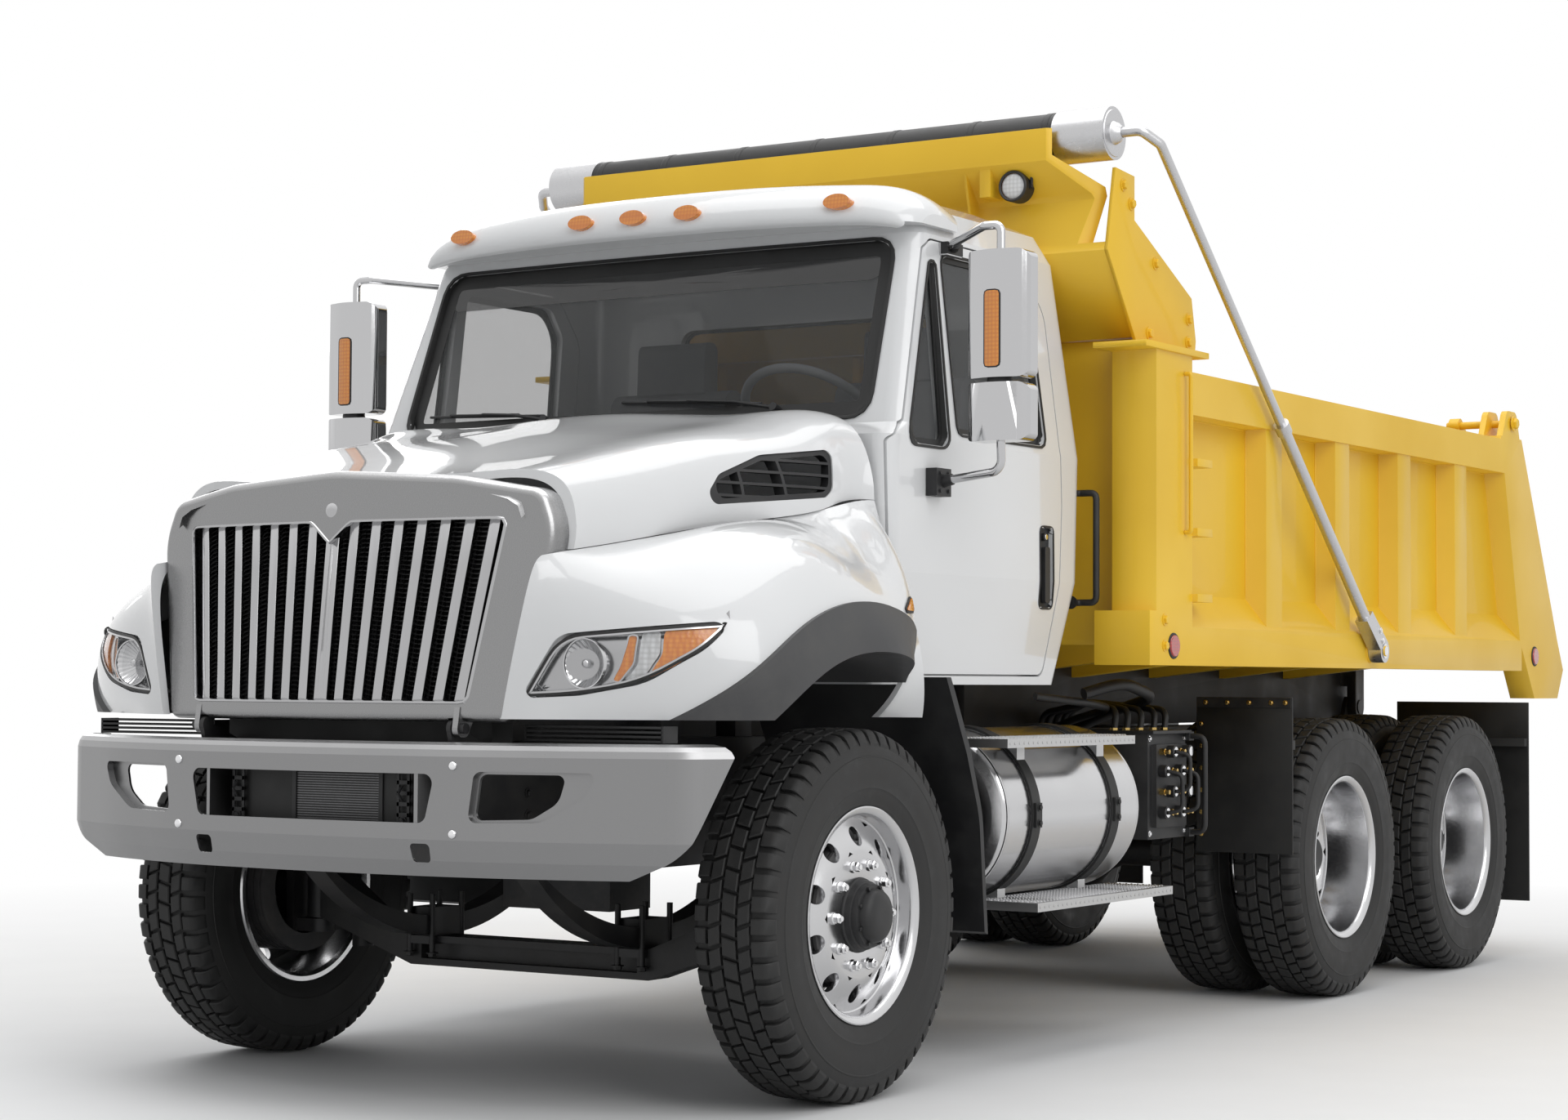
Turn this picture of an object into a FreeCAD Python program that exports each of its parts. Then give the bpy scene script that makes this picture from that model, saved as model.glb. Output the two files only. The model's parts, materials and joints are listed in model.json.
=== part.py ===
"""Tandem-axle dump truck with a tilting hood, two doors, a tipping body, a tailgate and a tarp arm.

Millimetres. X points to the truck's left, Y to its rear, Z up, and the ground is Z = 0.
Stations along the truck are written from the front axle, and every piece is moved at the
end so that the middle of the truck's box stands on the origin.
"""
import FreeCAD
import Part
import math
import os

V = FreeCAD.Vector

# Wheels and axles
TYRE_RADIUS = 520
TYRE_WIDTH = 270
RIM_SEAT_RADIUS = 286
RIM_FLANGE_RADIUS = 304
RIM_WIDTH = 236
RIM_WALL = 12
STEER_WHEEL_X = 1020
DUAL_OUTER_X = 1066
DUAL_SPACING = 335
TANDEM_FIRST_Y = 3441
TANDEM_SPACING = 1320
REAR_AXLE_Y = TANDEM_FIRST_Y + TANDEM_SPACING
KINGPIN_X = 845
KINGPIN_RADIUS = 24
STEERING_ARM = 200
SPINDLE_RADIUS = 40
HUB_RADIUS = 105
HAND_HOLES = 10
HAND_HOLE_RADIUS = 27
HAND_HOLE_CIRCLE = 218
STUD_CIRCLE = 143
STUD_RADIUS = 17
STUD_LENGTH = 29
DISC_THICKNESS = 22
DRUM_RADIUS = 206
DRUM_WALL = 18
HUB_CAP = 20
# Along the axle, from the front tyre's middle
FRONT_DISC_EDGE = 63
FRONT_FACE = 101
FRONT_HUB_INNER = -72
FRONT_HUB_OUTER = 176
FRONT_DRUM_FROM = -116
# Along the axle, from the outer rear tyre's middle
DUAL_DISH = 76
REAR_HUB_INNER = 95
REAR_DRUM_DEPTH = 150
REAR_HUB_OUTER = 5
SIDES = (("left", 1), ("right", -1))
REAR_AXLES = (("mid", TANDEM_FIRST_Y), ("rear", REAR_AXLE_Y))
RUNNING_GAP = 0.05
SEAT_GAP = 0.3

# Frame
FRAME_HALF_WIDTH = 432
FRAME_FLANGE = 90
FRAME_WALL = 10
FRAME_TOP = 1000
FRAME_HEIGHT = 250
FRAME_FRONT_Y = -925
FLAP_REAR_Y = REAR_AXLE_Y + TYRE_RADIUS + 185
FRAME_REAR_Y = FLAP_REAR_Y - 26
CROSSMEMBER_DEPTH = 70
CROSSMEMBER_HEIGHT = 150
BED_HINGE_Y = FRAME_REAR_Y - 90
BED_HINGE_Z = 1065
HOIST_BASE_Y = 2750
HOIST_BASE_Z = 800
HOIST_EYE_Y = 4400
HOIST_EYE_Z = 1110
HOIST_BARREL_RADIUS = 75
HOIST_ROD_RADIUS = 45
HOIST_PIN_RADIUS = 25
HOIST_ROD_INSIDE = 700
HOIST_EYE_RADIUS = 56
HOIST_CHEEK_X = 64
HOIST_GLAND = 75
HINGE_PIN_RADIUS = 30
HINGE_PIN_LENGTH = 44
GEARBOX_REAR_Y = 1560
GEARBOX_Z = 740
RADIATOR_Y = -830

# Front axle and steering
FRONT_BEAM_BOTTOM = 303
FRONT_BEAM_TOP = 393
SPRING_X = 387
FRONT_SPRING_HALF = 620
KINGPIN_LOW = 425
KINGPIN_HIGH = 600
KINGPIN_BOSS = 44
LUG_GAP = 5
TIE_ROD_DROP = 40
TIE_PIN_RADIUS = 14
AXLE_TUBE = 65

# Front end
BUMPER_FRONT_Y = -1045
BUMPER_HALF_WIDTH = 1162
BUMPER_REAR_Y = -700
BUMPER_BOTTOM = 651
BUMPER_TOP = 1004
BUMPER_WALL = 8
BUMPER_FLANGE = 42
BUMPER_POCKET = 24
GRILLE_BOTTOM = 1056
GRILLE_CURVE_RADIUS = 2800
GRILLE_FRONT_Y = -1005
GRILLE_LEAN = 6.0
GRILLE_DEPTH = 70
GRILLE_BARS = 15
GRILLE_LOW_HALF = 481
GRILLE_TOP_HALF = 558
GRILLE_OPEN_LOW = 1110
GRILLE_OPEN_TOP = 1594
GRILLE_NOTCH = 1535
GRILLE_OPENING = [(-GRILLE_LOW_HALF, GRILLE_OPEN_LOW), (GRILLE_LOW_HALF, GRILLE_OPEN_LOW),
                  (GRILLE_TOP_HALF, GRILLE_OPEN_TOP), (70, GRILLE_OPEN_TOP), (0, GRILLE_NOTCH),
                  (-70, GRILLE_OPEN_TOP), (-GRILLE_TOP_HALF, GRILLE_OPEN_TOP)]
SURROUND_RADII = [30, 180, 60, 400, 600, 400, 60, 180, 30]
SURROUND_EDGE = 25
BAR_WIDTH = 30
BAR_DEPTH = 34
BAR_SET_BACK = 14
HOOD_PIVOT_Y = -955
HOOD_PIVOT_Z = 1040
HOOD_PIVOT_RADIUS = 14
HOOD_WALL = 24
HOOD_REAR_Y = 318
SEAM_GAP = 2
VENT_LOW = 1654
VENT_HIGH = 1838
VENT_BLADES = 5
VENT_DIVIDERS = (-190, -40)
VENT_SET_BACK = 4
FENDER_INNER_X = 560
FLARE_WIDTH = 138
FLARE_TAIL_Y = 245
FLARE_PROUD = 12
LAMP_DEPTH = 70
LAMP_RADII = [20, 60, 24, 120, 200, 200]
ARCH_CENTRE_Y = -91
ARCH_CENTRE_Z = 540
ARCH_RADIUS = 710
FENDER_BOTTOM = 1066

# Cab
CAB_FRONT_Y = 340
CAB_BOTTOM = 1160
CAB_REAR_Y = 1606
CAB_HALF_WIDTH = 1010
CAB_WALL = 45
DOOR_GAP = 6
DOOR_FRONT_Y = 362
DOOR_REAR_Y = 1442
DOOR_BOTTOM = 1192
DOOR_TOP = 2510
DOOR_DEPTH = 60
DOOR_SKIN_TOP_X = 936
DOOR_SKIN_LOW_X = 1007
CAB_CORNER = 60
STEERING_WHEEL_X = 460
DASH_HALF_WIDTH = 845
MIRROR_X = 1240
MIRROR_Y = 540
MIRROR_WIDTH = 205
MIRROR_DEPTH = 96
BELT_Z = 1935
WINDSHIELD_BASE_Y = 425
WINDSHIELD_TOP_Y = 640
WINDSHIELD_TOP = 2530
ROOF_TOP = 2690
GLASS = 6
GLASS_INSET = 14

# Dump body
BODY_HALF_WIDTH = 1220
BODY_FRONT_Y = 1706
FLOOR_TOP = 1354
RAIL_BOTTOM = 1226
SIDE_SHEET_X = 1130
SHEET = 18
TOP_RAIL_BOTTOM = 2065
TOP_RAIL_TOP = 2208
POST_TOP = 2260
POST_DEPTH = 280
POST_WIDTH = 160
FRONT_WALL_Y = 1800
RIBS = 4
RIB_FIRST_Y = 2630
RIB_PITCH = 645
RIB_WIDTH = 140
RIB_X = 1210
REAR_POST_TOP_Y = BED_HINGE_Y - 218
REAR_POST_LOW_Y = BED_HINGE_Y - 3
REAR_POST_TOP_DEPTH = 256
REAR_POST_LOW_DEPTH = 508
REAR_POST_LOW_Z = 1360
REAR_POST_HIGH_Z = 2205
TAILGATE_PIN_Y = REAR_POST_TOP_Y + 118
TAILGATE_PIN_Z = 2282
TAILGATE_PIN_RADIUS = 16
TAILGATE_THICKNESS = 90
TAILGATE_HALF_WIDTH = 1088
SILL_BOTTOM = 1010
SILL_X = 352
SILL_WIDTH = 70

FLOOR_PLATE = 28
SLOPE_RISE = 112
BEARERS = 6
BEARER_FIRST_Y = 2050
TAILGATE_PIN_FROM = 935
TAILGATE_TOP = 2150
TAILGATE_LOW = 1245
LATCH_HIGH_Z = 1540
LATCH_LOW_Z = 1310
LATCH_REACH = 70
SHIELD_HALF = 1112
SHIELD_LIP_HALF = 930
SHIELD_LIP_Y = 1478
SHIELD_FOOT_Z = 2310

# Side equipment
TANK_X = 860
TANK_Z = 760
TANK_RADIUS = 265
TANK_FRONT_Y = 830
TANK_REAR_Y = 1800
STRAP_WIDTH = 50
STRAP_STATIONS = (1010, 1560)
STEP_INNER_X = 965
UPPER_STEP_INNER_X = 1032
STEP_OUTER_X = 1200
STEP_HEIGHT = 27
STEP_LENGTH = 871
LOWER_STEP_LENGTH = 961
UPPER_STEP_Y = 717
UPPER_STEP_TOP = 999
LOWER_STEP_Y = 913
LOWER_STEP_TOP = 500
FLAP_FRONT_Y = TANDEM_FIRST_Y - TYRE_RADIUS - 71
FLAP_THICKNESS = 10
FLAP_BAR = 34
FLAP_OUTER_X = 1215
GUARD_INNER_X = 480
GUARD_OUTER_X = 1170

# Tarp
TARP_EYE_HALF = 25
ROLL_HALF = 930
ROLL_END_X = 1118
TARP_PIVOT_Y = 3596
TARP_PIVOT_Z = 1292
TARP_PIVOT_RADIUS = 20
TARP_ROLL_Y = 1600
TARP_ROLL_Z = 2962
TARP_ROLL_RADIUS = 84
TARP_ARM_X = 1255
TARP_ARM_RADIUS = 22


# Shape helpers

def box(x0, x1, y0, y1, z0, z1):
    return Part.makeBox(x1 - x0, y1 - y0, z1 - z0, V(x0, y0, z0))


def cylinder(start, direction, radius, length):
    return Part.makeCylinder(radius, length, start, direction)


def tube_x(x0, x1, y, z, outer, inner=0):
    """A round bar, or a tube, that lies along X."""
    body = cylinder(V(x0, y, z), V(1, 0, 0), outer, x1 - x0)
    if inner:
        body = body.cut(cylinder(V(x0 - 1, y, z), V(1, 0, 0), inner, x1 - x0 + 2))
    return body


def outline(points, radii=0):
    """A flat face through the points, with each corner rounded by its radius."""
    count = len(points)
    if not isinstance(radii, (list, tuple)):
        radii = [radii] * count
    starts, middles, ends = [], [], []
    for i, at in enumerate(points):
        if radii[i] == 0:
            starts.append(at)
            middles.append(None)
            ends.append(at)
            continue
        back = (points[i - 1] - at).normalize()
        forth = (points[(i + 1) % count] - at).normalize()
        half = back.getAngle(forth) / 2
        reach = radii[i] / math.tan(half)
        bisector = (back + forth).normalize()
        starts.append(at + back * reach)
        ends.append(at + forth * reach)
        middles.append(at + bisector * (radii[i] / math.sin(half) - radii[i]))
    edges = []
    for i in range(count):
        if middles[i] is not None:
            edges.append(Part.Arc(starts[i], middles[i], ends[i]).toShape())
        following = starts[(i + 1) % count]
        if (following - ends[i]).Length > 1e-6:
            edges.append(Part.LineSegment(ends[i], following).toShape())
    return Part.Face(Part.Wire(edges))


def prism_x(points_yz, x0, x1, radii=0):
    return outline([V(x0, y, z) for y, z in points_yz], radii).extrude(V(x1 - x0, 0, 0))


def prism_y(points_xz, y0, y1, radii=0):
    return outline([V(x, y0, z) for x, z in points_xz], radii).extrude(V(0, y1 - y0, 0))


def prism_z(points_xy, z0, z1, radii=0):
    return outline([V(x, y, z0) for x, y in points_xy], radii).extrude(V(0, 0, z1 - z0))


def revolved_x(points_xr):
    """A solid of revolution about the X axis from (x, radius) points."""
    face = Part.Face(Part.makePolygon([V(x, 0, r) for x, r in points_xr + points_xr[:1]]))
    return face.revolve(V(0, 0, 0), V(1, 0, 0), 360)


def mirrored(shape):
    return shape.mirror(V(0, 0, 0), V(1, 0, 0))


def both_sides(shape):
    return Part.makeCompound([shape, mirrored(shape)])


def fused(shapes):
    return shapes[0].fuse(shapes[1:]).removeSplitter()


def moved_back(shape, distance):
    copy = shape.copy()
    copy.translate(V(0, distance, 0))
    return copy


def smooth_edge(points):
    curve = Part.BSplineCurve()
    curve.interpolate(points)
    return curve.toShape()


def largest(shape):
    return max(shape.Solids, key=lambda solid: solid.Volume)


def bent_bar(points, radius, bend):
    """A round bar along straight runs that are joined by tangent arcs."""
    starts, ends, edges = [points[0]], [points[0]], []
    for i in range(1, len(points) - 1):
        back = (points[i - 1] - points[i]).normalize()
        forth = (points[i + 1] - points[i]).normalize()
        half = back.getAngle(forth) / 2
        reach = bend / math.tan(half)
        start = points[i] + back * reach
        end = points[i] + forth * reach
        middle = points[i] + (back + forth).normalize() * (bend / math.sin(half) - bend)
        edges.append(Part.LineSegment(ends[-1], start).toShape())
        edges.append(Part.Arc(start, middle, end).toShape())
        ends.append(end)
    edges.append(Part.LineSegment(ends[-1], points[-1]).toShape())
    circle = Part.Circle(points[0], points[1] - points[0], radius).toShape()
    return Part.Wire(edges).makePipeShell([Part.Wire([circle])], True, True)


def rear_post_y(z, rear):
    """The leaning rear post's front or rear edge at a height."""
    span = (REAR_POST_HIGH_Z - z) / (REAR_POST_HIGH_Z - REAR_POST_LOW_Z)
    front = REAR_POST_TOP_Y + (REAR_POST_LOW_Y - REAR_POST_TOP_Y) * span
    depth = REAR_POST_TOP_DEPTH + (REAR_POST_LOW_DEPTH - REAR_POST_TOP_DEPTH) * span
    return front + (depth if rear else 0)


def tailgate_plane(z, offset):
    return rear_post_y(z, True) - offset


def export(node, shape):
    """Writes one node, moved so that the middle of the truck's length stands on the origin."""
    length_ends = BUMPER_FRONT_Y, tailgate_plane(LATCH_LOW_Z, -LATCH_REACH)
    placed = shape.copy()
    placed.translate(V(0, -sum(length_ends) / 2, 0))
    placed.exportStep("parts/%s.step" % node)


# Wheels

def tyre():
    """One tyre about the X axis, on its rim's seat, with rounded shoulders."""
    half = TYRE_WIDTH / 2
    bead = RIM_WIDTH / 2 - RIM_WALL - SEAT_GAP
    seat = RIM_SEAT_RADIUS + SEAT_GAP
    shoulder = TYRE_RADIUS - 45
    sidewall = (RIM_FLANGE_RADIUS + TYRE_RADIUS) / 2
    inside, rim_edge = V(bead, 0, seat), V(bead, 0, RIM_FLANGE_RADIUS)
    widest, upper = V(half, 0, sidewall), V(half - 14, 0, shoulder)
    corner, tread = V(half - 20, 0, TYRE_RADIUS - 16), V(half - 42, 0, TYRE_RADIUS - 4)

    def other(point):
        return V(-point.x, 0, point.z)

    edges = [
        Part.LineSegment(other(inside), inside),
        Part.LineSegment(inside, rim_edge),
        Part.Arc(rim_edge, widest, upper),
        Part.Arc(upper, corner, tread),
        Part.Arc(tread, V(0, 0, TYRE_RADIUS), other(tread)),
        Part.Arc(other(tread), other(corner), other(upper)),
        Part.Arc(other(upper), other(widest), other(rim_edge)),
        Part.LineSegment(other(rim_edge), other(inside)),
    ]
    face = Part.Face(Part.Wire([edge.toShape() for edge in edges]))
    return face.revolve(V(0, 0, 0), V(1, 0, 0), 360)


def rim(edge_x, face_x):
    """A rim about the X axis: a barrel with flanges, and a pierced disc from edge_x to its face."""
    half = RIM_WIDTH / 2
    seat = RIM_SEAT_RADIUS
    inner = seat - RIM_WALL
    barrel = revolved_x([
        (-half, inner), (-half, RIM_FLANGE_RADIUS), (RIM_WALL - half, RIM_FLANGE_RADIUS), (RIM_WALL - half, seat),
        (half - RIM_WALL, seat), (half - RIM_WALL, RIM_FLANGE_RADIUS), (half, RIM_FLANGE_RADIUS), (half, inner),
    ])
    disc = revolved_x([
        (edge_x, inner + 2), (face_x, STUD_CIRCLE + 30), (face_x, HUB_RADIUS - 5),
        (face_x - DISC_THICKNESS, HUB_RADIUS - 5), (face_x - DISC_THICKNESS, STUD_CIRCLE + 30),
        (edge_x - DISC_THICKNESS, inner + 2),
    ])
    for i in range(HAND_HOLES):
        turn = math.radians(360 * (i + 0.5) / HAND_HOLES)
        at = V(edge_x - 150, HAND_HOLE_CIRCLE * math.cos(turn), HAND_HOLE_CIRCLE * math.sin(turn))
        disc = disc.cut(cylinder(at, V(1, 0, 0), HAND_HOLE_RADIUS, 300))
    return barrel.fuse(disc)


def hub(x_inner, x_web, x_drum, x_outer):
    """A hub on its spindle, closed at its outer end, with the brake drum that its web carries."""
    bore = SPINDLE_RADIUS + SEAT_GAP
    barrel_radius = HUB_RADIUS - 20
    return revolved_x([
        (x_inner, bore), (x_inner, barrel_radius), (x_web - DRUM_WALL, barrel_radius),
        (x_web - DRUM_WALL, DRUM_RADIUS - DRUM_WALL), (x_drum, DRUM_RADIUS - DRUM_WALL), (x_drum, DRUM_RADIUS),
        (x_web, DRUM_RADIUS), (x_web, HUB_RADIUS - 4), (x_outer - 34, HUB_RADIUS - 15),
        (x_outer - 10, HUB_RADIUS - 35), (x_outer, HUB_RADIUS - 55), (x_outer, 0),
        (x_outer - HUB_CAP, 0), (x_outer - HUB_CAP, bore),
    ])


def studs(face_x):
    """The ring of wheel nuts on the disc's face."""
    nuts = []
    for i in range(HAND_HOLES):
        turn = math.radians(360 * i / HAND_HOLES)
        at = V(face_x - 1, STUD_CIRCLE * math.cos(turn), STUD_CIRCLE * math.sin(turn))
        nuts.append(cylinder(at, V(1, 0, 0), STUD_RADIUS, STUD_LENGTH))
    return nuts


def at_wheel(shape, side, x, y):
    """Moves a left-hand wheel piece onto its axle, or to the same place on the right."""
    placed = shape.copy()
    placed.translate(V(x, y, TYRE_RADIUS))
    return placed if side > 0 else mirrored(placed)


def make_wheels():
    web = FRONT_FACE - DISC_THICKNESS
    front_wheel = fused(
        [rim(FRONT_DISC_EDGE, FRONT_FACE), hub(FRONT_HUB_INNER, web + 1, FRONT_DRUM_FROM, FRONT_HUB_OUTER)]
        + studs(FRONT_FACE)
    )
    for name, side in SIDES:
        export("tyre_front_" + name, at_wheel(tyre(), side, STEER_WHEEL_X, 0))
        export("wheel_front_" + name, at_wheel(front_wheel, side, STEER_WHEEL_X, 0))
    # The discs of twin rims stand back to back halfway between the two tyres.
    back = -DUAL_SPACING / 2
    face = back + DISC_THICKNESS
    outer_rim = rim(face + DUAL_DISH, face)
    inner_rim = mirrored(outer_rim)
    inner_rim.translate(V(-DUAL_SPACING, 0, 0))
    web = back - DISC_THICKNESS
    dual = fused(
        [outer_rim, inner_rim, hub(web - REAR_HUB_INNER, web + 1, web - REAR_DRUM_DEPTH, REAR_HUB_OUTER)]
        + studs(face)
    )
    second = tyre()
    second.translate(V(-DUAL_SPACING, 0, 0))
    dual_tyres = Part.makeCompound([tyre(), second])
    for axle, y in REAR_AXLES:
        for name, side in SIDES:
            export("tyres_%s_%s" % (axle, name), at_wheel(dual_tyres, side, DUAL_OUTER_X, y))
            export("wheels_%s_%s" % (axle, name), at_wheel(dual, side, DUAL_OUTER_X, y))


# Frame and axles

def channel_rail():
    """The left frame rail: a channel that opens inwards."""
    outer = box(FRAME_HALF_WIDTH - FRAME_FLANGE, FRAME_HALF_WIDTH, FRAME_FRONT_Y, FRAME_REAR_Y,
                FRAME_TOP - FRAME_HEIGHT, FRAME_TOP)
    hollow = box(FRAME_HALF_WIDTH - FRAME_FLANGE - 1, FRAME_HALF_WIDTH - FRAME_WALL, FRAME_FRONT_Y - 1,
                 FRAME_REAR_Y + 1, FRAME_TOP - FRAME_HEIGHT + FRAME_WALL, FRAME_TOP - FRAME_WALL)
    return outer.cut(hollow)


def crossmember(y):
    """A channel between the two webs that opens to the rear."""
    half = FRAME_HALF_WIDTH - FRAME_WALL
    middle = FRAME_TOP - FRAME_HEIGHT / 2
    low, high = middle - CROSSMEMBER_HEIGHT / 2, middle + CROSSMEMBER_HEIGHT / 2
    outer = box(-half, half, y, y + CROSSMEMBER_DEPTH, low, high)
    return outer.cut(box(-half + 12, half - 12, y + 12, y + CROSSMEMBER_DEPTH + 1, low + 12, high - 12))


def make_frame():
    export("frame_rails", both_sides(channel_rail()))
    stations = (FRAME_FRONT_Y + 25, 1900, HOIST_BASE_Y - 200, 4060, BED_HINGE_Y - 30)
    pieces = [crossmember(y) for y in stations]
    # Lugs on the middle crossmember carry the lower pin of the hoist.
    lug_front = HOIST_BASE_Y - 200 + CROSSMEMBER_DEPTH - 12
    lug = box(62, 82, lug_front, HOIST_BASE_Y, HOIST_BASE_Z - 40, HOIST_BASE_Z + 40)
    lug = lug.fuse(tube_x(62, 82, HOIST_BASE_Y, HOIST_BASE_Z, 40))
    pin = tube_x(-82, 82, HOIST_BASE_Y, HOIST_BASE_Z, HOIST_PIN_RADIUS)
    pieces[2] = fused([pieces[2], lug, mirrored(lug), pin])
    export("frame_crossmembers", Part.makeCompound(pieces))

    web = FRAME_HALF_WIDTH
    brackets = []
    # Cab mounts stand on the rails under the cab's floor.
    for y in (CAB_FRONT_Y + 130, CAB_REAR_Y - 250):
        brackets.append(box(web - 80, web - 10, y - 45, y + 45, FRAME_TOP, CAB_BOTTOM))
    # The hood turns on pins that stand out of plates on the rails' front ends.
    ear = HOOD_PIVOT_RADIUS + 8
    plate = prism_x([(FRAME_FRONT_Y + 90, FRAME_TOP - 160), (FRAME_FRONT_Y + 90, FRAME_TOP),
                     (HOOD_PIVOT_Y + ear, HOOD_PIVOT_Z), (HOOD_PIVOT_Y - ear, HOOD_PIVOT_Z),
                     (FRAME_FRONT_Y, FRAME_TOP - 160)], web, web + 14)
    round_end = tube_x(web, web + 14, HOOD_PIVOT_Y, HOOD_PIVOT_Z, ear)
    pin = tube_x(web + 14, web + 50, HOOD_PIVOT_Y, HOOD_PIVOT_Z, HOOD_PIVOT_RADIUS)
    brackets.append(fused([plate, round_end, pin]))
    # The dump body's hinge pins stand out of plates on the rails' rear ends.
    plate = prism_x([(BED_HINGE_Y - 160, FRAME_TOP - 180), (BED_HINGE_Y - 60, BED_HINGE_Z + 10),
                     (BED_HINGE_Y - 30, BED_HINGE_Z + 45), (BED_HINGE_Y + 30, BED_HINGE_Z + 45),
                     (BED_HINGE_Y + 55, BED_HINGE_Z), (BED_HINGE_Y + 60, FRAME_TOP - 180)], web, web + 20)
    pin = tube_x(web + 20, web + 20 + HINGE_PIN_LENGTH, BED_HINGE_Y, BED_HINGE_Z, HINGE_PIN_RADIUS)
    brackets.append(plate.fuse(pin))
    export("frame_brackets", Part.makeCompound(brackets + [mirrored(b) for b in brackets]))


# Heights up the bumper's face, and how far its plan steps in there
BUMPER_LEVELS = ((0, 36), (42, 16), (98, 0), (316, 0), (334, 5), (346, 13), (353, 27))


def bumper_plan(inset, z):
    """The bumper's outline from above at a height: swept ends, round corners and short returns."""
    front, rear, half = BUMPER_FRONT_Y, BUMPER_REAR_Y, BUMPER_HALF_WIDTH
    right = [(150, front), (485, front + 24), (820, front + 114), (half - 72, front + 226), (half, rear)]
    points = right + [(-x, y) for x, y in reversed(right)]
    radii = [3000, 1500, 1500, 150, 0]
    face = outline([V(x, y, z) for x, y in points], radii + radii[::-1])
    return face.makeOffset2D(-inset).OuterWire if inset else face.OuterWire


def bumper_form(inset, cap=0):
    """The bumper as a solid out to its face, shrunk by inset, and by cap at its top and bottom."""
    wires = []
    for i, (height, step) in enumerate(BUMPER_LEVELS):
        z = BUMPER_BOTTOM + height
        if i == 0:
            z += cap
        if i == len(BUMPER_LEVELS) - 1:
            z -= cap
        wires.append(bumper_plan(step + inset, z))
    return Part.makeLoft(wires, True, True)


def make_bumper():
    """A pressed shell with a rolled top, a creased lower face, dished side openings and tow holes."""
    blank, inner = bumper_form(0), bumper_form(BUMPER_WALL, BUMPER_WALL)
    height = BUMPER_TOP - BUMPER_BOTTOM
    well = Part.Face(bumper_plan(BUMPER_FLANGE, BUMPER_BOTTOM - 5)).extrude(V(0, 0, height + 10))
    shell = blank
    for core in (inner, well):
        shell = shell.cut(core).cut(moved_back(core, 60))
    front, back = BUMPER_FRONT_Y - 20, BUMPER_FRONT_Y + 200
    shell = shell.cut(prism_y([(-400, 792), (400, 792), (430, 921), (-430, 921)], front, back, 26))
    # Each side opening sits in a dish that runs out towards the bumper's end.
    hole = prism_y([(534, 801), (690, 806), (762, 850), (782, 922), (550, 922)], front, back, [18, 60, 60, 18, 22])
    dish = [(528, 795), (730, 799), (845, 866), (874, 929), (546, 929)]
    rim = [(520, 787), (734, 791), (853, 861), (886, 937), (538, 937)]
    tray = blank.cut(moved_back(blank, BUMPER_POCKET + BUMPER_WALL))
    tray = tray.common(prism_y(rim, front, back, [24, 94, 64, 18, 26]))
    scoop = blank.cut(moved_back(blank, BUMPER_POCKET)).common(prism_y(dish, front, back, [22, 90, 60, 16, 24]))
    shell = fused([shell, tray, mirrored(tray)])
    tow_hole = prism_y([(356, 688), (410, 688), (414, 738), (352, 738)], front, back, 12)
    # The end edge of each return slopes back under the lamp.
    trim = prism_x([(BUMPER_REAR_Y + 5, BUMPER_TOP - 19), (BUMPER_REAR_Y - 150, BUMPER_BOTTOM - 11),
                    (BUMPER_REAR_Y + 5, BUMPER_BOTTOM - 11)], 900, BUMPER_HALF_WIDTH + 10)
    for cut in (hole, scoop, tow_hole, trim):
        shell = shell.cut(cut).cut(mirrored(cut))
    # Brackets join its back to the rails' front ends.
    bracket = box(FRAME_HALF_WIDTH - 70, FRAME_HALF_WIDTH, BUMPER_FRONT_Y + 10, FRAME_FRONT_Y, 770, 930)
    hollow = box(FRAME_HALF_WIDTH - 58, FRAME_HALF_WIDTH + 1, BUMPER_FRONT_Y, FRAME_FRONT_Y - 12, 769, 931)
    bracket = bracket.cut(hollow).common(inner)
    export("front_bumper", fused([shell, bracket, mirrored(bracket)]))


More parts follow.
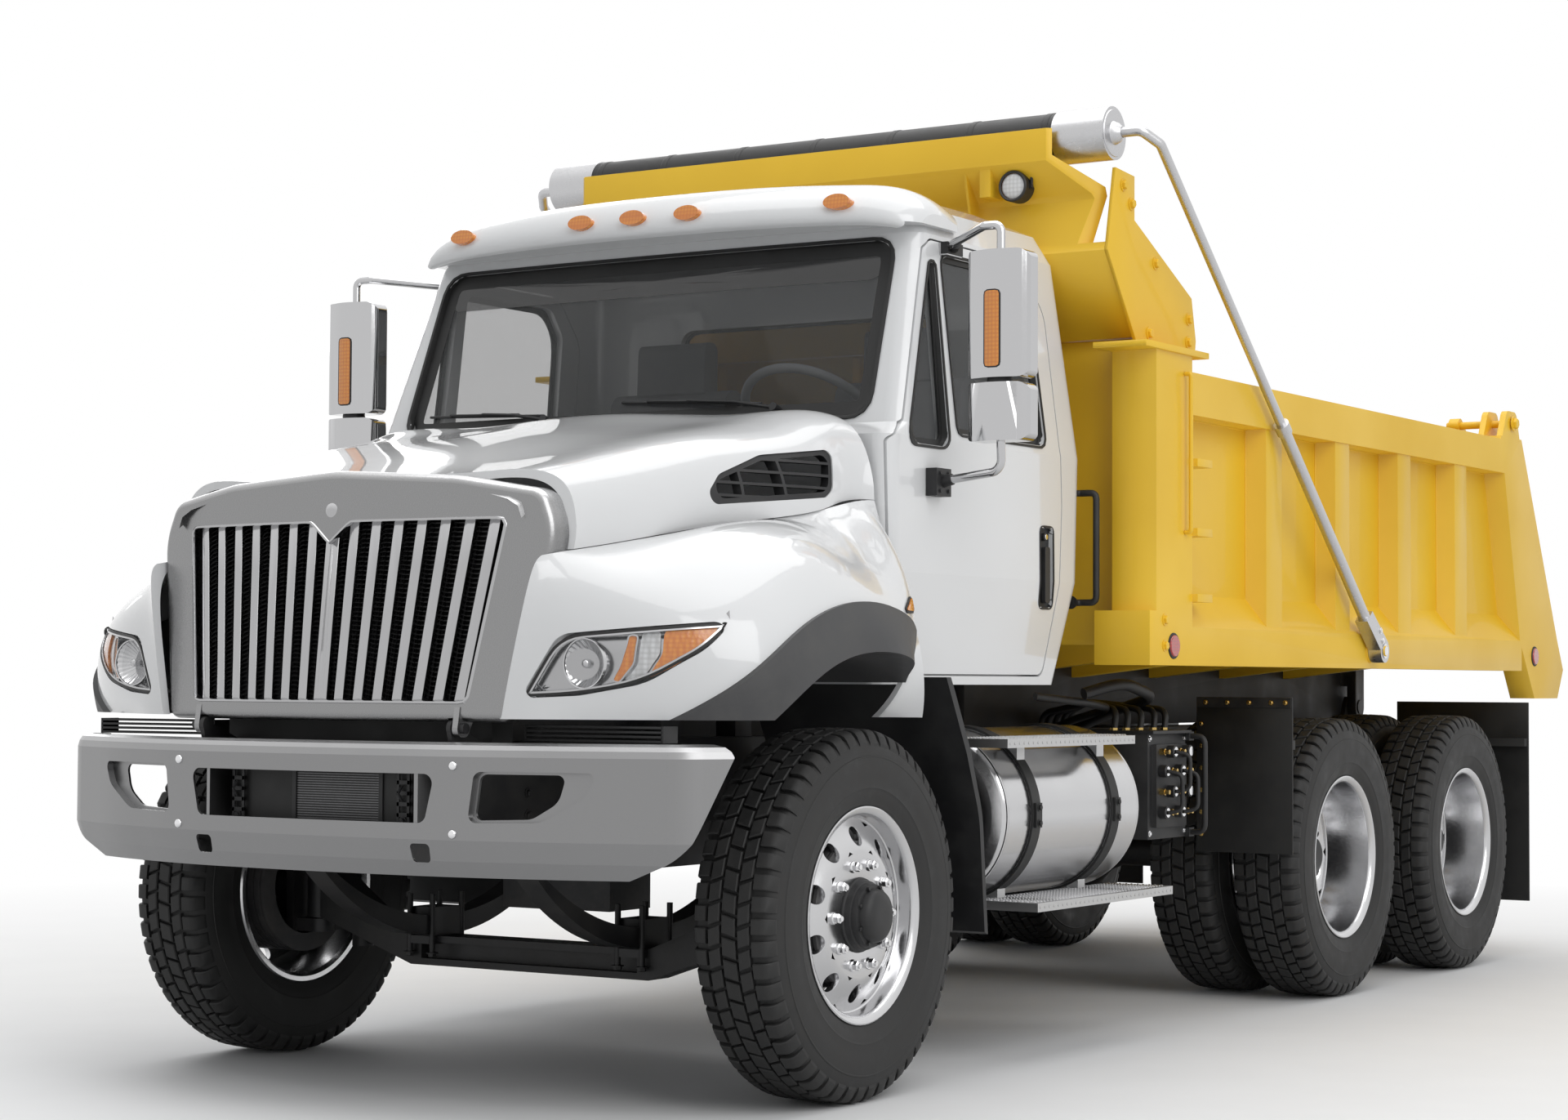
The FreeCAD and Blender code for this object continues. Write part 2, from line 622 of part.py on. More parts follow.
def make_front_axle():
    """The forged beam with its drop, spring pads and kingpin bosses, and the leaf springs above it."""
    low, high = FRONT_BEAM_BOTTOM, FRONT_BEAM_TOP
    reach = KINGPIN_X - 40
    left = [(0, low), (440, low), (620, low + 62), (reach, KINGPIN_LOW + 4), (reach, KINGPIN_HIGH - 4),
            (620, high + 70), (440, high), (0, high)]
    right = [(-x, z) for x, z in reversed(left) if x > 0]
    beam = prism_y(left[:-1] + right, -52, 52)
    groove = [(-400, low + 20), (400, low + 20), (400, high - 20), (-400, high - 20)]
    for y0, y1 in ((-53, -16), (16, 53)):
        beam = beam.cut(prism_y(groove, y0, y1))
    boss = cylinder(V(KINGPIN_X, 0, KINGPIN_LOW), V(0, 0, 1), KINGPIN_BOSS, KINGPIN_HIGH - KINGPIN_LOW)
    bore = cylinder(V(KINGPIN_X, 0, KINGPIN_LOW - 1), V(0, 0, 1), KINGPIN_RADIUS + RUNNING_GAP, 400)
    pad = box(SPRING_X - 50, SPRING_X + 50, -75, 75, high - 24, high)
    beam = fused([beam, boss, mirrored(boss), pad, mirrored(pad)]).cut(bore).cut(mirrored(bore))
    export("front_axle_beam", beam)

    half, eye_z = FRONT_SPRING_HALF, FRAME_TOP - FRAME_HEIGHT - 70
    seat = high
    thick = 60
    x0, x1 = SPRING_X - 38, SPRING_X + 38
    arcs = [
        Part.Arc(V(x0, -half, eye_z), V(x0, 0, seat), V(x0, half, eye_z)),
        Part.LineSegment(V(x0, half, eye_z), V(x0, half, eye_z + 18)),
        Part.Arc(V(x0, half, eye_z + 18), V(x0, 0, seat + thick), V(x0, -half, eye_z + 18)),
        Part.LineSegment(V(x0, -half, eye_z + 18), V(x0, -half, eye_z)),
    ]
    leaves = Part.Face(Part.Wire([a.toShape() for a in arcs])).extrude(V(x1 - x0, 0, 0))
    leaves = leaves.cut(box(x0 - 1, x1 + 1, -76, 76, seat - 80, seat))
    pieces = [leaves]
    for end in (-1, 1):
        pieces.append(tube_x(x0, x1, end * half, eye_z + 12, 34))
        pieces.append(box(x0, x1, end * half - 32, end * half + 32, eye_z + 12, FRAME_TOP - FRAME_HEIGHT))
    pieces.append(box(x0 - 8, x1 + 8, -60, 60, seat, seat + thick + 26))
    export("front_springs", both_sides(fused(pieces)))


def make_steering():
    """Knuckles with their kingpins, spindles and arms, and the rod that ties the two arms."""
    lug = 40
    top0, low1 = KINGPIN_HIGH + LUG_GAP, KINGPIN_LOW - LUG_GAP
    plate_x = STEER_WHEEL_X + FRONT_DRUM_FROM + 6
    pieces = [
        cylinder(V(KINGPIN_X, 0, low1 - lug), V(0, 0, 1), KINGPIN_RADIUS, top0 - low1 + 2 * lug),
        box(plate_x, plate_x + 32, -55, 55, low1 - lug, top0 + lug),
        cylinder(V(plate_x + 30, 0, TYRE_RADIUS), V(1, 0, 0), SPINDLE_RADIUS,
                 STEER_WHEEL_X + FRONT_HUB_OUTER - HUB_CAP - 4 - plate_x - 30),
    ]
    for z in (low1 - lug, top0):
        pieces.append(cylinder(V(KINGPIN_X, 0, z), V(0, 0, 1), KINGPIN_BOSS - 4, lug))
        pieces.append(box(KINGPIN_X, plate_x + 1, -KINGPIN_BOSS + 4, KINGPIN_BOSS - 4, z, z + lug))
    arm_z = low1 - lug
    pieces.append(box(KINGPIN_X - 20, KINGPIN_X + 20, 0, STEERING_ARM, arm_z, arm_z + 28))
    pieces.append(cylinder(V(KINGPIN_X, STEERING_ARM, arm_z), V(0, 0, 1), 26, 28))
    ball_pin = cylinder(V(KINGPIN_X, STEERING_ARM, arm_z - TIE_ROD_DROP), V(0, 0, 1), TIE_PIN_RADIUS, TIE_ROD_DROP)
    pieces.append(ball_pin)
    knuckle = fused(pieces)
    for name, side in SIDES:
        export("knuckle_" + name, knuckle if side > 0 else mirrored(knuckle))
    rod_z = arm_z - TIE_ROD_DROP + 4
    half = KINGPIN_X
    rod = tube_x(-half, half, STEERING_ARM, rod_z, 19)
    pieces = [rod]
    for side in (1, -1):
        pieces.append(cylinder(V(side * half, STEERING_ARM, rod_z - 24), V(0, 0, 1), 34, 48))
    rod = fused(pieces)
    for side in (1, -1):
        rod = rod.cut(cylinder(V(side * half, STEERING_ARM, rod_z - 6), V(0, 0, 1), TIE_PIN_RADIUS + RUNNING_GAP, 60))
    export("tie_rod", rod)


def make_rear_axles():
    """Two banjo axles with their spindles, and the shafts from the gearbox and between the axles."""
    spindle_end = DUAL_OUTER_X + REAR_HUB_OUTER - HUB_CAP - 4
    tube_end = DUAL_OUTER_X - DUAL_SPACING / 2 - DISC_THICKNESS - REAR_HUB_INNER - 6
    half = [(0, 205), (70, 198), (140, 150), (200, 90), (260, AXLE_TUBE), (tube_end, AXLE_TUBE),
            (tube_end, SPINDLE_RADIUS), (spindle_end, SPINDLE_RADIUS)]
    profile = [(spindle_end, 0)] + half[::-1] + [(-x, r) for x, r in half[1:]] + [(-spindle_end, 0)]
    axles = []
    for name, y in REAR_AXLES:
        housing = revolved_x(profile)
        nose = cylinder(V(0, -300, 20), V(0, 1, 0), 85, 300)
        housing = fused([housing, nose])
        housing.translate(V(0, y, TYRE_RADIUS))
        axles.append(housing)
    start, end = V(0, GEARBOX_REAR_Y + 7, GEARBOX_Z), V(0, TANDEM_FIRST_Y - 295, TYRE_RADIUS + 20)
    first = cylinder(start, end - start, 52, (end - start).Length)
    y2, y3 = TANDEM_FIRST_Y + 190, TANDEM_FIRST_Y + TANDEM_SPACING - 300
    second = cylinder(V(0, y2, TYRE_RADIUS + 20), V(0, 1, 0), 48, y3 - y2 + 10)
    export("rear_axles", fused([axles[0], first, second, axles[1]]))


def make_rear_suspension():
    """A leaf pack on each side that rests on both axles and rocks on a saddle under the frame."""
    x0, x1 = FRAME_HALF_WIDTH + 34, FRAME_HALF_WIDTH + 124
    middle = TANDEM_FIRST_Y + TANDEM_SPACING / 2
    y0, y1 = TANDEM_FIRST_Y - 130, TANDEM_FIRST_Y + TANDEM_SPACING + 130
    seat = TYRE_RADIUS + AXLE_TUBE + 34
    peak, thick = seat + 62, 78
    arcs = [
        Part.Arc(V(x0, y0, seat), V(x0, middle, peak), V(x0, y1, seat)),
        Part.LineSegment(V(x0, y1, seat), V(x0, y1, seat + 24)),
        Part.Arc(V(x0, y1, seat + 24), V(x0, middle, peak + thick), V(x0, y0, seat + 24)),
        Part.LineSegment(V(x0, y0, seat + 24), V(x0, y0, seat)),
    ]
    pieces = [Part.Face(Part.Wire([a.toShape() for a in arcs])).extrude(V(x1 - x0, 0, 0))]
    for name, y in REAR_AXLES:
        pad = box(x0, x1, y - 70, y + 70, TYRE_RADIUS, seat + 40)
        pad = pad.cut(tube_x(x0 - 1, x1 + 1, y, TYRE_RADIUS, AXLE_TUBE + SEAT_GAP))
        pieces.append(pad)
    pieces.append(box(x0 - 34, x1, middle - 110, middle + 110, peak - 60, peak + thick + 20))
    pieces.append(tube_x(x0 - 34, x1 + 16, middle, peak - 90, 62))
    export("rear_suspension", both_sides(fused(pieces)))


def make_engine():
    block = box(-300, 300, -560, 300, 620, 1480)
    sump = box(-200, 200, 90, 300, 480, 620)
    gearbox = box(-220, 220, 300, GEARBOX_REAR_Y - 120, 600, 1060)
    tail = cylinder(V(0, GEARBOX_REAR_Y - 120, GEARBOX_Z), V(0, 1, 0), 90, 120)
    foot = box(300, FRAME_HALF_WIDTH - 15, 40, 140, FRAME_TOP, FRAME_TOP + 60)
    export("engine", fused([block, sump, gearbox, tail, foot, mirrored(foot)]))


def make_radiator():
    """The radiator on the frame's front ends, and the low cooler that shows through the bumper."""
    core = box(-470, 470, RADIATOR_Y, RADIATOR_Y + 90, FRAME_TOP, 1600)
    shroud = box(-380, 380, RADIATOR_Y + 90, RADIATOR_Y + 190, 1040, 1540)
    cooler = box(-330, 330, FRAME_FRONT_Y - 32, FRAME_FRONT_Y + 25, 770, 948)
    export("radiator", Part.makeCompound([fused([core, shroud]), cooler]))


# Side equipment

def make_fuel_tank():
    middle_z, x = TANK_Z, TANK_X
    length = TANK_REAR_Y - TANK_FRONT_Y
    dome = 26
    profile = outline([V(0, 0, 0), V(0, 0, TANK_RADIUS - 60), V(0, dome, TANK_RADIUS), V(0, length - dome, TANK_RADIUS),
                       V(0, length, TANK_RADIUS - 60), V(0, length, 0)], [0, 90, 24, 24, 90, 0])
    tank = profile.revolve(V(0, 0, 0), V(0, 1, 0), 360)
    tank.translate(V(x, TANK_FRONT_Y, middle_z))
    neck = cylinder(V(x, TANK_FRONT_Y + 90, middle_z + TANK_RADIUS - 12), V(0, 0, 1), 42, 60)
    export("fuel_tanks", both_sides(tank.fuse(neck)))


def step_plate(x0, y0, y1, z_top):
    """A shallow channel tread with its edges turned down."""
    plate = box(x0, STEP_OUTER_X, y0, y1, z_top - STEP_HEIGHT, z_top)
    return plate.cut(box(x0 + 4, STEP_OUTER_X - 4, y0 + 4, y1 - 4, z_top - STEP_HEIGHT - 1, z_top - 4))


def strap(y, middle_z, x):
    """One strap round a tank, with its bracket on the frame and the posts that carry the steps."""
    inner = TANK_RADIUS + SEAT_GAP
    ring = cylinder(V(x, y, middle_z), V(0, 1, 0), inner + 6, STRAP_WIDTH)
    bracket = box(FRAME_HALF_WIDTH, x, y, y + STRAP_WIDTH, middle_z - 90, middle_z + 190)
    upper = box(UPPER_STEP_INNER_X + 4, UPPER_STEP_INNER_X + 44, y, y + STRAP_WIDTH, middle_z, UPPER_STEP_TOP - 10)
    lower = box(STEP_INNER_X + 4, STEP_INNER_X + 44, y, y + STRAP_WIDTH, LOWER_STEP_TOP - 10, middle_z)
    whole = fused([ring, bracket, upper, lower])
    return whole.cut(cylinder(V(x, y - 1, middle_z), V(0, 1, 0), inner, STRAP_WIDTH + 2))


def make_steps():
    straps = [strap(y, TANK_Z, TANK_X) for y in STRAP_STATIONS]
    upper = step_plate(UPPER_STEP_INNER_X, UPPER_STEP_Y, UPPER_STEP_Y + STEP_LENGTH, UPPER_STEP_TOP)
    lower = step_plate(STEP_INNER_X, LOWER_STEP_Y, LOWER_STEP_Y + LOWER_STEP_LENGTH, LOWER_STEP_TOP)
    side = fused(straps + [upper, lower])
    export("tank_steps", both_sides(side))


def make_side_boxes():
    """The valve box behind the left fuel tank, and an air reservoir behind the right one."""
    valves = box(740, 1050, 2000, 2300, 640, 1000)
    arm = box(FRAME_HALF_WIDTH, 740, 2080, 2220, 800, 960)
    front = box(1050, 1068, 2030, 2270, 680, 960)
    left = fused([valves, arm, front])
    reservoir = cylinder(V(-620, 2000, 800), V(0, 1, 0), 130, 640)
    bridge = box(-620, -FRAME_HALF_WIDTH, 2250, 2400, 740, 860)
    export("air_equipment", Part.makeCompound([left, reservoir.fuse(bridge)]))


def make_mudflaps():
    """Flaps ahead of and behind the tandem, each hung on a bar out of the frame."""
    pieces = []
    for y, bar_z, x_inner, low, high, bar_from in (
        (FLAP_FRONT_Y, 930, 842, 556, 1117, FLAP_THICKNESS), (FLAP_REAR_Y, 900, 620, 235, 1090, -FLAP_BAR)
    ):
        flap = box(x_inner, FLAP_OUTER_X, y, y + FLAP_THICKNESS, low, high)
        bar = box(FRAME_HALF_WIDTH, FLAP_OUTER_X - 6, y + bar_from, y + bar_from + FLAP_BAR, bar_z, bar_z + FLAP_BAR)
        piece = fused([flap, bar])
        pieces += [piece, mirrored(piece)]
    export("mudflaps", Part.makeCompound(pieces))


def make_front_mudguards():
    """The black guard behind each front wheel, from the fender's tail down to its loose edge."""
    inner = [(395, 1185), (425, 1132), (520, 960), (598, 772), (632, 432)]
    outer = [(652, 424), (618, 780), (542, 972), (448, 1142), (418, 1192)]
    guard = prism_x(inner + outer, GUARD_INNER_X, GUARD_OUTER_X, [0, 30, 200, 300, 0, 0, 300, 200, 30, 0])
    bracket = box(FRAME_HALF_WIDTH, GUARD_INNER_X + 10, 566, 610, 820, 880)
    skirt = prism_x([(520, 965), (598, 772), (612, 776), (536, 970)], GUARD_INNER_X, GUARD_INNER_X + 4)
    side = fused([guard, bracket, skirt])
    under_cab = box(0, CAB_HALF_WIDTH + 6, CAB_FRONT_Y - 10, CAB_FRONT_Y + 300, CAB_BOTTOM - SEAT_GAP, 1400)
    under_door = box(0, 1400, CAB_FRONT_Y - 10, CAB_FRONT_Y + 300, DOOR_BOTTOM - 10, 1400)
    export("front_mudguards", both_sides(side.cut(under_cab).cut(under_door)))


# Cab

def cab_section(z, half, front, bulge, rear, corner):
    """One level of the cab: a rounded rectangle with a bulged front, as a closed wire."""
    c = corner
    front_mid = V(0, front - bulge, z)
    a, b = V(-half + c, front, z), V(half - c, front, z)
    d, e = V(half, front + c, z), V(half, rear - c, z)
    f, g = V(half - c, rear, z), V(-half + c, rear, z)
    h, i = V(-half, rear - c, z), V(-half, front + c, z)
    k = c * (1 - math.sqrt(0.5))
    edges = [
        Part.Arc(a, front_mid, b),
        Part.Arc(b, V(half - k, front + k, z), d),
        Part.LineSegment(d, e),
        Part.Arc(e, V(half - k, rear - k, z), f),
        Part.LineSegment(f, g),
        Part.Arc(g, V(-half + k, rear - k, z), h),
        Part.LineSegment(h, i),
        Part.Arc(i, V(-half + k, front + k, z), a),
    ]
    return Part.Wire([edge.toShape() for edge in edges])


def cab_form(inset):
    """The cab's outer form, or the same form shrunk by inset on every side."""
    roof_rear = CAB_REAR_Y - 50
    levels = [
        (CAB_BOTTOM, CAB_HALF_WIDTH - 26, CAB_FRONT_Y, 2, CAB_REAR_Y - 140),
        (CAB_BOTTOM + 330, CAB_HALF_WIDTH, CAB_FRONT_Y, 2, CAB_REAR_Y - 26),
        (BELT_Z - 40, CAB_HALF_WIDTH - 4, CAB_FRONT_Y + 6, 4, CAB_REAR_Y),
        (BELT_Z, CAB_HALF_WIDTH - 10, WINDSHIELD_BASE_Y, 26, CAB_REAR_Y),
        (WINDSHIELD_TOP, CAB_HALF_WIDTH - 78, WINDSHIELD_TOP_Y, 26, roof_rear),
        (ROOF_TOP - 70, CAB_HALF_WIDTH - 122, WINDSHIELD_TOP_Y + 50, 22, roof_rear - 36),
        (ROOF_TOP, CAB_HALF_WIDTH - 280, WINDSHIELD_TOP_Y + 170, 14, roof_rear - 140),
    ]
    wires = []
    for i, (z, half, front, bulge, rear) in enumerate(levels):
        if i == 0:
            z += inset
        if i == len(levels) - 1:
            z -= inset
        wires.append(cab_section(z, half - inset, front + inset, bulge, rear - inset, CAB_CORNER - inset * 0.4))
    return Part.makeLoft(wires, True, True)


def door_outline(grow):
    """The door's edge from the side: upright front, windshield slope, curved rear top corner."""
    g = grow
    points = [
        (DOOR_FRONT_Y - g, DOOR_BOTTOM - g), (DOOR_FRONT_Y - g, BELT_Z - 58 + g / 2),
        (WINDSHIELD_BASE_Y + 30 - 0.8 * g, BELT_Z + 4 + 0.7 * g),
        (WINDSHIELD_TOP_Y + 22 - 0.8 * g, DOOR_TOP - 30 + 0.7 * g), (WINDSHIELD_TOP_Y + 66 - 0.3 * g, DOOR_TOP + g),
        (DOOR_REAR_Y - 170, DOOR_TOP + g), (DOOR_REAR_Y - 20 + g, DOOR_TOP - 150), (DOOR_REAR_Y + g, BELT_Z - 200),
        (DOOR_REAR_Y - 20 + g, 1480), (DOOR_REAR_Y - 98 + g, DOOR_BOTTOM - g),
    ]
    return points, [30, 20, 20, 20, 40, 120, 120, 300, 200, 40]


def door_region(grow):
    """All that a door takes out of the cab's shell: its outline, as deep as the door."""
    points, radii = door_outline(grow)
    inner_low, inner_top = CAB_HALF_WIDTH - DOOR_DEPTH - grow, DOOR_SKIN_TOP_X - DOOR_DEPTH - grow
    depth = prism_y([(inner_low, DOOR_BOTTOM - 50), (inner_low, BELT_Z), (inner_top, DOOR_TOP + 20),
                     (CAB_HALF_WIDTH + 30, DOOR_TOP + 20), (CAB_HALF_WIDTH + 30, DOOR_BOTTOM - 50)],
                    DOOR_FRONT_Y - 50, DOOR_REAR_Y + 50)
    return prism_x(points, inner_top - 5, CAB_HALF_WIDTH + 30, radii).common(depth)


def door_panes(grow):
    """The quarter pane and the main pane, as outlines with corner radii."""
    g = grow
    quarter = [(460 - g, 1875 - g), (702 + g, 1875 - g), (720 + g, 2440 + g), (690 - g, 2440 + g)]
    main = [(766 - g, 1922 - g), (1340 + g, 1922 - g), (1318 + g, 2380), (1236, 2470 + g), (766 - g, 2470 + g)]
    return (quarter, [44, 50, 8, 8]), (main, [24, 40, 60, 60, 40])


def windshield_outline(grow):
    g = grow
    low, high = BELT_Z + 22 - g, WINDSHIELD_TOP - 22 + g
    return [(-882 - g, low), (882 + g, low), (858 + g, high), (-858 - g, high)]


def pane(outer, inner, cutter):
    return outer.cut(inner).common(cutter)


def make_cab():
    outer, inner = cab_form(0), cab_form(CAB_WALL)
    shell = outer.cut(inner)
    opening = door_region(DOOR_GAP)
    glass_out, glass_in = cab_form(GLASS_INSET), cab_form(GLASS_INSET + GLASS)
    door = shell.common(door_region(0))
    panes = []
    low_x, high_x = DOOR_SKIN_LOW_X - GLASS_INSET - 6, DOOR_SKIN_TOP_X - GLASS_INSET
    slab = prism_y([(low_x - GLASS, BELT_Z - 90), (low_x, BELT_Z - 90), (high_x, DOOR_TOP), (high_x - GLASS, DOOR_TOP)],
                   DOOR_FRONT_Y, DOOR_REAR_Y)
    for (big, radii_big), (small, radii_small) in zip(door_panes(0), door_panes(-SEAT_GAP)):
        door = door.cut(prism_x(big, 800, CAB_HALF_WIDTH + 30, radii_big))
        panes.append(slab.common(prism_x(small, 800, CAB_HALF_WIDTH + 30, radii_small)))
    door = door.cut(box(CAB_HALF_WIDTH - 24, CAB_HALF_WIDTH + 10, 1296, 1378, 1408, 1660))
    door_glass = Part.makeCompound(panes)
    for name, side in SIDES:
        export("door_" + name, door if side > 0 else mirrored(door))
        export("door_glass_" + name, door_glass if side > 0 else mirrored(door_glass))

    shell = shell.cut(opening).cut(mirrored(opening))
    front, middle = CAB_FRONT_Y, CAB_REAR_Y - 300
    shell = shell.cut(prism_y(windshield_outline(0), front, middle - 500, 70))
    back_window = [(-560, 1960), (560, 1960), (540, 2400), (-540, 2400)]
    shell = shell.cut(prism_y(back_window, middle, CAB_REAR_Y + 50, 60))
    export("cab_shell", shell)
    windshield = pane(glass_out, glass_in, prism_y(windshield_outline(-SEAT_GAP), front, middle - 500, 70))
    small = [(x - math.copysign(SEAT_GAP, x), z + (SEAT_GAP if z < 2000 else -SEAT_GAP)) for x, z in back_window]
    rear_glass = pane(glass_out, glass_in, prism_y(small, middle, CAB_REAR_Y + 50, 60))
    export("cab_glass", Part.makeCompound([windshield, rear_glass]))


# The brow's sections from its middle outwards: station, front edge, lower edge, top and rear edge.
VISOR_SECTIONS = ((0, 468, 2556, 2706, 1000), (380, 480, 2555, 2702, 990), (700, 518, 2550, 2688, 960),
                  (850, 548, 2540, 2664, 920), (920, 582, 2528, 2624, 880), (950, 628, 2520, 2584, 850))


def visor_section(x, front, low, top, rear):
    """One section across the brow: a round nose and a crowned top that runs back to the roof."""
    size = (top - low) / 150
    start, end = V(x, front + 22 * size, low), V(x, rear, top - 30 * size)
    nose = smooth_edge([start, V(x, front, low + 22 * size), V(x, front + 26 * size, top - 62 * size),
                        V(x, front + 110 * size, top - 8 * size), V(x, (front + 220 * size + rear) / 2, top), end])
    foot = [end, V(x, rear, low), start]
    return Part.Wire([nose] + [Part.LineSegment(a, b).toShape() for a, b in zip(foot, foot[1:])])


def make_visor():
    """The white brow over the windshield with its five marker lamps."""
    half = [visor_section(*row) for row in VISOR_SECTIONS]
    other = [visor_section(-row[0], *row[1:]) for row in VISOR_SECTIONS[:0:-1]]
    visor = Part.makeLoft(other + half, True, False).cut(cab_form(-SEAT_GAP))
    under = box(-1000, 1000, WINDSHIELD_TOP_Y - 60, 1100, 2300, 2552)
    visor = largest(visor.cut(under))
    lamps = []
    for x, front in ((-719, 522), (-204, 472), (0, 468), (204, 472), (719, 522)):
        lamp = cylinder(V(0, front + 34, 2610), V(0, -1, 0.2), 24, 48)
        stretch = FreeCAD.Matrix()
        stretch.scale(V(1.9, 1, 1))
        lamp = lamp.transformGeometry(stretch)
        lamp.translate(V(x, 0, 0))
        lamps.append(lamp)
    export("roof_visor", visor.cut(lamps))
    export("marker_lamps", Part.makeCompound(lamps))


def make_interior():
    floor = CAB_BOTTOM + CAB_WALL + SEAT_GAP
    wall = CAB_FRONT_Y + CAB_WALL
    dash = prism_x([(wall - 10, floor + 300), (wall - 10, BELT_Z - 60), (wall + 104, BELT_Z - 20),
                    (wall + 314, BELT_Z - 30), (wall + 374, BELT_Z - 160), (wall + 214, floor + 420)],
                   -DASH_HALF_WIDTH, DASH_HALF_WIDTH, [0, 10, 60, 60, 60, 60]).common(cab_form(CAB_WALL + SEAT_GAP))
    hood = prism_x([(wall + 164, BELT_Z - 60), (wall + 184, BELT_Z + 20), (wall + 344, BELT_Z + 10),
                    (wall + 359, BELT_Z - 90)], 240, 680, [0, 40, 30, 0])
    column_foot = V(STEERING_WHEEL_X, wall + 244, BELT_Z - 150)
    wheel_at = V(STEERING_WHEEL_X, wall + 414, BELT_Z + 60)
    column = cylinder(column_foot, wheel_at - column_foot, 36, (wheel_at - column_foot).Length)
    axis = (wheel_at - column_foot).normalize()
    rim_ring = Part.makeTorus(225, 15, wheel_at, axis)
    spokes = [cylinder(wheel_at, V(side, 0, 0), 12, 225) for name, side in SIDES]
    export("dashboard", fused([dash, hood, column, rim_ring] + spokes))
    seats = []
    for x in (STEERING_WHEEL_X, -STEERING_WHEEL_X):
        base = box(x - 180, x + 180, 1010, 1360, floor, floor + 280)
        cushion = prism_x([(900, floor + 280), (890, floor + 400), (1330, floor + 380), (1400, floor + 280)],
                          x - 250, x + 250, [30, 50, 10, 10])
        back = prism_x([(1290, floor + 290), (1330, floor + 960), (1440, floor + 960), (1440, floor + 300)],
                       x - 240, x + 240, [20, 60, 50, 20])
        head = prism_x([(1345, floor + 950), (1352, floor + 1130), (1430, floor + 1130), (1430, floor + 950)],
                       x - 140, x + 140, [10, 30, 30, 10])
        seats.append(fused([base, cushion, back, head]))
    export("seats", Part.makeCompound(seats))


def make_mirrors():
    """A tall and a short mirror head on a bent tube arm, with its two brackets on the door."""
    x, y = MIRROR_X, MIRROR_Y
    half, depth = MIRROR_WIDTH / 2, MIRROR_DEPTH
    heads = []
    for low, high in ((2062, 2440), (1876, 2048)):
        plan = [(x - half, y + depth), (x - half, y + 22), (x, y - 8), (x + half, y + 22), (x + half, y + depth)]
        head = prism_z(plan, low, high, [4, 40, 120, 40, 4])
        corners = prism_y([(x - half - 1, low), (x + half + 1, low), (x + half + 1, high), (x - half - 1, high)],
                          y - 20, y + depth + 20, 30)
        heads.append(head.common(corners))
    neck = cylinder(V(x, y + depth / 2, 2040), V(0, 0, 1), 30, 34)
    upper = bent_bar([V(DOOR_SKIN_TOP_X, 800, 2496), V(x - 60, y + 60, 2520), V(x, y + 55, 2519), V(x, y + 55, 2425)],
                     13, 24)
    lower = bent_bar([V(DOOR_SKIN_LOW_X + 12, 600, 1764), V(x, y + 60, 1790), V(x, y + 55, 1890)], 13, 40)
    top_bracket = box(DOOR_SKIN_TOP_X - 34, DOOR_SKIN_TOP_X + 30, 760, 850, 2470, 2509)
    low_bracket = box(DOOR_SKIN_LOW_X + SEAT_GAP, DOOR_SKIN_LOW_X + 36, 560, 640, 1725, 1800)
    whole = fused(heads + [neck, upper, lower, low_bracket, top_bracket]).cut(cab_form(-SEAT_GAP))
    for name, side in SIDES:
        export("mirror_" + name, whole if side > 0 else mirrored(whole))


# Hood

HOOD_STATIONS = (-960, -900, -820, -680, -500, -160, 120, HOOD_REAR_Y)
# Half sections at the stations: the seam between hood and fender, then the hood's side and crown.
HOOD_SEAM = ((672, 1484), (688, 1495), (702, 1508), (735, 1530), (782, 1562), (862, 1615), (930, 1662), (972, 1695))
HOOD_SHOULDER = ((652, 1650), (658, 1662), (668, 1678), (694, 1704), (736, 1740), (808, 1810), (870, 1862), (912, 1896))
HOOD_CROWN = ((0, 1716), (0, 1727), (0, 1742), (0, 1772), (0, 1818), (0, 1898), (0, 1953), (0, 1988))
# The fender below the seam: its crown, its widest point and its lower edge.
FENDER_CROWN = ((655, 1420), (716, 1425), (798, 1440), (905, 1465), (985, 1525), (1048, 1575), (1062, 1548),
                (1040, 1510))
FENDER_SIDE = ((628, 1250), (770, 1270), (930, 1300), (1095, 1325), (1170, 1360), (1190, 1400), (1172, 1385),
               (1110, 1330))
FENDER_LOW = (602, 750, 900, 1120, 1192, 1204, 1190, 1135)


def hood_form(inset):
    """The hood above its seam, as a solid that is shrunk by inset and open ahead, behind and below."""
    wires = []
    for i, y in enumerate(HOOD_STATIONS):
        if inset and i == 0:
            y -= 20
        if inset and i == len(HOOD_STATIONS) - 1:
            y += 20
        (xs, zs), (xh, zh), (xc, zc) = HOOD_SEAM[i], HOOD_SHOULDER[i], HOOD_CROWN[i]
        xs, xh = xs - inset, xh - inset * 0.9
        zs = zs + SEAM_GAP + (-30 if inset else 0)
        zh, zc = zh - inset * 0.8, zc - inset
        mid_x, mid_z = (xs + xh) / 2 + 14, (zs + zh) / 2 + 8
        top_x, top_z = xh * 0.62, zh + (zc - zh) * 0.78
        near_middle = V(xh * 0.2, y, zc - (zc - zh) * 0.06)
        half = [V(xs, y, zs), V(mid_x, y, mid_z), V(xh, y, zh), V(top_x, y, top_z), near_middle]
        other = [V(-p.x, p.y, p.z) for p in reversed(half)]
        curve = smooth_edge(half + [V(0, y, zc)] + other)
        closing = Part.LineSegment(other[-1], half[0]).toShape()
        wires.append(Part.Wire([curve, closing]))
    return Part.makeLoft(wires, True, False)


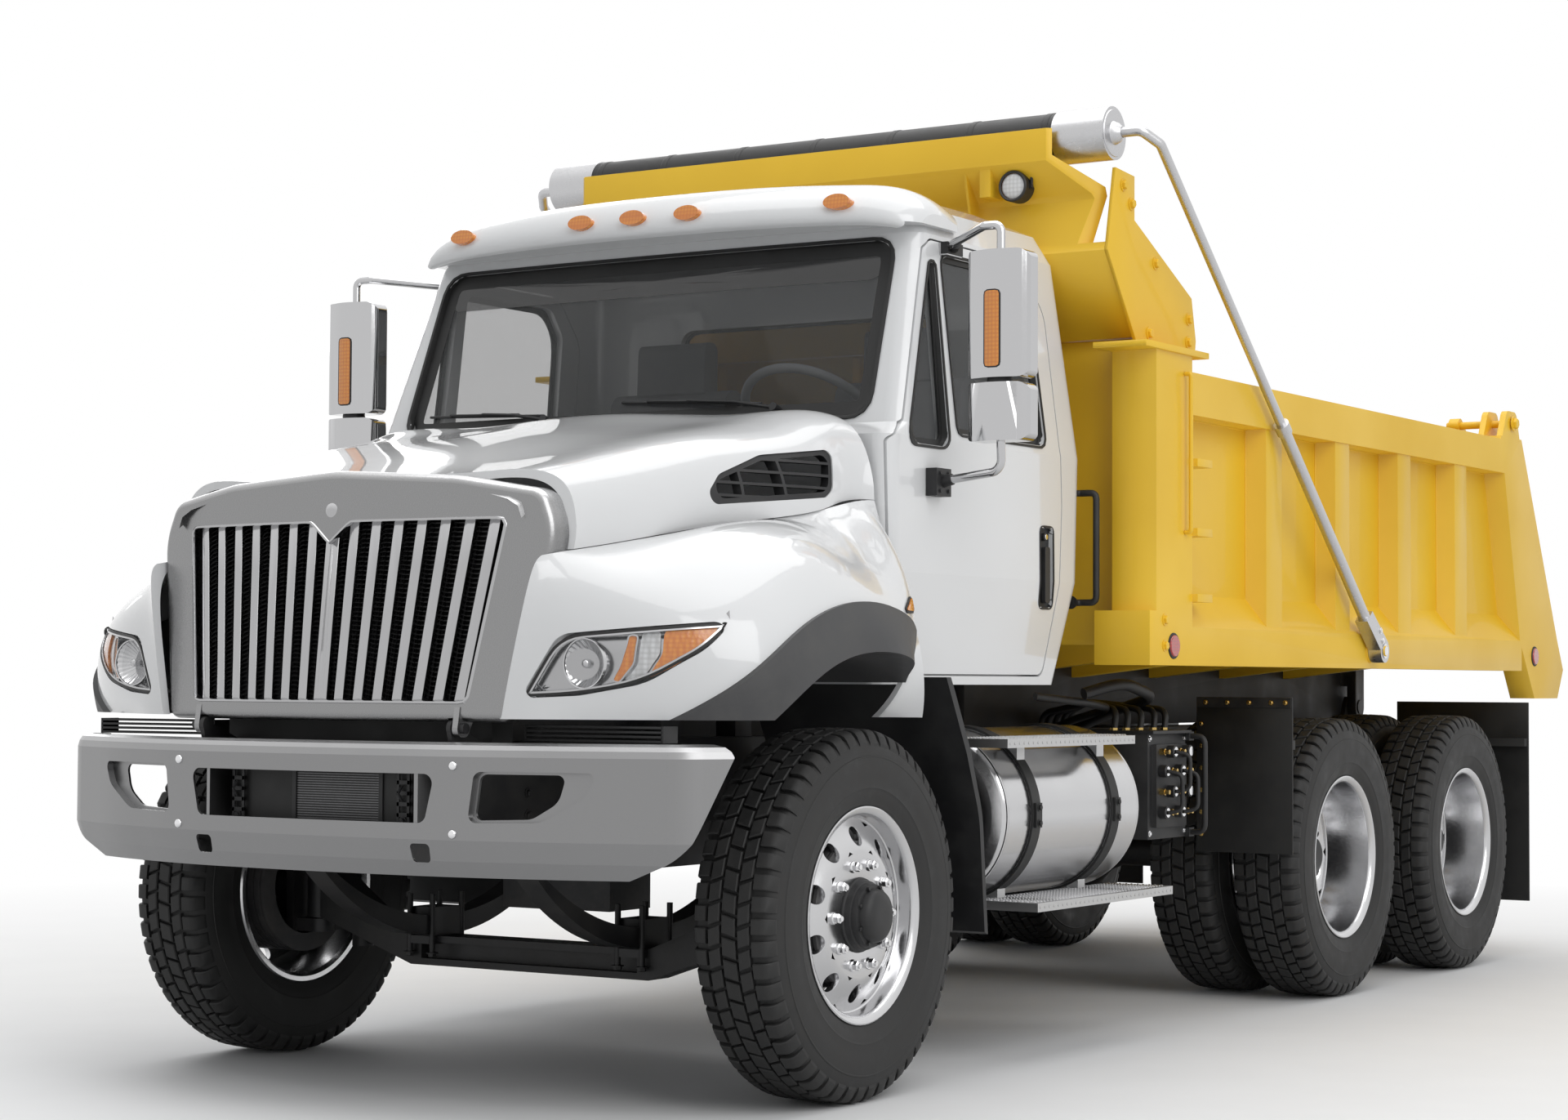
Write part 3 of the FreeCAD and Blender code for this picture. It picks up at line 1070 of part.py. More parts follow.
def fender_form(inset):
    """The left fender's form out to its skin, grown or shrunk by inset, with a flat inner side."""
    wires = []
    last = len(HOOD_STATIONS) - 1
    for i, y in enumerate(HOOD_STATIONS):
        y += inset * (0.8 if i < 4 else 0.4 if i == 4 else 0)
        if inset > 0 and i == last:
            y += 20
        points = [HOOD_SEAM[i], FENDER_CROWN[i], FENDER_SIDE[i], (FENDER_LOW[i], FENDER_BOTTOM)]
        shifts = [(1.0, -0.4 if inset > 0 else 0), (0.7, 0.7), (0.97, 0.2), (1.0, 0.0)]
        shaped = [V(x - inset * a, y, z - inset * b) for (x, z), (a, b) in zip(points, shifts)]
        low = FENDER_BOTTOM - (30 if inset > 0 else 0)
        shaped[-1].z = low
        curve = smooth_edge(shaped)
        inner_low, inner_top = V(FENDER_INNER_X, y, low), V(FENDER_INNER_X, y, shaped[0].z)
        wires.append(Part.Wire([
            curve,
            Part.LineSegment(shaped[-1], inner_low).toShape(),
            Part.LineSegment(inner_low, inner_top).toShape(),
            Part.LineSegment(inner_top, shaped[0]).toShape(),
        ]))
    return Part.makeLoft(wires, True, False)


def grille_outline(grow):
    g = grow
    right = [(598 + g, GRILLE_BOTTOM - g), (700 + g, 1560), (655 + g, 1672 + g), (400, 1714 + g)]
    return right + [(0, 1738 + g)] + [(-x, z) for x, z in reversed(right)]


def curved_slab(depth_from, depth_to):
    """The layer of the grille's leaning, bulged front between two depths."""
    radius = GRILLE_CURVE_RADIUS
    foot = V(0, GRILLE_FRONT_Y + radius, GRILLE_BOTTOM - 300)
    outer = cylinder(foot, V(0, 0, 1), radius - depth_from, 1400)
    inner = cylinder(foot, V(0, 0, 1), radius - depth_to, 1400)
    slab = outer.cut(inner)
    slab.rotate(V(0, GRILLE_FRONT_Y, GRILLE_BOTTOM), V(1, 0, 0), -GRILLE_LEAN)
    return slab


def in_front_of_grille_back(extra):
    """Everything ahead of the grille surround's rear face, to trim the hood to it."""
    radius = GRILLE_CURVE_RADIUS
    foot = V(0, GRILLE_FRONT_Y + radius, GRILLE_BOTTOM - 300)
    core = cylinder(foot, V(0, 0, 1), radius - GRILLE_DEPTH - extra, 1400)
    core.rotate(V(0, GRILLE_FRONT_Y, GRILLE_BOTTOM), V(1, 0, 0), -GRILLE_LEAN)
    return box(-1300, 1300, -1300, -600, 900, 2100).cut(core)


def make_hood():
    front_trim = in_front_of_grille_back(0.5)
    shell = hood_form(0).cut(hood_form(HOOD_WALL)).cut(front_trim)
    points, radii = vent_outline(0)
    hole = prism_x(points, 780, 1050, radii)
    export("hood_shell", shell.cut(hole).cut(mirrored(hole)))

    # Each vent is the plug out of its own hole, set back from the skin and cut into a frame and blades.
    points, radii = vent_outline(-SEAT_GAP)
    plug = shell.common(prism_x(points, 780, 1050, radii))
    inner_points, inner_radii = vent_outline(-16)
    window = prism_x(inner_points, 770, 1060, inner_radii)
    blades = []
    for i in range(VENT_BLADES):
        z = VENT_LOW + (i + 0.7) * (VENT_HIGH - VENT_LOW) / VENT_BLADES
        blades.append(box(760, 1060, -400, 240, z, z + 8))
    for y in VENT_DIVIDERS:
        blades.append(box(760, 1060, y, y + 10, VENT_LOW, VENT_HIGH))
    vent = plug.cut(window.cut(fused(blades)))
    vent.translate(V(-VENT_SET_BACK, 0, 0))
    export("hood_vents", both_sides(vent))


def vent_outline(grow):
    g = grow
    points = [(-352 - g, VENT_LOW - 4 - g), (-262, 1742 + g), (-90, 1806 + g), (186 + g, VENT_HIGH + g),
              (160 + g, 1716 - g), (120, 1694 - g)]
    return points, [26, 60, 120, 24, 40, 40]


def flare_outline(outer):
    """The wheel arch's edge from the side, or the flare's own outer edge."""
    y, z, r = ARCH_CENTRE_Y, ARCH_CENTRE_Z, ARCH_RADIUS
    if not outer:
        return cylinder(V(500, y, z), V(1, 0, 0), r, 800)
    big = cylinder(V(500, y - 10, z), V(1, 0, 0), r + FLARE_WIDTH, 800)
    tail = box(500, 1300, FLARE_TAIL_Y, 700, 900, 1700)
    return big.cut(tail)


def make_fenders():
    shell = fender_form(0).cut(fender_form(HOOD_WALL))
    surround = prism_y(grille_outline(0.6), -1400, -600, SURROUND_RADII)
    arch = flare_outline(True)
    door_side = box(500, 1400, HOOD_REAR_Y, 700, 900, 2000)
    base = shell.cut(surround).cut(arch).cut(door_side)
    lamp_hole = prism_y(lamp_outline(0), -1200, -500, LAMP_RADII)
    fender = base.cut(lamp_hole)
    export("fenders", both_sides(largest(fender)))
    # The flare stands a little proud of the fender's skin, round the arch.
    ring = flare_outline(True).cut(flare_outline(False))
    inner_edge = fender_form(HOOD_WALL + 30)
    trimmed = ring.common(box(500, 1300, -900, FLARE_TAIL_Y - 1, FENDER_BOTTOM, 1700))
    flare = fender_form(-FLARE_PROUD).cut(inner_edge).common(trimmed)
    flare = flare.cut(base.common(trimmed))
    export("fender_flares", both_sides(largest(flare)))
    lamp = fender_form(3).cut(fender_form(LAMP_DEPTH)).common(
        prism_y(lamp_outline(-SEAT_GAP), -1200, -500, LAMP_RADII))
    lamp = lamp.cut(prism_y(grille_outline(0.9), -1400, -600, SURROUND_RADII)).cut(arch)
    export("headlights", both_sides(largest(lamp)))


def lamp_outline(grow):
    g = grow
    return [(652 - g, 1120 - g), (745, 1288 + g), (1128 + g, 1326 + g), (1090 + g, 1250), (960, 1160 - g),
            (800, 1128 - g)]


def make_grille():
    blank = curved_slab(0, GRILLE_DEPTH).common(prism_y(grille_outline(0), -1400, -600, SURROUND_RADII))
    round_faces = [face for face in blank.Faces if isinstance(face.Surface, Part.Cylinder)]
    front_face = max(round_faces, key=lambda face: face.Surface.Radius)
    ring = blank.makeFillet(SURROUND_EDGE, front_face.OuterWire.Edges)
    ring = ring.cut(prism_y(GRILLE_OPENING, -1400, -600, [16, 16, 20, 10, 6, 10, 20]))
    # Arms behind the surround reach down to the pins in the frame's front brackets.
    arm_x = FRAME_HALF_WIDTH + 18
    arm = prism_x([(HOOD_PIVOT_Y - 24, HOOD_PIVOT_Z - 24), (HOOD_PIVOT_Y + 24, HOOD_PIVOT_Z - 24),
                   (HOOD_PIVOT_Y + 50, GRILLE_BOTTOM + 10), (HOOD_PIVOT_Y + 50, GRILLE_BOTTOM + 40),
                   (HOOD_PIVOT_Y - 10, GRILLE_BOTTOM + 40)], arm_x, arm_x + 18, [22, 22, 0, 0, 0])
    bore = tube_x(arm_x - 1, arm_x + 20, HOOD_PIVOT_Y, HOOD_PIVOT_Z, HOOD_PIVOT_RADIUS + RUNNING_GAP)
    arm = arm.cut(bore)
    # A notch clears the round end of each front bracket.
    notch = tube_x(FRAME_HALF_WIDTH - 5, arm_x, HOOD_PIVOT_Y, HOOD_PIVOT_Z, HOOD_PIVOT_RADIUS + 14)
    ring = ring.cut(notch).cut(mirrored(notch))
    export("grille_surround", fused([ring, arm, mirrored(arm)]).cut(bore).cut(mirrored(bore)))
    bars = []
    pitch_top = 2 * GRILLE_TOP_HALF / GRILLE_BARS
    pitch_low = 2 * GRILLE_LOW_HALF / GRILLE_BARS
    for i in range(GRILLE_BARS):
        k = i - (GRILLE_BARS - 1) / 2
        width = BAR_WIDTH * (1.5 if k == 0 else 1)
        x_low, x_top = k * pitch_low, k * pitch_top
        low, top = GRILLE_OPEN_LOW - 12, GRILLE_OPEN_TOP + 12
        bars.append(prism_y([(x_low - width / 2, low), (x_low + width / 2, low), (x_top + width / 2, top),
                             (x_top - width / 2, top)], -1400, -600))
    layer = curved_slab(BAR_SET_BACK, BAR_SET_BACK + BAR_DEPTH)
    bars = [bar.common(layer).cut(ring) for bar in bars]
    export("grille_bars", Part.makeCompound([largest(bar) for bar in bars]))


# Dump body

def make_floor():
    """The floor with its tapered cross bearers, and the long sills below that rest on the frame."""
    rear = rear_post_y(FLOOR_TOP, True) - TAILGATE_THICKNESS - 22
    plate_x = SIDE_SHEET_X - SHEET - SEAT_GAP
    floor = box(-plate_x, plate_x, FRONT_WALL_Y + SHEET + SEAT_GAP, rear, FLOOR_TOP - FLOOR_PLATE, FLOOR_TOP)
    sill = box(SILL_X, SILL_X + SILL_WIDTH, FRONT_WALL_Y + 60, BED_HINGE_Y, SILL_BOTTOM, FLOOR_TOP - FLOOR_PLATE)
    end = tube_x(SILL_X, SILL_X + SILL_WIDTH, BED_HINGE_Y, BED_HINGE_Z, BED_HINGE_Z - SILL_BOTTOM)
    web = box(SILL_X, SILL_X + SILL_WIDTH, BED_HINGE_Y - 5, BED_HINGE_Y + 55, BED_HINGE_Z, FLOOR_TOP - FLOOR_PLATE)
    ear_x = FRAME_HALF_WIDTH + 20 + SEAT_GAP
    ear = box(ear_x, ear_x + HINGE_PIN_LENGTH - 4, BED_HINGE_Y - 50, BED_HINGE_Y + 50, BED_HINGE_Z, RAIL_BOTTOM + 20)
    ear = ear.fuse(tube_x(ear_x, ear_x + HINGE_PIN_LENGTH - 4, BED_HINGE_Y, BED_HINGE_Z, 50))
    bore = tube_x(ear_x - 5, ear_x + 60, BED_HINGE_Y, BED_HINGE_Z, HINGE_PIN_RADIUS + RUNNING_GAP)
    bearers = []
    tip, root, top = BODY_HALF_WIDTH - 130, SILL_X + SILL_WIDTH, FLOOR_TOP - FLOOR_PLATE
    for i in range(BEARERS):
        y = BEARER_FIRST_Y + i * (BED_HINGE_Y - BEARER_FIRST_Y) / (BEARERS - 1)
        low = RAIL_BOTTOM - 40 if i < BEARERS - 1 else RAIL_BOTTOM + 10
        bearers.append(prism_y([(-tip, RAIL_BOTTOM + 40), (-root, low), (root, low), (tip, RAIL_BOTTOM + 40),
                                (tip, top), (-tip, top)], y - 35, y + 35))
    # Two cheeks under the floor stand on either side of the hoist's rod eye.
    y, z = HOIST_EYE_Y, HOIST_EYE_Z
    cheek = prism_x([(y - 50, z - 50), (y + 50, z - 50), (y + 290, RAIL_BOTTOM), (y + 290, FLOOR_TOP - FLOOR_PLATE),
                     (y - 90, FLOOR_TOP - FLOOR_PLATE)], HOIST_CHEEK_X, HOIST_CHEEK_X + 20, [45, 45, 0, 0, 0])
    boss = tube_x(HOIST_CHEEK_X - 3, HOIST_CHEEK_X + 32, y, z, HOIST_PIN_RADIUS)
    tie = box(HOIST_CHEEK_X + 5, SILL_X + 5, y + 150, y + 200, RAIL_BOTTOM + 10, RAIL_BOTTOM + 60)
    link = box(root - 1, ear_x + 10, BED_HINGE_Y - 50, BED_HINGE_Y + 50, RAIL_BOTTOM - 70, RAIL_BOTTOM + 10)
    floor = fused([floor] + bearers)
    export("bed_floor", floor)
    side = fused([sill, end, web, link, ear, tie, cheek, boss]).cut(bore).cut(floor)
    export("bed_subframe", both_sides(largest(side)))


def ladder():
    """The rungs beside the left front post."""
    x0, x1 = SIDE_SHEET_X - 2, BODY_HALF_WIDTH + 20
    y0 = BODY_FRONT_Y + POST_DEPTH
    return fused([box(x0, x1, y0 - 2, y0 + 118, z - 13, z + 13) for z in (1905, 1672, 1452)])


def make_sides():
    """Each side: sheet, boxed top rail, ribs, sloped lower rail, front and rear posts with their feet."""
    x, outer = SIDE_SHEET_X, BODY_HALF_WIDTH
    front = BODY_FRONT_Y
    rear_low, rear_high = rear_post_y(FLOOR_TOP, True), rear_post_y(TOP_RAIL_TOP, True)
    sheet = prism_x([(FRONT_WALL_Y, FLOOR_TOP - FLOOR_PLATE), (rear_low - 40, FLOOR_TOP - FLOOR_PLATE),
                     (rear_high - 40, TOP_RAIL_TOP - 4), (FRONT_WALL_Y, TOP_RAIL_TOP - 4)], x - SHEET, x)
    rail_end = rear_post_y(TOP_RAIL_BOTTOM, False) + 20
    top_rail = box(x - SHEET, outer, front + 30, rail_end, TOP_RAIL_BOTTOM, TOP_RAIL_TOP)
    low_rail = box(x - SHEET, outer, front + 30, REAR_POST_LOW_Y + 20, RAIL_BOTTOM, FLOOR_TOP)
    slope = prism_y([(x - 5, FLOOR_TOP - 5), (outer, FLOOR_TOP - 5), (outer, FLOOR_TOP), (x, FLOOR_TOP + SLOPE_RISE),
                     (x - 5, FLOOR_TOP + SLOPE_RISE)], front + 60, REAR_POST_LOW_Y + 30)
    pieces = [sheet, top_rail, low_rail, slope]
    for i in range(RIBS):
        y = RIB_FIRST_Y + i * RIB_PITCH
        pieces.append(box(x - 4, RIB_X, y, y + RIB_WIDTH, FLOOR_TOP, TOP_RAIL_BOTTOM + 4))
    wall = FRONT_WALL_Y - SEAT_GAP
    pieces.append(box(outer - POST_WIDTH, outer, front, wall, RAIL_BOTTOM, POST_TOP))
    pieces.append(box(x - SHEET, outer, wall - 1, front + POST_DEPTH, RAIL_BOTTOM, POST_TOP))
    pieces.append(box(outer - POST_WIDTH - 16, outer + 16, front - 110, wall, POST_TOP, POST_TOP + 20))
    pieces.append(box(x - SHEET, outer + 16, wall - 1, front + POST_DEPTH + 100, POST_TOP, POST_TOP + 20))
    pieces.append(box(outer - POST_WIDTH - 40, outer, front - 50, wall, RAIL_BOTTOM, FLOOR_TOP + 50))
    post = prism_x([(rear_post_y(TAILGATE_PIN_Z, False), TAILGATE_PIN_Z - 60), (REAR_POST_LOW_Y, FLOOR_TOP),
                    (REAR_POST_LOW_Y + 188, 1107), (REAR_POST_LOW_Y + 504, 1107), (REAR_POST_LOW_Y + 587, 1233),
                    (rear_post_y(1367, True), 1367), (rear_post_y(TAILGATE_PIN_Z - 60, True), TAILGATE_PIN_Z - 60)],
                   x - SHEET, outer)
    pieces.append(post)
    for x0, x1 in ((x - SHEET, x + 7), (outer - 26, outer)):
        pieces.append(prism_x([(TAILGATE_PIN_Y - 130, TAILGATE_PIN_Z - 80), (TAILGATE_PIN_Y - 60, TAILGATE_PIN_Z + 52),
                               (TAILGATE_PIN_Y + 60, TAILGATE_PIN_Z + 52), (TAILGATE_PIN_Y + 110, TAILGATE_PIN_Z - 80)],
                              x0, x1, [0, 40, 40, 0]))
    pieces.append(tube_x(TAILGATE_PIN_FROM, outer + 8, TAILGATE_PIN_Y, TAILGATE_PIN_Z, TAILGATE_PIN_RADIUS))
    pieces.append(tube_x(outer - 5, TARP_ARM_X - TARP_EYE_HALF - 2, TARP_PIVOT_Y, TARP_PIVOT_Z, 46))
    pieces.append(tube_x(outer - 5, TARP_ARM_X + TARP_EYE_HALF + 6, TARP_PIVOT_Y, TARP_PIVOT_Z, TARP_PIVOT_RADIUS))
    side = fused(pieces)
    export("bed_sides", Part.makeCompound([side.fuse(ladder()), mirrored(side)]))


def make_front_wall():
    wall = box(-SIDE_SHEET_X + SHEET + SEAT_GAP, SIDE_SHEET_X - SHEET - SEAT_GAP, FRONT_WALL_Y,
               FRONT_WALL_Y + SHEET, FLOOR_TOP - 60, SHIELD_FOOT_Z)
    ribs = [box(x - 35, x + 35, FRONT_WALL_Y - 50, FRONT_WALL_Y, FLOOR_TOP, SHIELD_FOOT_Z - 10) for x in (-560, 0, 560)]
    export("bed_front_wall", fused([wall] + ribs))


def make_cab_shield():
    """The short canopy over the cab's rear: its lip, its folded sheets, its cheeks and its gussets."""
    half = SHIELD_HALF
    t = SHEET
    lip_y = SHIELD_LIP_Y
    sheet = prism_x([
        (lip_y, 2871), (lip_y, 2978), (lip_y + 14, 2978), (lip_y + 14, 2890), (1612, 2790), (1612 + 4, 2760),
        (1560 + t, 2573), (FRONT_WALL_Y, SHIELD_FOOT_Z + 44), (FRONT_WALL_Y + t, SHIELD_FOOT_Z + 0.3),
        (FRONT_WALL_Y - 40, SHIELD_FOOT_Z + 0.3), (1541, 2573), (1588, 2750), (1580, 2768),
    ], -half, half)
    corner = prism_z([(SHIELD_LIP_HALF, lip_y - 1), (half + 1, lip_y - 1), (half + 1, 1640)], 2600, 3000)
    sheet = sheet.cut(corner).cut(mirrored(corner))
    cheek = prism_x([(1600, 2850), (1742, 2840), (1742, 2694), (2192, 2484), (2226, 2341), (2216, POST_TOP + 20),
                     (1767, POST_TOP + 20), (1541, 2573)], half, half + 12)
    flange = prism_x([(1742, 2840), (1742, 2694), (2192, 2484), (2226, 2341), (2214, 2341), (2180, 2476),
                      (1730, 2686), (1730, 2840)], half - 50, half + 12)
    pieces = [sheet, cheek, mirrored(cheek), flange, mirrored(flange)]
    for x in (-620, 0, 620):
        pieces.append(prism_x([(lip_y + 10, 2878), (1600, 2776), (1552, 2600), (1535, 2700)], x - 5, x + 5))
    # Cradles behind the lip carry the rolled tarp while its arms are parked.
    for x in (-700, 700):
        cradle = box(x - 20, x + 20, lip_y + 10, 1660, 2770, 2905)
        cradle = cradle.cut(tube_x(x - 21, x + 21, TARP_ROLL_Y, TARP_ROLL_Z, TARP_ROLL_RADIUS + 6))
        pieces.append(cradle)
    lamp = cylinder(V(800, lip_y + 70, 2800), V(0, -1, 0), 42, 50)
    stem = box(790, 810, lip_y + 40, lip_y + 52, 2800, 2880)
    export("cab_shield", fused(pieces))
    export("shield_lamp", lamp.fuse(stem).cut(fused(pieces)))


def make_tailgate():
    """The leaning tailgate between the rear posts, with its ribs and the arms that hang it on its pins."""
    half = TAILGATE_HALF_WIDTH
    top, low = TAILGATE_TOP, TAILGATE_LOW
    front, back = TAILGATE_THICKNESS + 6, 40
    sheet = prism_x([(tailgate_plane(top, front), top), (tailgate_plane(top, back), top),
                     (tailgate_plane(low, back), low), (tailgate_plane(low, front), low)], -half, half)
    pieces = [sheet]
    rib_back = -4
    for x in (-half + 45, -360, 360, half - 45):
        pieces.append(prism_x([(tailgate_plane(top, back + 5), top), (tailgate_plane(top, rib_back), top),
                               (tailgate_plane(low, rib_back), low), (tailgate_plane(low, back + 5), low)],
                              x - 45, x + 45))
    for z0, z1 in ((top - 130, top), (1640, 1760), (low, low + 140)):
        pieces.append(prism_x([(tailgate_plane(z1, back + 5), z1), (tailgate_plane(z1, rib_back), z1),
                               (tailgate_plane(z0, rib_back), z0), (tailgate_plane(z0, back + 5), z0)], -half, half))
    y, z = TAILGATE_PIN_Y, TAILGATE_PIN_Z
    arm_x = TAILGATE_PIN_FROM + 14
    arm = prism_x([(y - 42, z), (y, z + 42), (y + 42, z + 10), (tailgate_plane(top, 0), top + 30),
                   (tailgate_plane(top - 100, 0), top - 100), (tailgate_plane(top - 100, 70), top - 100),
                   (tailgate_plane(top, 80), top + 20)], arm_x, arm_x + 44, [24, 30, 30, 20, 0, 0, 30])
    bore = tube_x(arm_x - 2, arm_x + 48, y, z, TAILGATE_PIN_RADIUS + RUNNING_GAP)
    whole = fused(pieces + [arm, mirrored(arm)])
    # Lugs at both lower corners meet the latch hooks.
    high, low, reach = LATCH_HIGH_Z, LATCH_LOW_Z, LATCH_REACH
    lug = prism_x([(tailgate_plane(high, -6), high + 5), (tailgate_plane(high, -reach), high + 5),
                   (tailgate_plane(low, -reach), low + 10), (tailgate_plane(low, -6), low + 10)], half - 60, half + 90)
    whole = fused([whole, lug, mirrored(lug), box_joint(half), mirrored(box_joint(half))])
    export("tailgate", whole.cut(bore).cut(mirrored(bore)))


def box_joint(half):
    """The web between the tailgate's corner and its lug."""
    high, low = LATCH_HIGH_Z, LATCH_LOW_Z
    return prism_x([(tailgate_plane(high, 20), high + 5), (tailgate_plane(high, -20), high + 5),
                    (tailgate_plane(low, -20), low + 10), (tailgate_plane(low, 20), low + 10)], half - 60, half)


def make_tarp():
    """Two side arms on the body's rails that carry the rolled tarp between their ends."""
    x, eye = TARP_ARM_X, TARP_EYE_HALF
    pivot = V(x, TARP_PIVOT_Y, TARP_PIVOT_Z)
    knee = V(x, TARP_ROLL_Y + 62, TARP_ROLL_Z - 40)
    lower_end = pivot + (knee - pivot).normalize() * 90
    middle = pivot + (knee - pivot) * 0.48
    lower = cylinder(pivot, knee - pivot, TARP_ARM_RADIUS, (middle - pivot).Length)
    collar = cylinder(middle - (knee - pivot).normalize() * 30, knee - pivot, TARP_ARM_RADIUS + 6, 45)
    upper = bent_bar([middle, knee, V(x - 40, TARP_ROLL_Y, TARP_ROLL_Z), V(ROLL_END_X - 6, TARP_ROLL_Y, TARP_ROLL_Z)],
                     TARP_ARM_RADIUS - 5, 30)
    shoe = tube_x(x - eye, x + eye, TARP_PIVOT_Y, TARP_PIVOT_Z, 44)
    web = prism_x([(TARP_PIVOT_Y - 40, TARP_PIVOT_Z), (TARP_PIVOT_Y + 36, TARP_PIVOT_Z + 30),
                   (lower_end.y - 60, lower_end.z + 90), (lower_end.y - 110, lower_end.z + 50)], x - eye, x + eye)
    can = tube_x(ROLL_HALF + SEAT_GAP, ROLL_END_X, TARP_ROLL_Y, TARP_ROLL_Z, TARP_ROLL_RADIUS + 4)
    arm = fused([lower, collar, upper, shoe, web, can])
    arm = arm.cut(tube_x(x - eye - 1, x + eye + 1, TARP_PIVOT_Y, TARP_PIVOT_Z, TARP_PIVOT_RADIUS + RUNNING_GAP))
    export("tarp_arms", both_sides(arm))
    roll = tube_x(-ROLL_HALF, ROLL_HALF, TARP_ROLL_Y, TARP_ROLL_Z, TARP_ROLL_RADIUS)
    export("tarp_roll", roll)


def make_hoist():
    """The hydraulic cylinder between the frame and the body: barrel on its lower pin, rod with its eye."""
    base, eye = V(0, HOIST_BASE_Y, HOIST_BASE_Z), V(0, HOIST_EYE_Y, HOIST_EYE_Z)
    along = (eye - base).normalize()
    closed = (eye - base).Length
    barrel_end = base + along * (closed - HOIST_EYE_RADIUS - 20)
    barrel = cylinder(base, along, HOIST_BARREL_RADIUS, (barrel_end - base).Length)
    gland = cylinder(barrel_end - along * HOIST_GLAND, along, HOIST_BARREL_RADIUS + 10, HOIST_GLAND)
    foot = tube_x(-50, 50, HOIST_BASE_Y, HOIST_BASE_Z, HOIST_EYE_RADIUS)
    barrel = barrel.cut(box(-200, 200, HOIST_BASE_Y - 200, HOIST_BASE_Y + 62, HOIST_BASE_Z - 200, HOIST_BASE_Z + 200))
    neck = cylinder(base, along, HOIST_EYE_RADIUS - 8, 140)
    barrel = fused([barrel, gland, foot, neck])
    barrel = barrel.cut(tube_x(-60, 60, HOIST_BASE_Y, HOIST_BASE_Z, HOIST_PIN_RADIUS + RUNNING_GAP))
    rod_start = base + along * (closed - HOIST_ROD_INSIDE)
    bore = cylinder(rod_start - along * 30, along, HOIST_ROD_RADIUS + SEAT_GAP, HOIST_ROD_INSIDE + 200)
    export("hoist_barrel", barrel.cut(bore))
    rod = cylinder(rod_start, along, HOIST_ROD_RADIUS, HOIST_ROD_INSIDE - 20)
    ring = tube_x(-50, 50, HOIST_EYE_Y, HOIST_EYE_Z, HOIST_EYE_RADIUS)
    pin = tube_x(5 - HOIST_CHEEK_X, HOIST_CHEEK_X - 5, HOIST_EYE_Y, HOIST_EYE_Z, HOIST_PIN_RADIUS)
    export("hoist_rod", fused([rod, ring, pin]))


def main():
    os.makedirs("parts", exist_ok=True)
    make_wheels()
    make_frame()
    make_bumper()
    make_front_axle()
    make_steering()
    make_rear_axles()
    make_rear_suspension()
    make_engine()
    make_radiator()
    make_fuel_tank()
    make_steps()
    make_side_boxes()
    make_mudflaps()
    make_front_mudguards()
    make_cab()
    make_visor()
    make_interior()
    make_mirrors()
    make_hood()
    make_fenders()
    make_grille()
    make_floor()
    make_sides()
    make_front_wall()
    make_cab_shield()
    make_tailgate()
    make_tarp()
    make_hoist()


main()
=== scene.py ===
"""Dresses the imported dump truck: studio, camera, materials and the fine pieces on each body.

Metres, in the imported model's frame. X points to the truck's left, Y to its rear, Z up.
Lengthwise stations are written from the front axle and moved by AXLE_Y where they are used.
"""
import json
import math

import bpy
from mathutils import Matrix, Vector
from mathutils.bvhtree import BVHTree

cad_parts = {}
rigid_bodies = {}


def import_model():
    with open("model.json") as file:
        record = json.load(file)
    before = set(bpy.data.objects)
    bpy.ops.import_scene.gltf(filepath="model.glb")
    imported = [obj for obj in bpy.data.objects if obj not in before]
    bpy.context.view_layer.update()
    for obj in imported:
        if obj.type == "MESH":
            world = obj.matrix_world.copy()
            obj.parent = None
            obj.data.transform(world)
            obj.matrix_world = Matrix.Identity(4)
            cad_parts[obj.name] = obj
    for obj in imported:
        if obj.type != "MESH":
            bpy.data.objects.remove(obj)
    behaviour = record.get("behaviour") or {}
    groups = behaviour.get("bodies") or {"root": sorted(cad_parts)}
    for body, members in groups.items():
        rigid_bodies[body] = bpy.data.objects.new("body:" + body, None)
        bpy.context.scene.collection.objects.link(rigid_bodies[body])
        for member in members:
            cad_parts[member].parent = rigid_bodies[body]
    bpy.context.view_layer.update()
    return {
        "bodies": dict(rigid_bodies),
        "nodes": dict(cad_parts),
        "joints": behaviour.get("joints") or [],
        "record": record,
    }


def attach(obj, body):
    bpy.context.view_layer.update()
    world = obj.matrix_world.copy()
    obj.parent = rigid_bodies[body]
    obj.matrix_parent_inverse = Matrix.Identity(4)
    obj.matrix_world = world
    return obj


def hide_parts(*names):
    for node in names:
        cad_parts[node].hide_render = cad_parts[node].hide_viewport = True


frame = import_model()
NODES = frame["nodes"]

# The front axle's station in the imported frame, and the wheels' places from that axle's middle
AXLE_Y = -2.4538
TYRE_RADIUS = 0.52
FRONT_TYRE_X = 1.020
DUAL_OUTER_X = 1.066
DUAL_SPACING = 0.335
REAR_AXLES = (("mid", 3.441), ("rear", 4.761))
SIDES = (("left", 1), ("right", -1))


# Node materials

def material(name):
    """A new node material and its shader."""
    made = bpy.data.materials.new(name)
    made.use_nodes = True
    shader = made.node_tree.nodes["Principled BSDF"]
    return made, shader


def add(made, kind, **inputs):
    """One shader node with its sockets set to values."""
    node = made.node_tree.nodes.new(kind)
    for key, value in inputs.items():
        node.inputs[key.replace("_", " ")].default_value = value
    return node


def join(made, start, start_socket, end, end_socket):
    """Links an output of one node to an input of another."""
    made.node_tree.links.new(start.outputs[start_socket], end.inputs[end_socket])


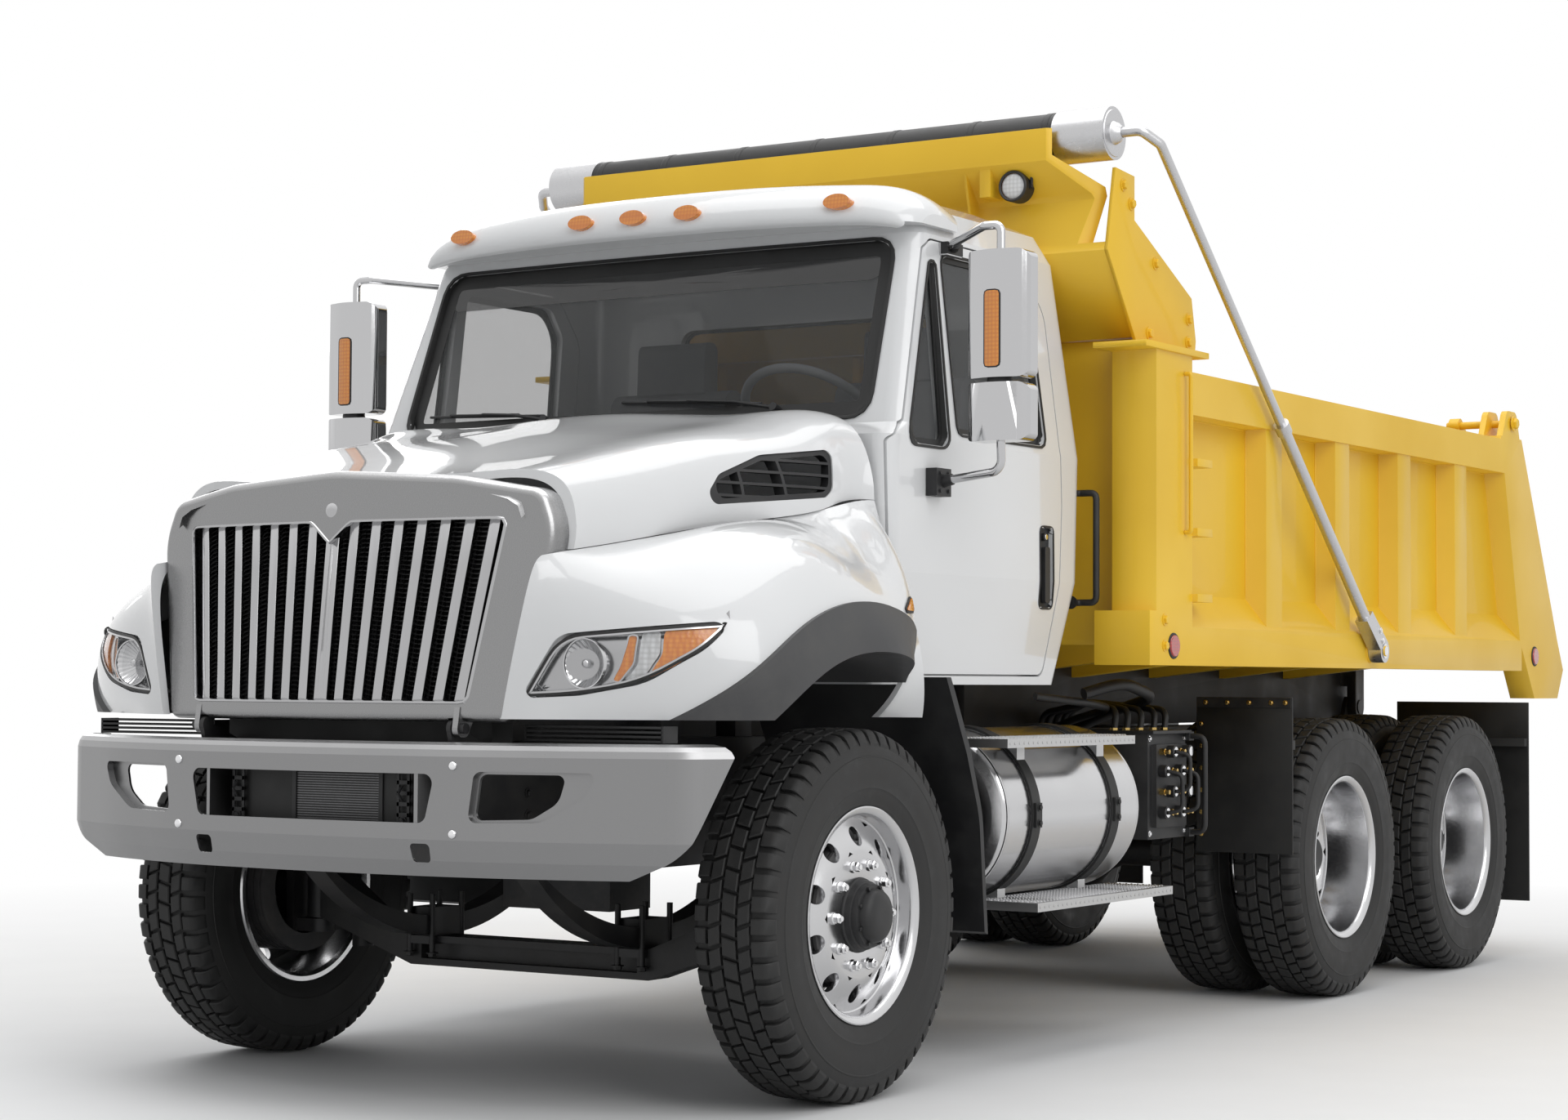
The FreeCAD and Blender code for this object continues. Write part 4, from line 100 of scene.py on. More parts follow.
def rest_place(made, scale=(1, 1, 1)):
    """The point on the piece at rest, scaled, so that textures stay put when a body moves."""
    source = made.node_tree.nodes.new("ShaderNodeTexCoord")
    mapping = add(made, "ShaderNodeMapping", Scale=scale)
    join(made, source, "Object", mapping, "Vector")
    return mapping


def noise(made, size, scale=(1, 1, 1), detail=4, roughness=0.5):
    """Noise whose grain is about size metres, as a node with a Fac output."""
    place = rest_place(made, scale)
    node = add(made, "ShaderNodeTexNoise", Scale=1 / size, Detail=detail, Roughness=roughness)
    join(made, place, "Vector", node, "Vector")
    return node


def remap(made, source, socket, low, high, from_low=0.3, from_high=0.7):
    """A texture's value spread from low to high."""
    node = add(made, "ShaderNodeMapRange")
    node.inputs["From Min"].default_value = from_low
    node.inputs["From Max"].default_value = from_high
    node.inputs["To Min"].default_value = low
    node.inputs["To Max"].default_value = high
    join(made, source, socket, node, "Value")
    return node


def blend_colours(made, factor, socket, first, second):
    """A colour that goes from first to second with a texture's value."""
    node = made.node_tree.nodes.new("ShaderNodeMix")
    node.data_type = "RGBA"
    node.inputs["A"].default_value = (*first, 1)
    node.inputs["B"].default_value = (*second, 1)
    join(made, factor, socket, node, "Factor")
    return node


def bump(made, shader, sources):
    """Chains bumps on the shader's normal from (node, socket, depth in metres, strength)."""
    previous = None
    for source, socket, depth, strength in sources:
        node = add(made, "ShaderNodeBump", Distance=depth, Strength=strength)
        join(made, source, socket, node, "Height")
        if previous:
            join(made, previous, "Normal", node, "Normal")
        previous = node
    join(made, previous, "Normal", shader, "Normal")


def paint(name, colour, dark, coat=1.0, roughness=0.32, peel=0.25):
    """Gloss paint: a tone that shifts a little over large areas, orange peel and a clear coat."""
    made, shader = material(name)
    broad = noise(made, 0.6, detail=3)
    shade = remap(made, broad, "Fac", 0, 1)
    colours = blend_colours(made, shade, "Result", colour, dark)
    join(made, colours, "Result", shader, "Base Color")
    grain = noise(made, 0.004, detail=2)
    ripple = noise(made, 0.03, detail=2)
    bump(made, shader, [(ripple, "Fac", 0.0006, peel), (grain, "Fac", 0.00008, peel)])
    rough = remap(made, broad, "Fac", roughness * 0.9, roughness * 1.15)
    join(made, rough, "Result", shader, "Roughness")
    shader.inputs["Coat Weight"].default_value = coat
    shader.inputs["Coat Roughness"].default_value = 0.04
    return made


def metal(name, colour, dark, roughness, stretch=(1, 1, 1), grain=0.01, depth=0.00006, spread=0.25, side=1.0):
    """Bare or plated metal whose polish and tone vary along a brushed or cast grain.

    Side is how much of its tone is left where the piece faces sideways or down, as painted shade: those faces are
    painted darker than the top, for how the light falls.
    """
    made, shader = material(name)
    shader.inputs["Metallic"].default_value = 1.0
    broad = noise(made, 0.22, detail=5)
    shade = remap(made, broad, "Fac", 0, 1)
    colours = blend_colours(made, shade, "Result", colour, dark)
    # Painted shade: faces that turn sideways or down take a darker tone than the top, for how the light falls on
    # them
    facing = made.node_tree.nodes.new("ShaderNodeTexCoord")
    split = made.node_tree.nodes.new("ShaderNodeSeparateXYZ")
    join(made, facing, "Normal", split, "Vector")
    top_light_mask = remap(made, split, "Z", 0, 1, 0.1, 0.75)
    low = [tone * side for tone in dark]
    painted_facing_shade = blend_colours(made, top_light_mask, "Result", low, colour)
    join(made, colours, "Result", painted_facing_shade, "B")
    join(made, painted_facing_shade, "Result", shader, "Base Color")
    fine = noise(made, grain, scale=stretch, detail=6, roughness=0.7)
    rough = remap(made, fine, "Fac", roughness * (1 - spread), roughness * (1 + spread))
    join(made, rough, "Result", shader, "Roughness")
    bump(made, shader, [(fine, "Fac", depth, 0.6)])
    return made


def dull(name, colour, worn, roughness=0.6, grain=0.003, depth=0.0003, spot=0.15, specular=0.4):
    """Textured plastic, rubber or chassis paint with dusty, lighter worn patches."""
    made, shader = material(name)
    broad = noise(made, spot, detail=8, roughness=0.65)
    shade = remap(made, broad, "Fac", 0, 1, 0.42, 0.75)
    colours = blend_colours(made, shade, "Result", colour, worn)
    join(made, colours, "Result", shader, "Base Color")
    fine = noise(made, grain, detail=4, roughness=0.6)
    rough = remap(made, broad, "Fac", roughness * 0.85, min(1.0, roughness * 1.25))
    join(made, rough, "Result", shader, "Roughness")
    bump(made, shader, [(fine, "Fac", depth, 0.5)])
    shader.inputs["Specular IOR Level"].default_value = specular
    return made


def glass(name, colour, alpha, roughness=0.03):
    """Tinted sheet glass: it is seen through by its alpha, with faint dust in its polish."""
    made, shader = material(name)
    haze = noise(made, 0.25, detail=6)
    rough = remap(made, haze, "Fac", roughness, roughness * 2.5)
    join(made, rough, "Result", shader, "Roughness")
    shader.inputs["Base Color"].default_value = (*colour, 1)
    shader.inputs["Alpha"].default_value = alpha
    shader.inputs["Specular IOR Level"].default_value = 0.8
    return made


def lens(name, colour, deep, cell=0.012, alpha=0.9):
    """Moulded lamp lens with a grid of small pillows under a clear face."""
    made, shader = material(name)
    place = rest_place(made, (1 / cell,) * 3)
    pillows = made.node_tree.nodes.new("ShaderNodeTexVoronoi")
    pillows.inputs["Scale"].default_value = 1.0
    pillows.inputs["Randomness"].default_value = 0.05
    join(made, place, "Vector", pillows, "Vector")
    shade = remap(made, pillows, "Distance", 0, 1, 0.0, 0.7)
    colours = blend_colours(made, shade, "Result", colour, deep)
    join(made, colours, "Result", shader, "Base Color")
    bump(made, shader, [(pillows, "Distance", 0.002, 0.5)])
    shader.inputs["Roughness"].default_value = 0.12
    shader.inputs["Coat Weight"].default_value = 1.0
    shader.inputs["Alpha"].default_value = alpha
    return made


# The metals are painted darker on their sideways and downward faces than on top, as painted shade; each side value
# sets how much of the tone those faces keep
MATERIALS = {
    "cab_white": paint("cab_white", (0.70, 0.705, 0.71), (0.67, 0.675, 0.68)),
    "body_yellow": paint("body_yellow", (0.84, 0.53, 0.026), (0.77, 0.47, 0.020), coat=0.12, roughness=0.5,
                         peel=0.4),
    "frame_black": dull("frame_black", (0.012, 0.012, 0.013), (0.035, 0.033, 0.031), 0.5, 0.006, 0.0003),
    "bumper_silver": metal("bumper_silver", (0.56, 0.56, 0.565), (0.50, 0.50, 0.505), 0.34, (1, 8, 8),
                           side=0.5),
    "grille_silver": metal("grille_silver", (0.60, 0.60, 0.605), (0.54, 0.54, 0.545), 0.3, (6, 6, 1),
                           side=0.5),
    "grille_bright": metal("grille_bright", (0.75, 0.75, 0.76), (0.66, 0.66, 0.67), 0.16, (8, 8, 1),
                           side=0.62),
    "engine_iron": dull("engine_iron", (0.05, 0.05, 0.052), (0.1, 0.095, 0.09), 0.6, 0.008, 0.0006),
    "radiator_black": dull("radiator_black", (0.008, 0.008, 0.008), (0.02, 0.02, 0.02), 0.55),
    "polished_aluminium": metal("polished_aluminium", (0.74, 0.74, 0.75), (0.64, 0.64, 0.65), 0.2, side=0.85),
    "step_aluminium": metal("step_aluminium", (0.6, 0.6, 0.61), (0.5, 0.5, 0.5), 0.38, grain=0.004),
    "black_plastic": dull("black_plastic", (0.014, 0.014, 0.015), (0.03, 0.03, 0.03), 0.48, 0.0015, 0.00015),
    "flap_rubber": dull("flap_rubber", (0.008, 0.008, 0.008), (0.02, 0.02, 0.019), 0.62, 0.01, 0.0005),
    "window_glass": glass("window_glass", (0.04, 0.044, 0.044), 0.22),
    "amber_lens": lens("amber_lens", (0.80, 0.30, 0.012), (0.62, 0.16, 0.0), alpha=1.0),
    "headlight_lens": glass("headlight_lens", (0.35, 0.36, 0.37), 0.10, 0.05),
    "interior_grey": dull("interior_grey", (0.20, 0.203, 0.207), (0.25, 0.25, 0.252), 0.6, 0.002, 0.0002),
    "seat_cloth": dull("seat_cloth", (0.20, 0.203, 0.21), (0.26, 0.262, 0.268), 0.85, 0.0015, 0.0005),
    "tyre": dull("tyre", (0.017, 0.017, 0.017), (0.032, 0.031, 0.03), 0.62, 0.004, 0.0003, spot=0.08),
    "mirror_chrome": metal("mirror_chrome", (0.78, 0.78, 0.79), (0.7, 0.7, 0.71), 0.08, side=0.72),
    "arm_grey": metal("arm_grey", (0.62, 0.62, 0.63), (0.54, 0.54, 0.55), 0.32),
    "tarp_vinyl": dull("tarp_vinyl", (0.012, 0.012, 0.012), (0.03, 0.03, 0.03), 0.45, 0.004, 0.0008),
    "hoist_grey": dull("hoist_grey", (0.03, 0.03, 0.032), (0.06, 0.06, 0.06), 0.4),
    "rod_chrome": metal("rod_chrome", (0.8, 0.8, 0.81), (0.74, 0.74, 0.75), 0.09),
}

# Finishes that only the fine pieces have, each with the record's slot that it goes with
EXTRA_MATERIALS = {
    "seal_black": (dull("seal_black", (0.010, 0.010, 0.010), (0.02, 0.02, 0.02), 0.5, 0.003, 0.0001),
                   "black_plastic"),
    "red_lens": (lens("red_lens", (0.55, 0.012, 0.006), (0.3, 0.004, 0.002), 0.010, alpha=1.0), "amber_lens"),
    "clear_lens": (lens("clear_lens", (0.78, 0.79, 0.8), (0.5, 0.5, 0.5), 0.014, alpha=1.0), "headlight_lens"),
    "brass": (metal("brass", (0.78, 0.57, 0.22), (0.6, 0.42, 0.15), 0.28), "rod_chrome"),
    "shade_band": (glass("shade_band", (0.01, 0.01, 0.01), 0.86), "window_glass"),
    "flare_grey": (dull("flare_grey", (0.050, 0.050, 0.052), (0.075, 0.074, 0.073), 0.5, 0.0015, 0.00015),
                   "black_plastic"),
    "fin_dark": (dull("fin_dark", (0.018, 0.018, 0.018), (0.03, 0.03, 0.03), 0.35), "radiator_black"),
    "fin_grey": (metal("fin_grey", (0.2, 0.2, 0.205), (0.14, 0.14, 0.145), 0.45), "radiator_black"),
}

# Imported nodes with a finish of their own, and those whose folded or cast edges are eased by so many metres
NODE_FINISHES = {"fender_flares": "flare_grey"}
EASED_EDGES = {"bed_sides": 0.005, "cab_shield": 0.004, "tailgate": 0.005, "bed_front_wall": 0.004,
               "bed_subframe": 0.004, "bed_floor": 0.004, "grille_bars": 0.004, "seats": 0.02, "frame_rails": 0.004,
               "frame_crossmembers": 0.004, "mudflaps": 0.002, "engine": 0.02, "air_equipment": 0.004}

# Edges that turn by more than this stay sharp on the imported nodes, and are the ones eased
NODE_SHARP = math.radians(32)

# Edges of the fine pieces that turn by more than this are bevelled
PIECE_SHARP = math.radians(38)


def dress_cad_nodes():
    """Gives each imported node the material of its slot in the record, and eases its edges."""
    for entry in frame["record"]["subparts"]:
        node, slot = NODES[entry["node"]], entry["material_slot"]
        node.data.materials.clear()
        finish = NODE_FINISHES.get(entry["node"])
        node.data.materials.append(EXTRA_MATERIALS[finish][0] if finish else MATERIALS[slot])
        node.data.polygons.foreach_set("use_smooth", [True] * len(node.data.polygons))
        node.data.set_sharp_from_angle(angle=NODE_SHARP)
        if entry["node"] in EASED_EDGES:
            weld = node.modifiers.new("weld", "WELD")
            weld.merge_threshold = 0.00002
            ease = node.modifiers.new("ease", "BEVEL")
            ease.width = EASED_EDGES[entry["node"]]
            ease.segments = 2
            ease.limit_method = "ANGLE"
            ease.angle_limit = NODE_SHARP


# Mesh helpers: a part is (vertices, faces), in the front axle's frame

def together(parts):
    """Several parts as one."""
    verts, faces = [], []
    for part_verts, part_faces in parts:
        start = len(verts)
        verts += part_verts
        faces += [tuple(i + start for i in face) for face in part_faces]
    return verts, faces


def flipped(part):
    """The same part on the truck's other side."""
    verts, faces = part
    return [(-x, y, z) for x, y, z in verts], [tuple(reversed(face)) for face in faces]


def both(parts):
    """Left-hand parts and their mirror images, as one part."""
    left = together(parts)
    return together([left, flipped(left)])


def shifted(part, offset):
    """The same part moved by an offset."""
    verts, faces = part
    ox, oy, oz = offset
    return [(x + ox, y + oy, z + oz) for x, y, z in verts], faces


def inside_out(part):
    """The same part with its faces turned to its other side."""
    verts, faces = part
    return verts, [face[::-1] for face in faces]


def sheet_faces(rows, count, closed=True):
    """Faces between rows of count points each; closed joins each row's end to its start."""
    faces = []
    for row in range(rows - 1):
        near, far = row * count, (row + 1) * count
        for i in range(count if closed else count - 1):
            j = (i + 1) % count
            faces.append((near + i, near + j, far + j, far + i))
    return faces


def rectangle(a0, a1, b0, b1):
    """A rectangle's corners as a flat outline."""
    return [(a0, b0), (a1, b0), (a1, b1), (a0, b1)]


def block(x0, x1, y0, y1, z0, z1):
    """A box between two places on each axis."""
    verts = [(x, y, z) for z in (z0, z1) for x, y in ((x0, y0), (x1, y0), (x1, y1), (x0, y1))]
    faces = [(3, 2, 1, 0), (4, 5, 6, 7), (0, 1, 5, 4), (1, 2, 6, 5), (2, 3, 7, 6), (3, 0, 4, 7)]
    return verts, faces


def along(axis, a, b, c):
    """A point from its place along an axis and its two coordinates across it."""
    return {"x": (a, b, c), "y": (b, a, c), "z": (b, c, a)}[axis]


def prism(points, axis, start, end):
    """A flat outline across an axis, drawn out from start to end."""
    area = sum(p[0] * q[1] - q[0] * p[1] for p, q in zip(points, points[1:] + points[:1]))
    if (area > 0) == (axis == "y"):
        points = points[::-1]
    count = len(points)
    verts = [along(axis, a, b, c) for a in (start, end) for b, c in points]
    faces = [tuple(reversed(range(count))), tuple(range(count, 2 * count))]
    faces += [(i, (i + 1) % count, count + (i + 1) % count, count + i) for i in range(count)]
    return verts, faces


def lathe(profile, axis, centre, segments=48, closed=False):
    """A ring surface from (place along the axis, radius) points."""
    verts, faces = [], []
    cx, cy, cz = centre
    count = len(profile)
    for i in range(segments):
        turn = 2 * math.pi * i / segments
        for a, r in profile:
            b, c = r * math.cos(turn), r * math.sin(turn)
            x, y, z = along(axis, a, b, c)
            verts.append((x + cx, y + cy, z + cz))
    rows = count if closed else count - 1
    for i in range(segments):
        j = (i + 1) % segments
        for k in range(rows):
            m = (k + 1) % count
            face = (i * count + k, i * count + m, j * count + m, j * count + k)
            faces.append(face if axis == "y" else face[::-1])
    return verts, faces


def rod(start, end, radius, sides=12, radius_end=None):
    """A round bar between two points."""
    return tube([start, end], radius, sides, radius_end)


def tube(path, radius, sides=12, radius_end=None):
    """A round bar along a path, with closed ends."""
    points = [Vector(p) for p in path]
    verts = []
    side = None
    last = len(points) - 1
    for i, point in enumerate(points):
        ahead = points[min(i + 1, last)] - points[max(i - 1, 0)]
        ahead.normalize()
        if side is None:
            side = ahead.orthogonal().normalized()
        else:
            side = (side - ahead * side.dot(ahead)).normalized()
        up = ahead.cross(side)
        r = radius if radius_end is None else radius + (radius_end - radius) * i / last
        for k in range(sides):
            turn = 2 * math.pi * k / sides
            verts.append(tuple(point + side * (r * math.cos(turn)) + up * (r * math.sin(turn))))
    faces = sheet_faces(len(points), sides)
    faces.append(tuple(reversed(range(sides))))
    faces.append(tuple(last * sides + k for k in range(sides)))
    return verts, faces


def corner(before, at, after, radius, steps):
    """The points of one rounded corner, from the points before, at and after it."""
    back, forth = before - at, after - at
    reach = min(radius, back.length * 0.49, forth.length * 0.49)
    first, second = at + back.normalized() * reach, at + forth.normalized() * reach
    turns = [i / steps for i in range(steps + 1)]
    return [first * (1 - t) ** 2 + at * (2 * t * (1 - t)) + second * t ** 2 for t in turns]


def rounded_path(points, radius):
    """A path with its inner corners rounded."""
    points = [Vector(p) for p in points]
    path = [points[0]]
    for before, at, after in zip(points, points[1:], points[2:]):
        path += corner(before, at, after, radius, 6)
    return path + [points[-1]]


def rounded(points, radii):
    """A closed flat outline with rounded corners, all of one radius or each of its own, as (a, b) points."""
    shape = []
    corners = [Vector(p) for p in points]
    count = len(corners)
    for i, at in enumerate(corners):
        radius = radii[i] if isinstance(radii, (list, tuple)) else radii
        shape += [(p.x, p.y) for p in corner(corners[i - 1], at, corners[(i + 1) % count], radius, 5)]
    return shape


def hex_bolt(place, direction, across, height, washer=True):
    """A six-sided head on a washer, facing along a direction."""
    at, out = Vector(place), Vector(direction).normalized()
    parts = [tube([at, at + out * height * 0.85, at + out * height], across / 2, 6)]
    verts, faces = parts[0]
    top = at + out * height
    verts[12:18] = [tuple(top + (Vector(v) - top) * 0.82) for v in verts[12:18]]
    if washer:
        parts.append(tube([at, at + out * height * 0.22], across * 0.72, 14))
    return together(parts)


def piece(name, body, slot, parts, bevel=0.0, angle=35, stands_for=()):
    """One object out of parts, which rides on a body and takes the finish of a slot."""
    verts, faces = together(parts)
    mesh = bpy.data.meshes.new(name)
    mesh.from_pydata([(x, y + AXLE_Y, z) for x, y, z in verts], [], faces)
    mesh.materials.append(MATERIALS[slot] if slot in MATERIALS else EXTRA_MATERIALS[slot][0])
    mesh.polygons.foreach_set("use_smooth", [True] * len(mesh.polygons))
    mesh.set_sharp_from_angle(angle=math.radians(angle))
    made = bpy.data.objects.new(name, mesh)
    bpy.context.scene.collection.objects.link(made)
    if bevel:
        edge = made.modifiers.new("edge", "BEVEL")
        edge.width = bevel
        edge.segments = 2
        edge.limit_method = "ANGLE"
        edge.angle_limit = PIECE_SHARP
        edge.harden_normals = True
        edge.use_clamp_overlap = True
    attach(made, body)
    slot if slot in MATERIALS else EXTRA_MATERIALS[slot][1]
    if stands_for:
        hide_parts(*stands_for)


def on_both_sides(tag, body, slot, parts, bevel=0.0, angle=35):
    """A left-hand piece and its mirror image on the right; a %s in the body's name stands for the side."""
    left = together(parts)
    for name, side in SIDES:
        part = left if side > 0 else flipped(left)
        piece("%s_%s" % (tag, name), body.replace("%s", name), slot, [part], bevel, angle)


# Tyres and wheels, built about the X axis with the outer side towards +X

TREAD_PITCHES = 54
TREAD_TOP = ((0, 0.5196), (0.05, 0.5188), (0.098, 0.5160), (0.112, 0.5095))
TREAD_BASE = ((0, 0.5055), (0.05, 0.5045), (0.098, 0.5000), (0.112, 0.4935))
SIDEWALL = ((0.106, 0.300), (0.112, 0.304), (0.1165, 0.311), (0.1175, 0.318), (0.1225, 0.325), (0.1265, 0.345),
            (0.1290, 0.352), (0.1300, 0.3535), (0.1300, 0.3565), (0.1298, 0.358), (0.1335, 0.385), (0.1350, 0.412),
            (0.1332, 0.438), (0.1340, 0.4395), (0.1338, 0.4425), (0.1318, 0.444), (0.1290, 0.461), (0.1215, 0.480),
            (0.112, 0.4935), (0.098, 0.500), (0.05, 0.5045), (0, 0.5055))
TREAD_ROWS = ((-0.0215, 0.0215, 0.0, 0.10), (0.0285, 0.0655, 0.5, -0.12), (-0.0655, -0.0285, 0.5, -0.12))


def tread_radius(table, x):
    """The tread's radius at a place across it, from a table of (place, radius)."""
    x = abs(x)
    for (x0, r0), (x1, r1) in zip(table, table[1:]):
        if x <= x1:
            return r0 + (r1 - r0) * (x - x0) / (x1 - x0)
    return table[-1][1]


def polar(x, radius, turn):
    """A point about the wheel's axis."""
    return (x, radius * math.cos(turn), radius * math.sin(turn))


def tread_block(x0, x1, turn, skew, length):
    """One chamfered tread block: its root, its shoulder line and its smaller top."""
    verts = []
    for table, drop, chamfer in ((TREAD_BASE, 0.001, 0), (TREAD_TOP, 0.003, 0), (TREAD_TOP, 0, 0.003)):
        for x, end in ((x0, -1), (x1, -1), (x1, 1), (x0, 1)):
            lean = skew * length * (1 if x == x1 else -1)
            here = turn + end * (length / 2 - chamfer / TYRE_RADIUS) + lean
            at = x + (chamfer if x == x0 else -chamfer)
            verts.append(polar(at, tread_radius(table, at) - drop, here))
    faces = [(8, 9, 10, 11)]
    for base in (0, 4):
        faces += [(base + i, base + (i + 1) % 4, base + 4 + (i + 1) % 4, base + 4 + i) for i in range(4)]
    return verts, faces


LUG_TOP = ((0.0725, 0.5178), (0.098, 0.5160), (0.1100, 0.5105), (0.1180, 0.5000), (0.1262, 0.4800))
LUG_ROOT = ((0.0725, 0.5010), (0.098, 0.4990), (0.1085, 0.4940), (0.1165, 0.4860), (0.1255, 0.4700))


def shoulder_lug(turn, length, side):
    """A lug that runs from the tread over the tyre's shoulder."""
    verts = []
    for (x, r), (root_x, root_r) in zip(LUG_TOP, LUG_ROOT):
        for at_x, radius, half in ((root_x, root_r, length / 2), (x, r - 0.003, length / 2),
                                   (x, r, length / 2 - 0.006)):
            verts.append(polar(at_x * side, radius, turn - half))
            verts.append(polar(at_x * side, radius, turn + half))
    faces = []
    for i in range(len(LUG_TOP) - 1):
        a, b = i * 6, (i + 1) * 6
        for low, high in ((0, 2), (2, 4)):
            faces.append((a + low, b + low, b + high, a + high))
            faces.append((a + low + 1, a + high + 1, b + high + 1, b + low + 1))
        faces.append((a + 4, b + 4, b + 5, a + 5))
    for a, order in ((0, 1), ((len(LUG_TOP) - 1) * 6, -1)):
        faces.append((a, a + 2, a + 3, a + 1)[::order])
        faces.append((a + 2, a + 4, a + 5, a + 3)[::order])
    if side > 0:
        faces = [face[::-1] for face in faces]
    return verts, faces


def tyre():
    """One tyre about the X axis: ribbed sidewalls and staggered rows of chamfered blocks."""
    profile = [(x, r) for x, r in SIDEWALL] + [(-x, r) for x, r in SIDEWALL[-2::-1]]
    parts = [lathe(profile, "x", (0, 0, 0), TREAD_PITCHES * 2)]
    step = 2 * math.pi / TREAD_PITCHES
    for i in range(TREAD_PITCHES):
        for x0, x1, offset, skew in TREAD_ROWS:
            parts.append(tread_block(x0, x1, (i + offset) * step, skew, step * 0.84))
        for side in (1, -1):
            parts.append(shoulder_lug((i + 0.25 * (1 - side)) * step, step * 0.72, side))
    return together(parts)


# A wheel disc's stud flat, dish, hand holes and nuts, as radii
STUD_FLAT = 0.172
DISH_EDGE = 0.272
DISC_BORE = 0.176
DISC_EDGE = 0.264
DISC_THICKNESS = 0.020
HOLE_CIRCLE = 0.218
HOLE_RADIUS = 0.0268
HAND_HOLES = 10
NUT_CIRCLE = 0.143
WHEEL_NUTS = 10

# Each disc's dish edge and stud face, as X from the middle of its outer tyre
FRONT_DISC = (0.063, 0.101)
REAR_DISC = (-0.0695, -0.1455)


def pierced_disc(height):
    """A dished disc about the X axis with round hand holes; height gives X at each radius."""
    verts, faces = [], []
    ring_points, rings = 24, 4
    half = math.pi / HAND_HOLES
    wall_radius = HOLE_RADIUS - 0.0012
    turns = [2 * math.pi * (k + 0.5) / ring_points for k in range(ring_points)]
    for sector in range(HAND_HOLES):
        middle = 2 * math.pi * (sector + 0.5) / HAND_HOLES
        start = len(verts)
        for layer in range(rings + 1):
            t = layer / rings
            for around in turns:
                dr, dt = math.cos(around), math.sin(around)
                hole_r = HOLE_CIRCLE + HOLE_RADIUS * dr
                hole_t = HOLE_RADIUS * dt / HOLE_CIRCLE
                reach_r = (DISC_EDGE - HOLE_CIRCLE) if dr > 0 else (HOLE_CIRCLE - DISC_BORE)
                scale = 1 / max(abs(dr), abs(dt))
                edge_r = HOLE_CIRCLE + reach_r * dr * scale
                edge_t = half * dt * scale
                radius = hole_r + (edge_r - hole_r) * t
                verts.append(polar(height(radius), radius, middle + hole_t + (edge_t - hole_t) * t))
        for layer in range(rings):
            for k in range(ring_points):
                m = (k + 1) % ring_points
                a, b = start + layer * ring_points, start + (layer + 1) * ring_points
                faces.append((a + k, b + k, b + m, a + m))
        lip = len(verts)
        for drop in (0.0025, DISC_THICKNESS):
            for around in turns:
                radius = HOLE_CIRCLE + wall_radius * math.cos(around)
                turn = middle + wall_radius * math.sin(around) / HOLE_CIRCLE
                verts.append(polar(height(radius) - drop, radius, turn))
        for low, high in ((start, lip), (lip, lip + ring_points)):
            for k in range(ring_points):
                m = (k + 1) % ring_points
                faces.append((high + k, low + k, low + m, high + m))
    return verts, faces


def disc_height(edge_x, face_x):
    """X of a wheel disc's outer face at each radius: flat round the studs, then a smooth dish."""
    def height(radius):
        t = min(1.0, max(0.0, (radius - STUD_FLAT) / (DISH_EDGE - STUD_FLAT)))
        return face_x + (edge_x - face_x) * t * t * (3 - 2 * t)
    return height


def wheel_ring(profile, segments=80):
    """A ring surface about the wheel's own axis."""
    return lathe(profile, "x", (0, 0, 0), segments)


def rim_parts(edge_x, face_x):
    """A polished rim: disc, hand holes, drop centre, rolled flanges and the disc's back."""
    height = disc_height(edge_x, face_x)
    disc = pierced_disc(height)
    inner = wheel_ring([(height(DISC_BORE), DISC_BORE), (height(0.170), 0.170), (face_x, 0.112),
                        (face_x - 0.002, 0.104)])
    outer = wheel_ring([(0.1180, 0.2990), (0.1165, 0.2945), (0.1120, 0.2850), (0.1060, 0.2790), (0.0960, 0.2762),
                        (edge_x + 0.012, 0.2735), (edge_x + 0.003, 0.2715), (edge_x, 0.268),
                        (height(DISC_EDGE), DISC_EDGE)])
    flange = wheel_ring([(0.1065, 0.2865), (0.1065, 0.2990), (0.1090, 0.3028), (0.1130, 0.3038), (0.1165, 0.3025),
                         (0.1180, 0.2990)])
    back = wheel_ring([(-0.1065, 0.2865), (-0.1065, 0.2990), (-0.1130, 0.3038), (-0.118, 0.299), (-0.1165, 0.285),
                       (-0.104, 0.2745), (-0.060, 0.2735), (edge_x - 0.022, 0.2735)])
    behind = wheel_ring([(height(0.246) - 0.021, 0.246), (edge_x - 0.022, 0.2735)])
    behind_studs = wheel_ring([(face_x - 0.021, 0.190), (face_x - 0.022, 0.10)], 48)
    return [disc, inner, outer, flange, back, inside_out(behind), inside_out(behind_studs)]


def nut_ring(face_x):
    """Flanged nuts with the stud's end standing out of each."""
    parts = []
    for i in range(WHEEL_NUTS):
        turn = 2 * math.pi * i / WHEEL_NUTS
        y, z = NUT_CIRCLE * math.cos(turn), NUT_CIRCLE * math.sin(turn)
        parts.append(lathe([(face_x + 0.007, 0.010), (face_x + 0.007, 0.0150), (face_x + 0.004, 0.0172),
                            (face_x - 0.001, 0.0175)], "x", (0, y, z), 20))
        parts.append(hex_bolt((face_x + 0.005, y, z), (1, 0, 0), 0.0285, 0.0170, washer=False))
        parts.append(rod((face_x + 0.018, y, z), (face_x + 0.0275, y, z), 0.0078, 10))
    return parts


